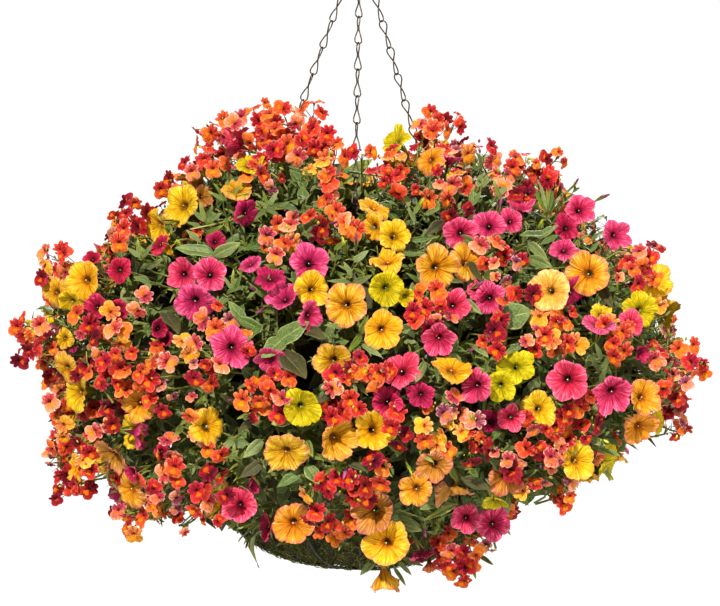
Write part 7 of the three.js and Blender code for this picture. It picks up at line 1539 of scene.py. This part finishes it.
def broad_leaf(seed, rows=9, cols=6):
    """a large leaf along +Y, half width 1 at its widest: domed halves, a sunken midrib and a waved edge"""
    q = np.random.default_rng(seed)
    t = np.linspace(0, 1, rows + 1)
    w = np.sin(math.pi * np.clip(t, 0.02, 0.992) ** q.uniform(0.66, 0.84)) ** 0.8
    w[-1] = 0.02
    ph, curl, bend = q.uniform(0, 6.28, 4), q.uniform(-0.08, 0.26), q.uniform(-0.12, 0.12)
    V, F, U = [], [], []
    for i, s in enumerate(t):
        for j in range(cols + 1):
            e = -1 + 2 * j / cols
            zz = 0.16 * abs(e) ** 0.7 * w[i] - 0.10 * e * e * w[i] - curl * s * s + 0.030 * abs(e) ** 2 * math.sin(11 * s + ph[0 if e > 0 else 1])
            zz += 0.012 * math.sin(24 * s - 9 * abs(e)) * (1 - abs(e)) * min(1, abs(e) * 4)
            V.append([e * w[i] * (1 + 0.06 * math.sin(13 * s + ph[2 if e > 0 else 3])) + bend * s * s, s - 0.06 * abs(e) * w[i] * (1 - s), zz])
    for i in range(rows):
        for j in range(cols):
            a = (cols + 1) * i + j
            F.append([a, a + 1, a + cols + 2, a + cols + 1])
            U.append([[t[i], j / cols], [t[i], (j + 1) / cols], [t[i + 1], (j + 1) / cols], [t[i + 1], j / cols]])
    return np.array(V), np.array(F), tile_scale(np.array(U), LCOLS, LROWS)


BROAD_T = [broad_leaf(s) for s in range(7)]
NARROW_T = [broad_leaf(s, 6, 2) for s in range(20, 24)]
r = np.random.default_rng(611)
for i in range(len(hf)):
    up_ = unit(unit(CAM - hf[i]) * 1.0 + UP * r.uniform(-0.1, 0.5) + r.normal(size=3) * 0.22)
    R = frames_from((ht[i] - hf[i])[None], up_[None])
    slim = hw[i] < 8
    V, F, U = (NARROW_T if slim else BROAD_T)[int(r.integers(0, 4 if slim else 7))]
    # d leaves take the painted-shade colour of the inner leaves
    kind = {"b": 0, "n": 1, "d": 2, "p": 5}[hk[i]]
    size = np.array([[hw[i] * 0.5, hl[i], hl[i] * 0.8]])
    row = {"b": r.integers(1, LROWS), "n": r.integers(1, LROWS), "d": 3, "p": 1}[hk[i]]
    c = int(cell_of(hf[i:i + 1])[0])
    leaf_bags[c].batch(place(V, R, hf[i:i + 1], size), F, U, tile_off([{0: 0, 1: 1, 2: 2, 5: 3}[kind]], [row], LCOLS, LROWS), [kind])
    # its stalk runs back into the plant
    back = C + (hf[i] - C) * 0.90
    tv_, tf_, tu_ = tubes(np.stack([hf[i] + (ht[i] - hf[i]) * 0.04, (hf[i] * 0.6 + back * 0.4) - (ht[i] - hf[i]) * 0.15, back])[None], np.array([0.8, 1.0, 1.2]), 4)
    leaf_bags[c].batch(tv_, tf_, tile_scale(tu_, LCOLS, LROWS), tile_off([3], [2], LCOLS, LROWS), [4])
for c, name in enumerate(CELLS):
    leaf_bags[c].build(f"leaves_{name}", LMATS, [f"foliage_{name}"], "leaves")

# ---------------------------------------------------------------- hanging gear
WIRE = wire_material("bronze_wire", (58, 50, 44), (92, 80, 70), rough=0.38, metal=0.8)
CHAINM = wire_material("chain_wire", (84, 74, 64), (142, 126, 110), rough=0.34, metal=0.8, scale=420)
BOWLM = wire_material("bowl_wire", (40, 46, 34), (62, 68, 50), rough=0.45, metal=0.35)


def catmull(P, n):
    P = np.asarray(P, float)
    Q = np.vstack([2 * P[0] - P[1], P, 2 * P[-1] - P[-2]])
    out = []
    for i in range(1, len(Q) - 2):
        for t in np.linspace(0, 1, n, endpoint=False):
            a, b, c_, d_ = Q[i - 1], Q[i], Q[i + 1], Q[i + 2]
            out.append(0.5 * ((2 * b) + (-a + c_) * t + (2 * a - 5 * b + 4 * c_ - d_) * t * t + (-a + 3 * b - 3 * c_ + d_) * t ** 3))
    out.append(P[-1])
    return np.array(out)


def simple(name, parts, mat, replaces, slot):
    b = Bag()
    for V, F, U in parts:
        b.batch(V[None] if V.ndim == 2 else V, F, U, np.zeros((1 if V.ndim == 2 else len(V), 2)), np.zeros(1 if V.ndim == 2 else len(V), int))
    return b.build(name, [mat], replaces, slot)


def circle(center, R, nrm, n=64, stretch=1.0, along=None):
    z = unit(np.asarray(nrm, float))
    x = np.array([1.0, 0, 0]) if along is None and abs(z[2]) > 0.9 else (np.array([0, 0, 1.0]) if along is None else np.asarray(along, float))
    x = unit(x - z * (x @ z))
    y = np.cross(z, x)
    a = np.arange(n) / n * 2 * math.pi
    return np.asarray(center) + R * stretch * np.cos(a)[:, None] * x + R * np.sin(a)[:, None] * y


eyeR = 7.5
eyeZ = GATHER_Z + 2 * RING_R + RING_WIRE + 6.2
pts = []
a = 205.0
while a >= -0.01:
    t = math.radians(a)
    pts.append((-HOOK_R * math.cos(t), 0, HOOK_WIRE - HOOK_R + HOOK_R * math.sin(t)))
    a -= 20.5
pts.reverse()
path = [(0.5, 0, eyeZ + eyeR + 1), (-1, 0, eyeZ + eyeR + 12), (-7, 0, eyeZ + eyeR + 24)] + pts[1:]
hp = catmull(path, 6)
rad = np.full(len(hp), HOOK_WIRE)
rad[-1] = 0.05
hp = np.vstack([hp, hp[-1] + (hp[-1] - hp[-2]) * 0.02])
rad = np.append(np.full(len(hp) - 1, HOOK_WIRE), 0.02)
tv, tf, tu = tubes(hp[None], rad, 12)
ringZ = eyeZ - eyeR + HOOK_WIRE + RING_WIRE + 0.35 - RING_R
simple("hook_smooth", [(tv, tf, tu), closed_tube(circle((0, 0, eyeZ), eyeR, (0, 1, 0), 40), HOOK_WIRE, 12)], WIRE, ["top_hook"], "hook_wire")
simple("ring_smooth", [closed_tube(circle((0, 0, ringZ), RING_R, (1, 0, 0), 56), RING_WIRE, 10)], WIRE, ["gathering_ring"], "hook_wire")


def link_path(p0, dirn, A, B, L, wu, wl, waist=0.50):
    """closed wire of one figure-of-eight link from p0 along dirn: upper loop in the A plane, lower in the B plane"""
    out = []
    g = 1.05                                     # the two wires lie side by side at the waist

    ts = np.linspace(0, math.pi / 2, 7)
    half = []
    # top arc, then straight sides that close in on the waist
    for t in ts:
        half.append((wu * math.sin(t), wu * (1 - math.cos(t)) * 1.15))
    z0 = half[-1][1]
    zw = L * waist
    for k in range(1, 6):
        f = k / 5
        s = f * f * (3 - 2 * f)
        half.append((wu + (g * 0.55 - wu) * s, z0 + (zw - z0) * f))
    up = half
    lowh = []
    zb = L
    for k in range(1, 5):
        f = k / 5
        s = f ** 0.8
        lowh.append((g * 0.55 + (wl - g * 0.55) * s, zw + (zb - wl * 0.95 - zw) * f))
    for t in np.linspace(0, math.pi / 2, 6):
        lowh.append((wl * math.cos(t), zb - wl * 0.95 + wl * 0.95 * math.sin(t)))
    down = [("A", x, z) for x, z in up] + [("B", x, z) for x, z in lowh]
    back = [("B", -x, z) for x, z in reversed(lowh[:-1])] + [("A", -x, z) for x, z in reversed(up)][:-1]
    P = []
    for which, x, z in down + back:
        P.append(p0 + dirn * z + (A if which == "A" else B) * x)
    P = np.array(P)
    # soften the corner where the wire changes plane
    for _ in range(2):
        P = P * 0.5 + 0.25 * (np.roll(P, 1, 0) + np.roll(P, -1, 0))
    return P


for name, deg in RIM_POINTS.items():
    a = math.radians(deg)
    foot = np.array([RIM_R * math.cos(a), RIM_R * math.sin(a), RIM_Z])
    tangent = np.array([-math.sin(a), math.cos(a), 0.0])
    side = {"left": 0.0, "front": -6.0, "right": 6.0}[name]
    head = np.array([0.0, side, ringZ - math.sqrt(RING_R ** 2 - side ** 2)])
    dirn = unit(foot - head)
    clip = foot - dirn * (CLIP_R - CLIP_WIRE - RIM_WIRE - 0.35)
    simple(f"clip_smooth_{name}", [closed_tube(circle(clip, CLIP_R, tangent, 36, 1.0, dirn), CLIP_WIRE, 8)], WIRE, [f"rim_clip_{name}"], "hook_wire")
    p0 = head - dirn * (RING_WIRE + 1.1 + 0.9)
    p1 = clip - dirn * (CLIP_R - CLIP_WIRE - 0.35 - 1.1)
    pitch = np.linalg.norm(p1 - p0) / LINKS
    # the lower loop of a link is seen open on the front chain, closed on the others
    w = np.cross(dirn, tangent)
    view = unit(np.array([1.0, 0, 0]) - dirn * dirn[0])
    deepv = np.cross(dirn, view)
    A, B = (view, deepv) if name == "right" else (deepv, view)
    lean = {"left": -0.34, "front": 0.36, "right": 0.48}[name]
    b = Bag()
    for i in range(LINKS):
        ang = lean + rng.normal() * 0.10
        A2, B2 = A * math.cos(ang) + B * math.sin(ang), -A * math.sin(ang) + B * math.cos(ang)
        if i == 0:
            A2 = unit(np.array([1.0, 0, 0]) - dirn * dirn[0]); B2 = np.cross(dirn, A2)
        if i == LINKS - 1:
            B2 = unit(tangent - dirn * (tangent @ dirn)); A2 = np.cross(dirn, B2)
            B2, A2 = B2, A2
        L = pitch + (2.0 * LINK_WIRE if i < LINKS - 1 else 0.0)
        P = link_path(p0 + dirn * (pitch * i), dirn, A2, B2, L, 5.1 if name == "right" else 4.5, 4.4)
        V, F, U = closed_tube(P, LINK_WIRE, 7)
        b.batch(V[None], F, U, np.zeros((1, 2)), np.zeros(1, int))
    b.build(f"chain_links_{name}", [CHAINM], [f"chain_{name}"], "chain_wire")

# wire bowl
parts = [closed_tube(circle((0, 0, RIM_Z), RIM_R, (0, 0, 1), 96), RIM_WIRE, 8)]
for depth in (72, 138, BOWL_DEPTH - 4):
    z = RIM_Z - depth
    parts.append(closed_tube(circle((0, 0, z), float(bowl_r(z)), (0, 0, 1), 80), RIB_WIRE, 6))
ribs = []
for k in range(RIBS):
    a = k / RIBS * 2 * math.pi
    row = []
    for depth in np.concatenate([np.linspace(0, 150, 11), np.linspace(160, BOWL_DEPTH - 4, 8)]):
        rr = float(bowl_r(RIM_Z - depth))
        row.append((rr * math.cos(a), rr * math.sin(a), RIM_Z - depth))
    ribs.append(row)
parts.append(tubes(np.array(ribs), RIB_WIRE, 6))
simple("wire_bowl_smooth", parts, BOWLM, ["wire_bowl"], "bowl_wire")

# ---------------------------------------------------------------- moss and compost
MOSS = moss_material("moss", (44, 46, 16), (88, 90, 36), (118, 96, 50), (150, 150, 72))
MOSS2 = moss_material("moss_strand", (96, 100, 34), (164, 164, 70), (186, 158, 92), (206, 206, 124))
r = np.random.default_rng(515)
nu, nv = 120, 40
b = Bag()
prof = []
for i in range(nv + 1):
    t = i / nv * math.pi / 2
    u_, v_ = math.sin(t) ** (2 / BOWL_POWER), math.cos(t) ** (2 / BOWL_POWER)
    prof.append(((RIM_R - 0.6) * v_, RIM_Z - 7 - (BOWL_DEPTH - 9.5) * u_))
inn = [(max(rr - 15 * min(1, rr / 60), 0), z + 13) for rr, z in prof[::-1]]
allp = prof[::-1] + [(RIM_R - 8, RIM_Z - 5), (RIM_R - 16, RIM_Z - 6)] + [(rr, z) for rr, z in inn[::-1] if z < RIM_Z - 8]
K = len(allp)
ang = np.arange(nu) / nu * 2 * math.pi
V = np.zeros((K, nu, 3))
for k, (rr, z) in enumerate(allp):
    V[k] = np.stack([rr * np.cos(ang), rr * np.sin(ang), np.full(nu, z)], -1)
V = V.reshape(-1, 3)
nn = unit(V - np.array([0, 0, -640.0]))
lump = 0
for s in range(5):
    kx = r.normal(size=3) * (0.05 * (1.7 ** s))
    lump = lump + np.sin(V @ kx + r.uniform(0, 6)) * (1.8 / (1.5 ** s))
outside = np.zeros(K, bool)
outside[: nv + 1] = True
V = V + nn * (lump * np.repeat(outside, nu) - 1.5)[:, None]
F, U = [], []
for k in range(K - 1):
    for j in range(nu):
        j2 = (j + 1) % nu
        F.append([k * nu + j, k * nu + j2, (k + 1) * nu + j2, (k + 1) * nu + j])
        U.append([[k / K, j / nu], [k / K, (j + 1) / nu], [(k + 1) / K, (j + 1) / nu], [(k + 1) / K, j / nu]])
b.batch(V[None], np.array(F), np.array(U), np.zeros((1, 2)), np.zeros(1, int))
# strands lying on the outside
n = 2900
dd = unit(r.normal(size=(n, 3)) * np.array([1, 1, 0.9]))
dd[:, 2] = -np.abs(dd[:, 2])
t = np.arcsin(-dd[:, 2])
az = np.arctan2(dd[:, 1], dd[:, 0])
u_, v_ = np.sin(t) ** (2 / BOWL_POWER), np.cos(t) ** (2 / BOWL_POWER)
S = np.stack([(RIM_R + 0.4) * v_ * np.cos(az), (RIM_R + 0.4) * v_ * np.sin(az), RIM_Z - 7 - (BOWL_DEPTH - 8.5) * u_], -1)
N = unit(S - np.array([0, 0, -640.0]))
tan = unit(np.cross(N, r.normal(size=(n, 3))))
tan2 = np.cross(N, tan)
Ls = r.uniform(9, 26, n)[:, None]
cv = r.normal(size=(n, 1)) * 0.5
P = np.stack([S + tan * Ls * (f - 0.5) + tan2 * Ls * cv * (f - 0.5) ** 2 * 2 + N * (0.9 + h + (r.random((n, 1)) * 2.4) * math.sin(math.pi * f)) for f, h in ((0, -1.5), (0.33, 0.6), (0.66, 1.0), (1.0, r.uniform(-1, 2)))], 1)
V, F, U = tubes(P, np.array([0.25, 0.75, 0.65, 0.12]), 3)
b.batch(V, F, U, np.zeros((n, 2)), np.ones(n, int))
b.build("moss_strands", [MOSS, MOSS2], ["moss_lining"], "moss")

SOIL = moss_material("compost", (30, 22, 15), (52, 38, 26), (70, 52, 36), (92, 74, 54))
b = Bag()
nr, na = 26, 72
rr = np.linspace(0.5, 171, nr)
V = np.zeros((nr, na, 3))
for k in range(nr):
    a = np.arange(na) / na * 2 * math.pi
    V[k] = np.stack([rr[k] * np.cos(a), rr[k] * np.sin(a), np.full(na, SOIL_Z - 2.0)], -1)
V = V.reshape(-1, 3)
for s in range(6):
    kx = r.normal(size=2) * (0.05 * (1.6 ** s))
    V[:, 2] += np.sin(V[:, :2] @ kx + r.uniform(0, 6)) * 1.8 / (1.35 ** s)
side = []
for z in np.linspace(SOIL_Z - 8, -770, 9):
    q = max(float(bowl_r(z)) - 22, 8)
    side.append(np.stack([q * np.cos(a), q * np.sin(a), np.full(na, z)], -1))
V = np.vstack([V, np.array(side).reshape(-1, 3), [[0, 0, -774]]])
K = nr + 9
F, U = [], []
for k in range(K - 1):
    for j in range(na):
        j2 = (j + 1) % na
        F.append([k * na + j2, k * na + j, (k + 1) * na + j, (k + 1) * na + j2])
        U.append([[k / K, (j + 1) / na], [k / K, j / na], [(k + 1) / K, j / na], [(k + 1) / K, (j + 1) / na]])
T = [[(K - 1) * na + j, K * na, (K - 1) * na + (j + 1) % na] for j in range(na)]
b.more(V[None], [(np.array(F), np.array(U)), (np.array(T), np.zeros((na, 3, 2)))], np.zeros((1, 2)), np.zeros(1, int))
n = 900
cr = blob_template(1.0, 0.8, 5, 3)
ra, th = 168 * np.sqrt(r.random(n)), r.uniform(0, 6.28, n)
pos = np.stack([ra * np.cos(th), ra * np.sin(th), SOIL_Z - 1 + r.uniform(-1, 2.5, n)], -1)
b.batch(place(cr[0], basis(unit(r.normal(size=(n, 3))), r.uniform(0, 6, n)), pos, r.uniform(0.8, 3.2, (n, 3))), cr[1], cr[2], np.zeros((n, 2)), np.zeros(n, int))
b.build("compost_crumbs", [SOIL], ["compost"], "compost")

# ---------------------------------------------------------------- floor, light
m = Nodes("floor")
fmat = m.out((200, 200, 199), rough=0.9, spec=0.1)
FLOOR_Z = -2.6
me = bpy.data.meshes.new("floor")
me.from_pydata([(9.2 * math.cos(k / 60 * math.pi), 9.2 * math.sin(k / 60 * math.pi), FLOOR_Z) for k in range(120)], [], [tuple(range(120))])
me.materials.append(fmat)
floor = bpy.data.objects.new("floor", me)
bpy.context.scene.collection.objects.link(floor)

world = bpy.data.worlds.new("studio")
bpy.context.scene.world = world
world.use_nodes = True
wt = world.node_tree
bg = wt.nodes["Background"]
bg.inputs[0].default_value = (1.0, 1.0, 1.0, 1.0)
bg.inputs[1].default_value = 1.02
soft = wt.nodes.new("ShaderNodeBackground")
soft.inputs[0].default_value = (0.96, 0.98, 1.0, 1.0)
soft.inputs[1].default_value = 0.115
ray = wt.nodes.new("ShaderNodeLightPath")
both = wt.nodes.new("ShaderNodeMixShader")
wt.links.new(ray.outputs["Is Camera Ray"], both.inputs[0])
wt.links.new(soft.outputs[0], both.inputs[1])
wt.links.new(bg.outputs[0], both.inputs[2])
wt.links.new(both.outputs[0], wt.nodes["World Output"].inputs[0])


def sun(name, azimuth, elevation, strength, angle, col=(1, 1, 1)):
    """a soft lamp: azimuth 0 is behind the camera"""
    d = bpy.data.lights.new(name, "SUN")
    d.energy = strength
    d.angle = math.radians(angle)
    d.color = col
    o = bpy.data.objects.new(name, d)
    bpy.context.scene.collection.objects.link(o)
    a, e = math.radians(azimuth), math.radians(elevation)
    frm = Vector((math.sin(a) * math.cos(e), -math.cos(a) * math.cos(e), math.sin(e)))
    o.rotation_euler = frm.to_track_quat("Z", "Y").to_euler()
    o.location = frm * 3
    return o


sun("key", -20, 35, 4.6, 2, (1.0, 0.985, 0.96))
sun("fill", 42, 6, 1.75, 35)
sun("rear", 165, 36, 3.7, 30)
bpy.context.scene.view_settings.view_transform = "Standard"
bpy.context.scene.view_settings.look = "None"
bpy.context.scene.view_settings.gamma = 0.92
bpy.context.scene.view_settings.exposure = 0.10

total = sum(len(p.vertices) - 2 for o in bpy.data.objects if o.type == "MESH" and "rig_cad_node" not in o and o.name != "floor" for p in o.data.polygons)

print("added triangles", total, "florets", len(fp), "petunias", len(pet))
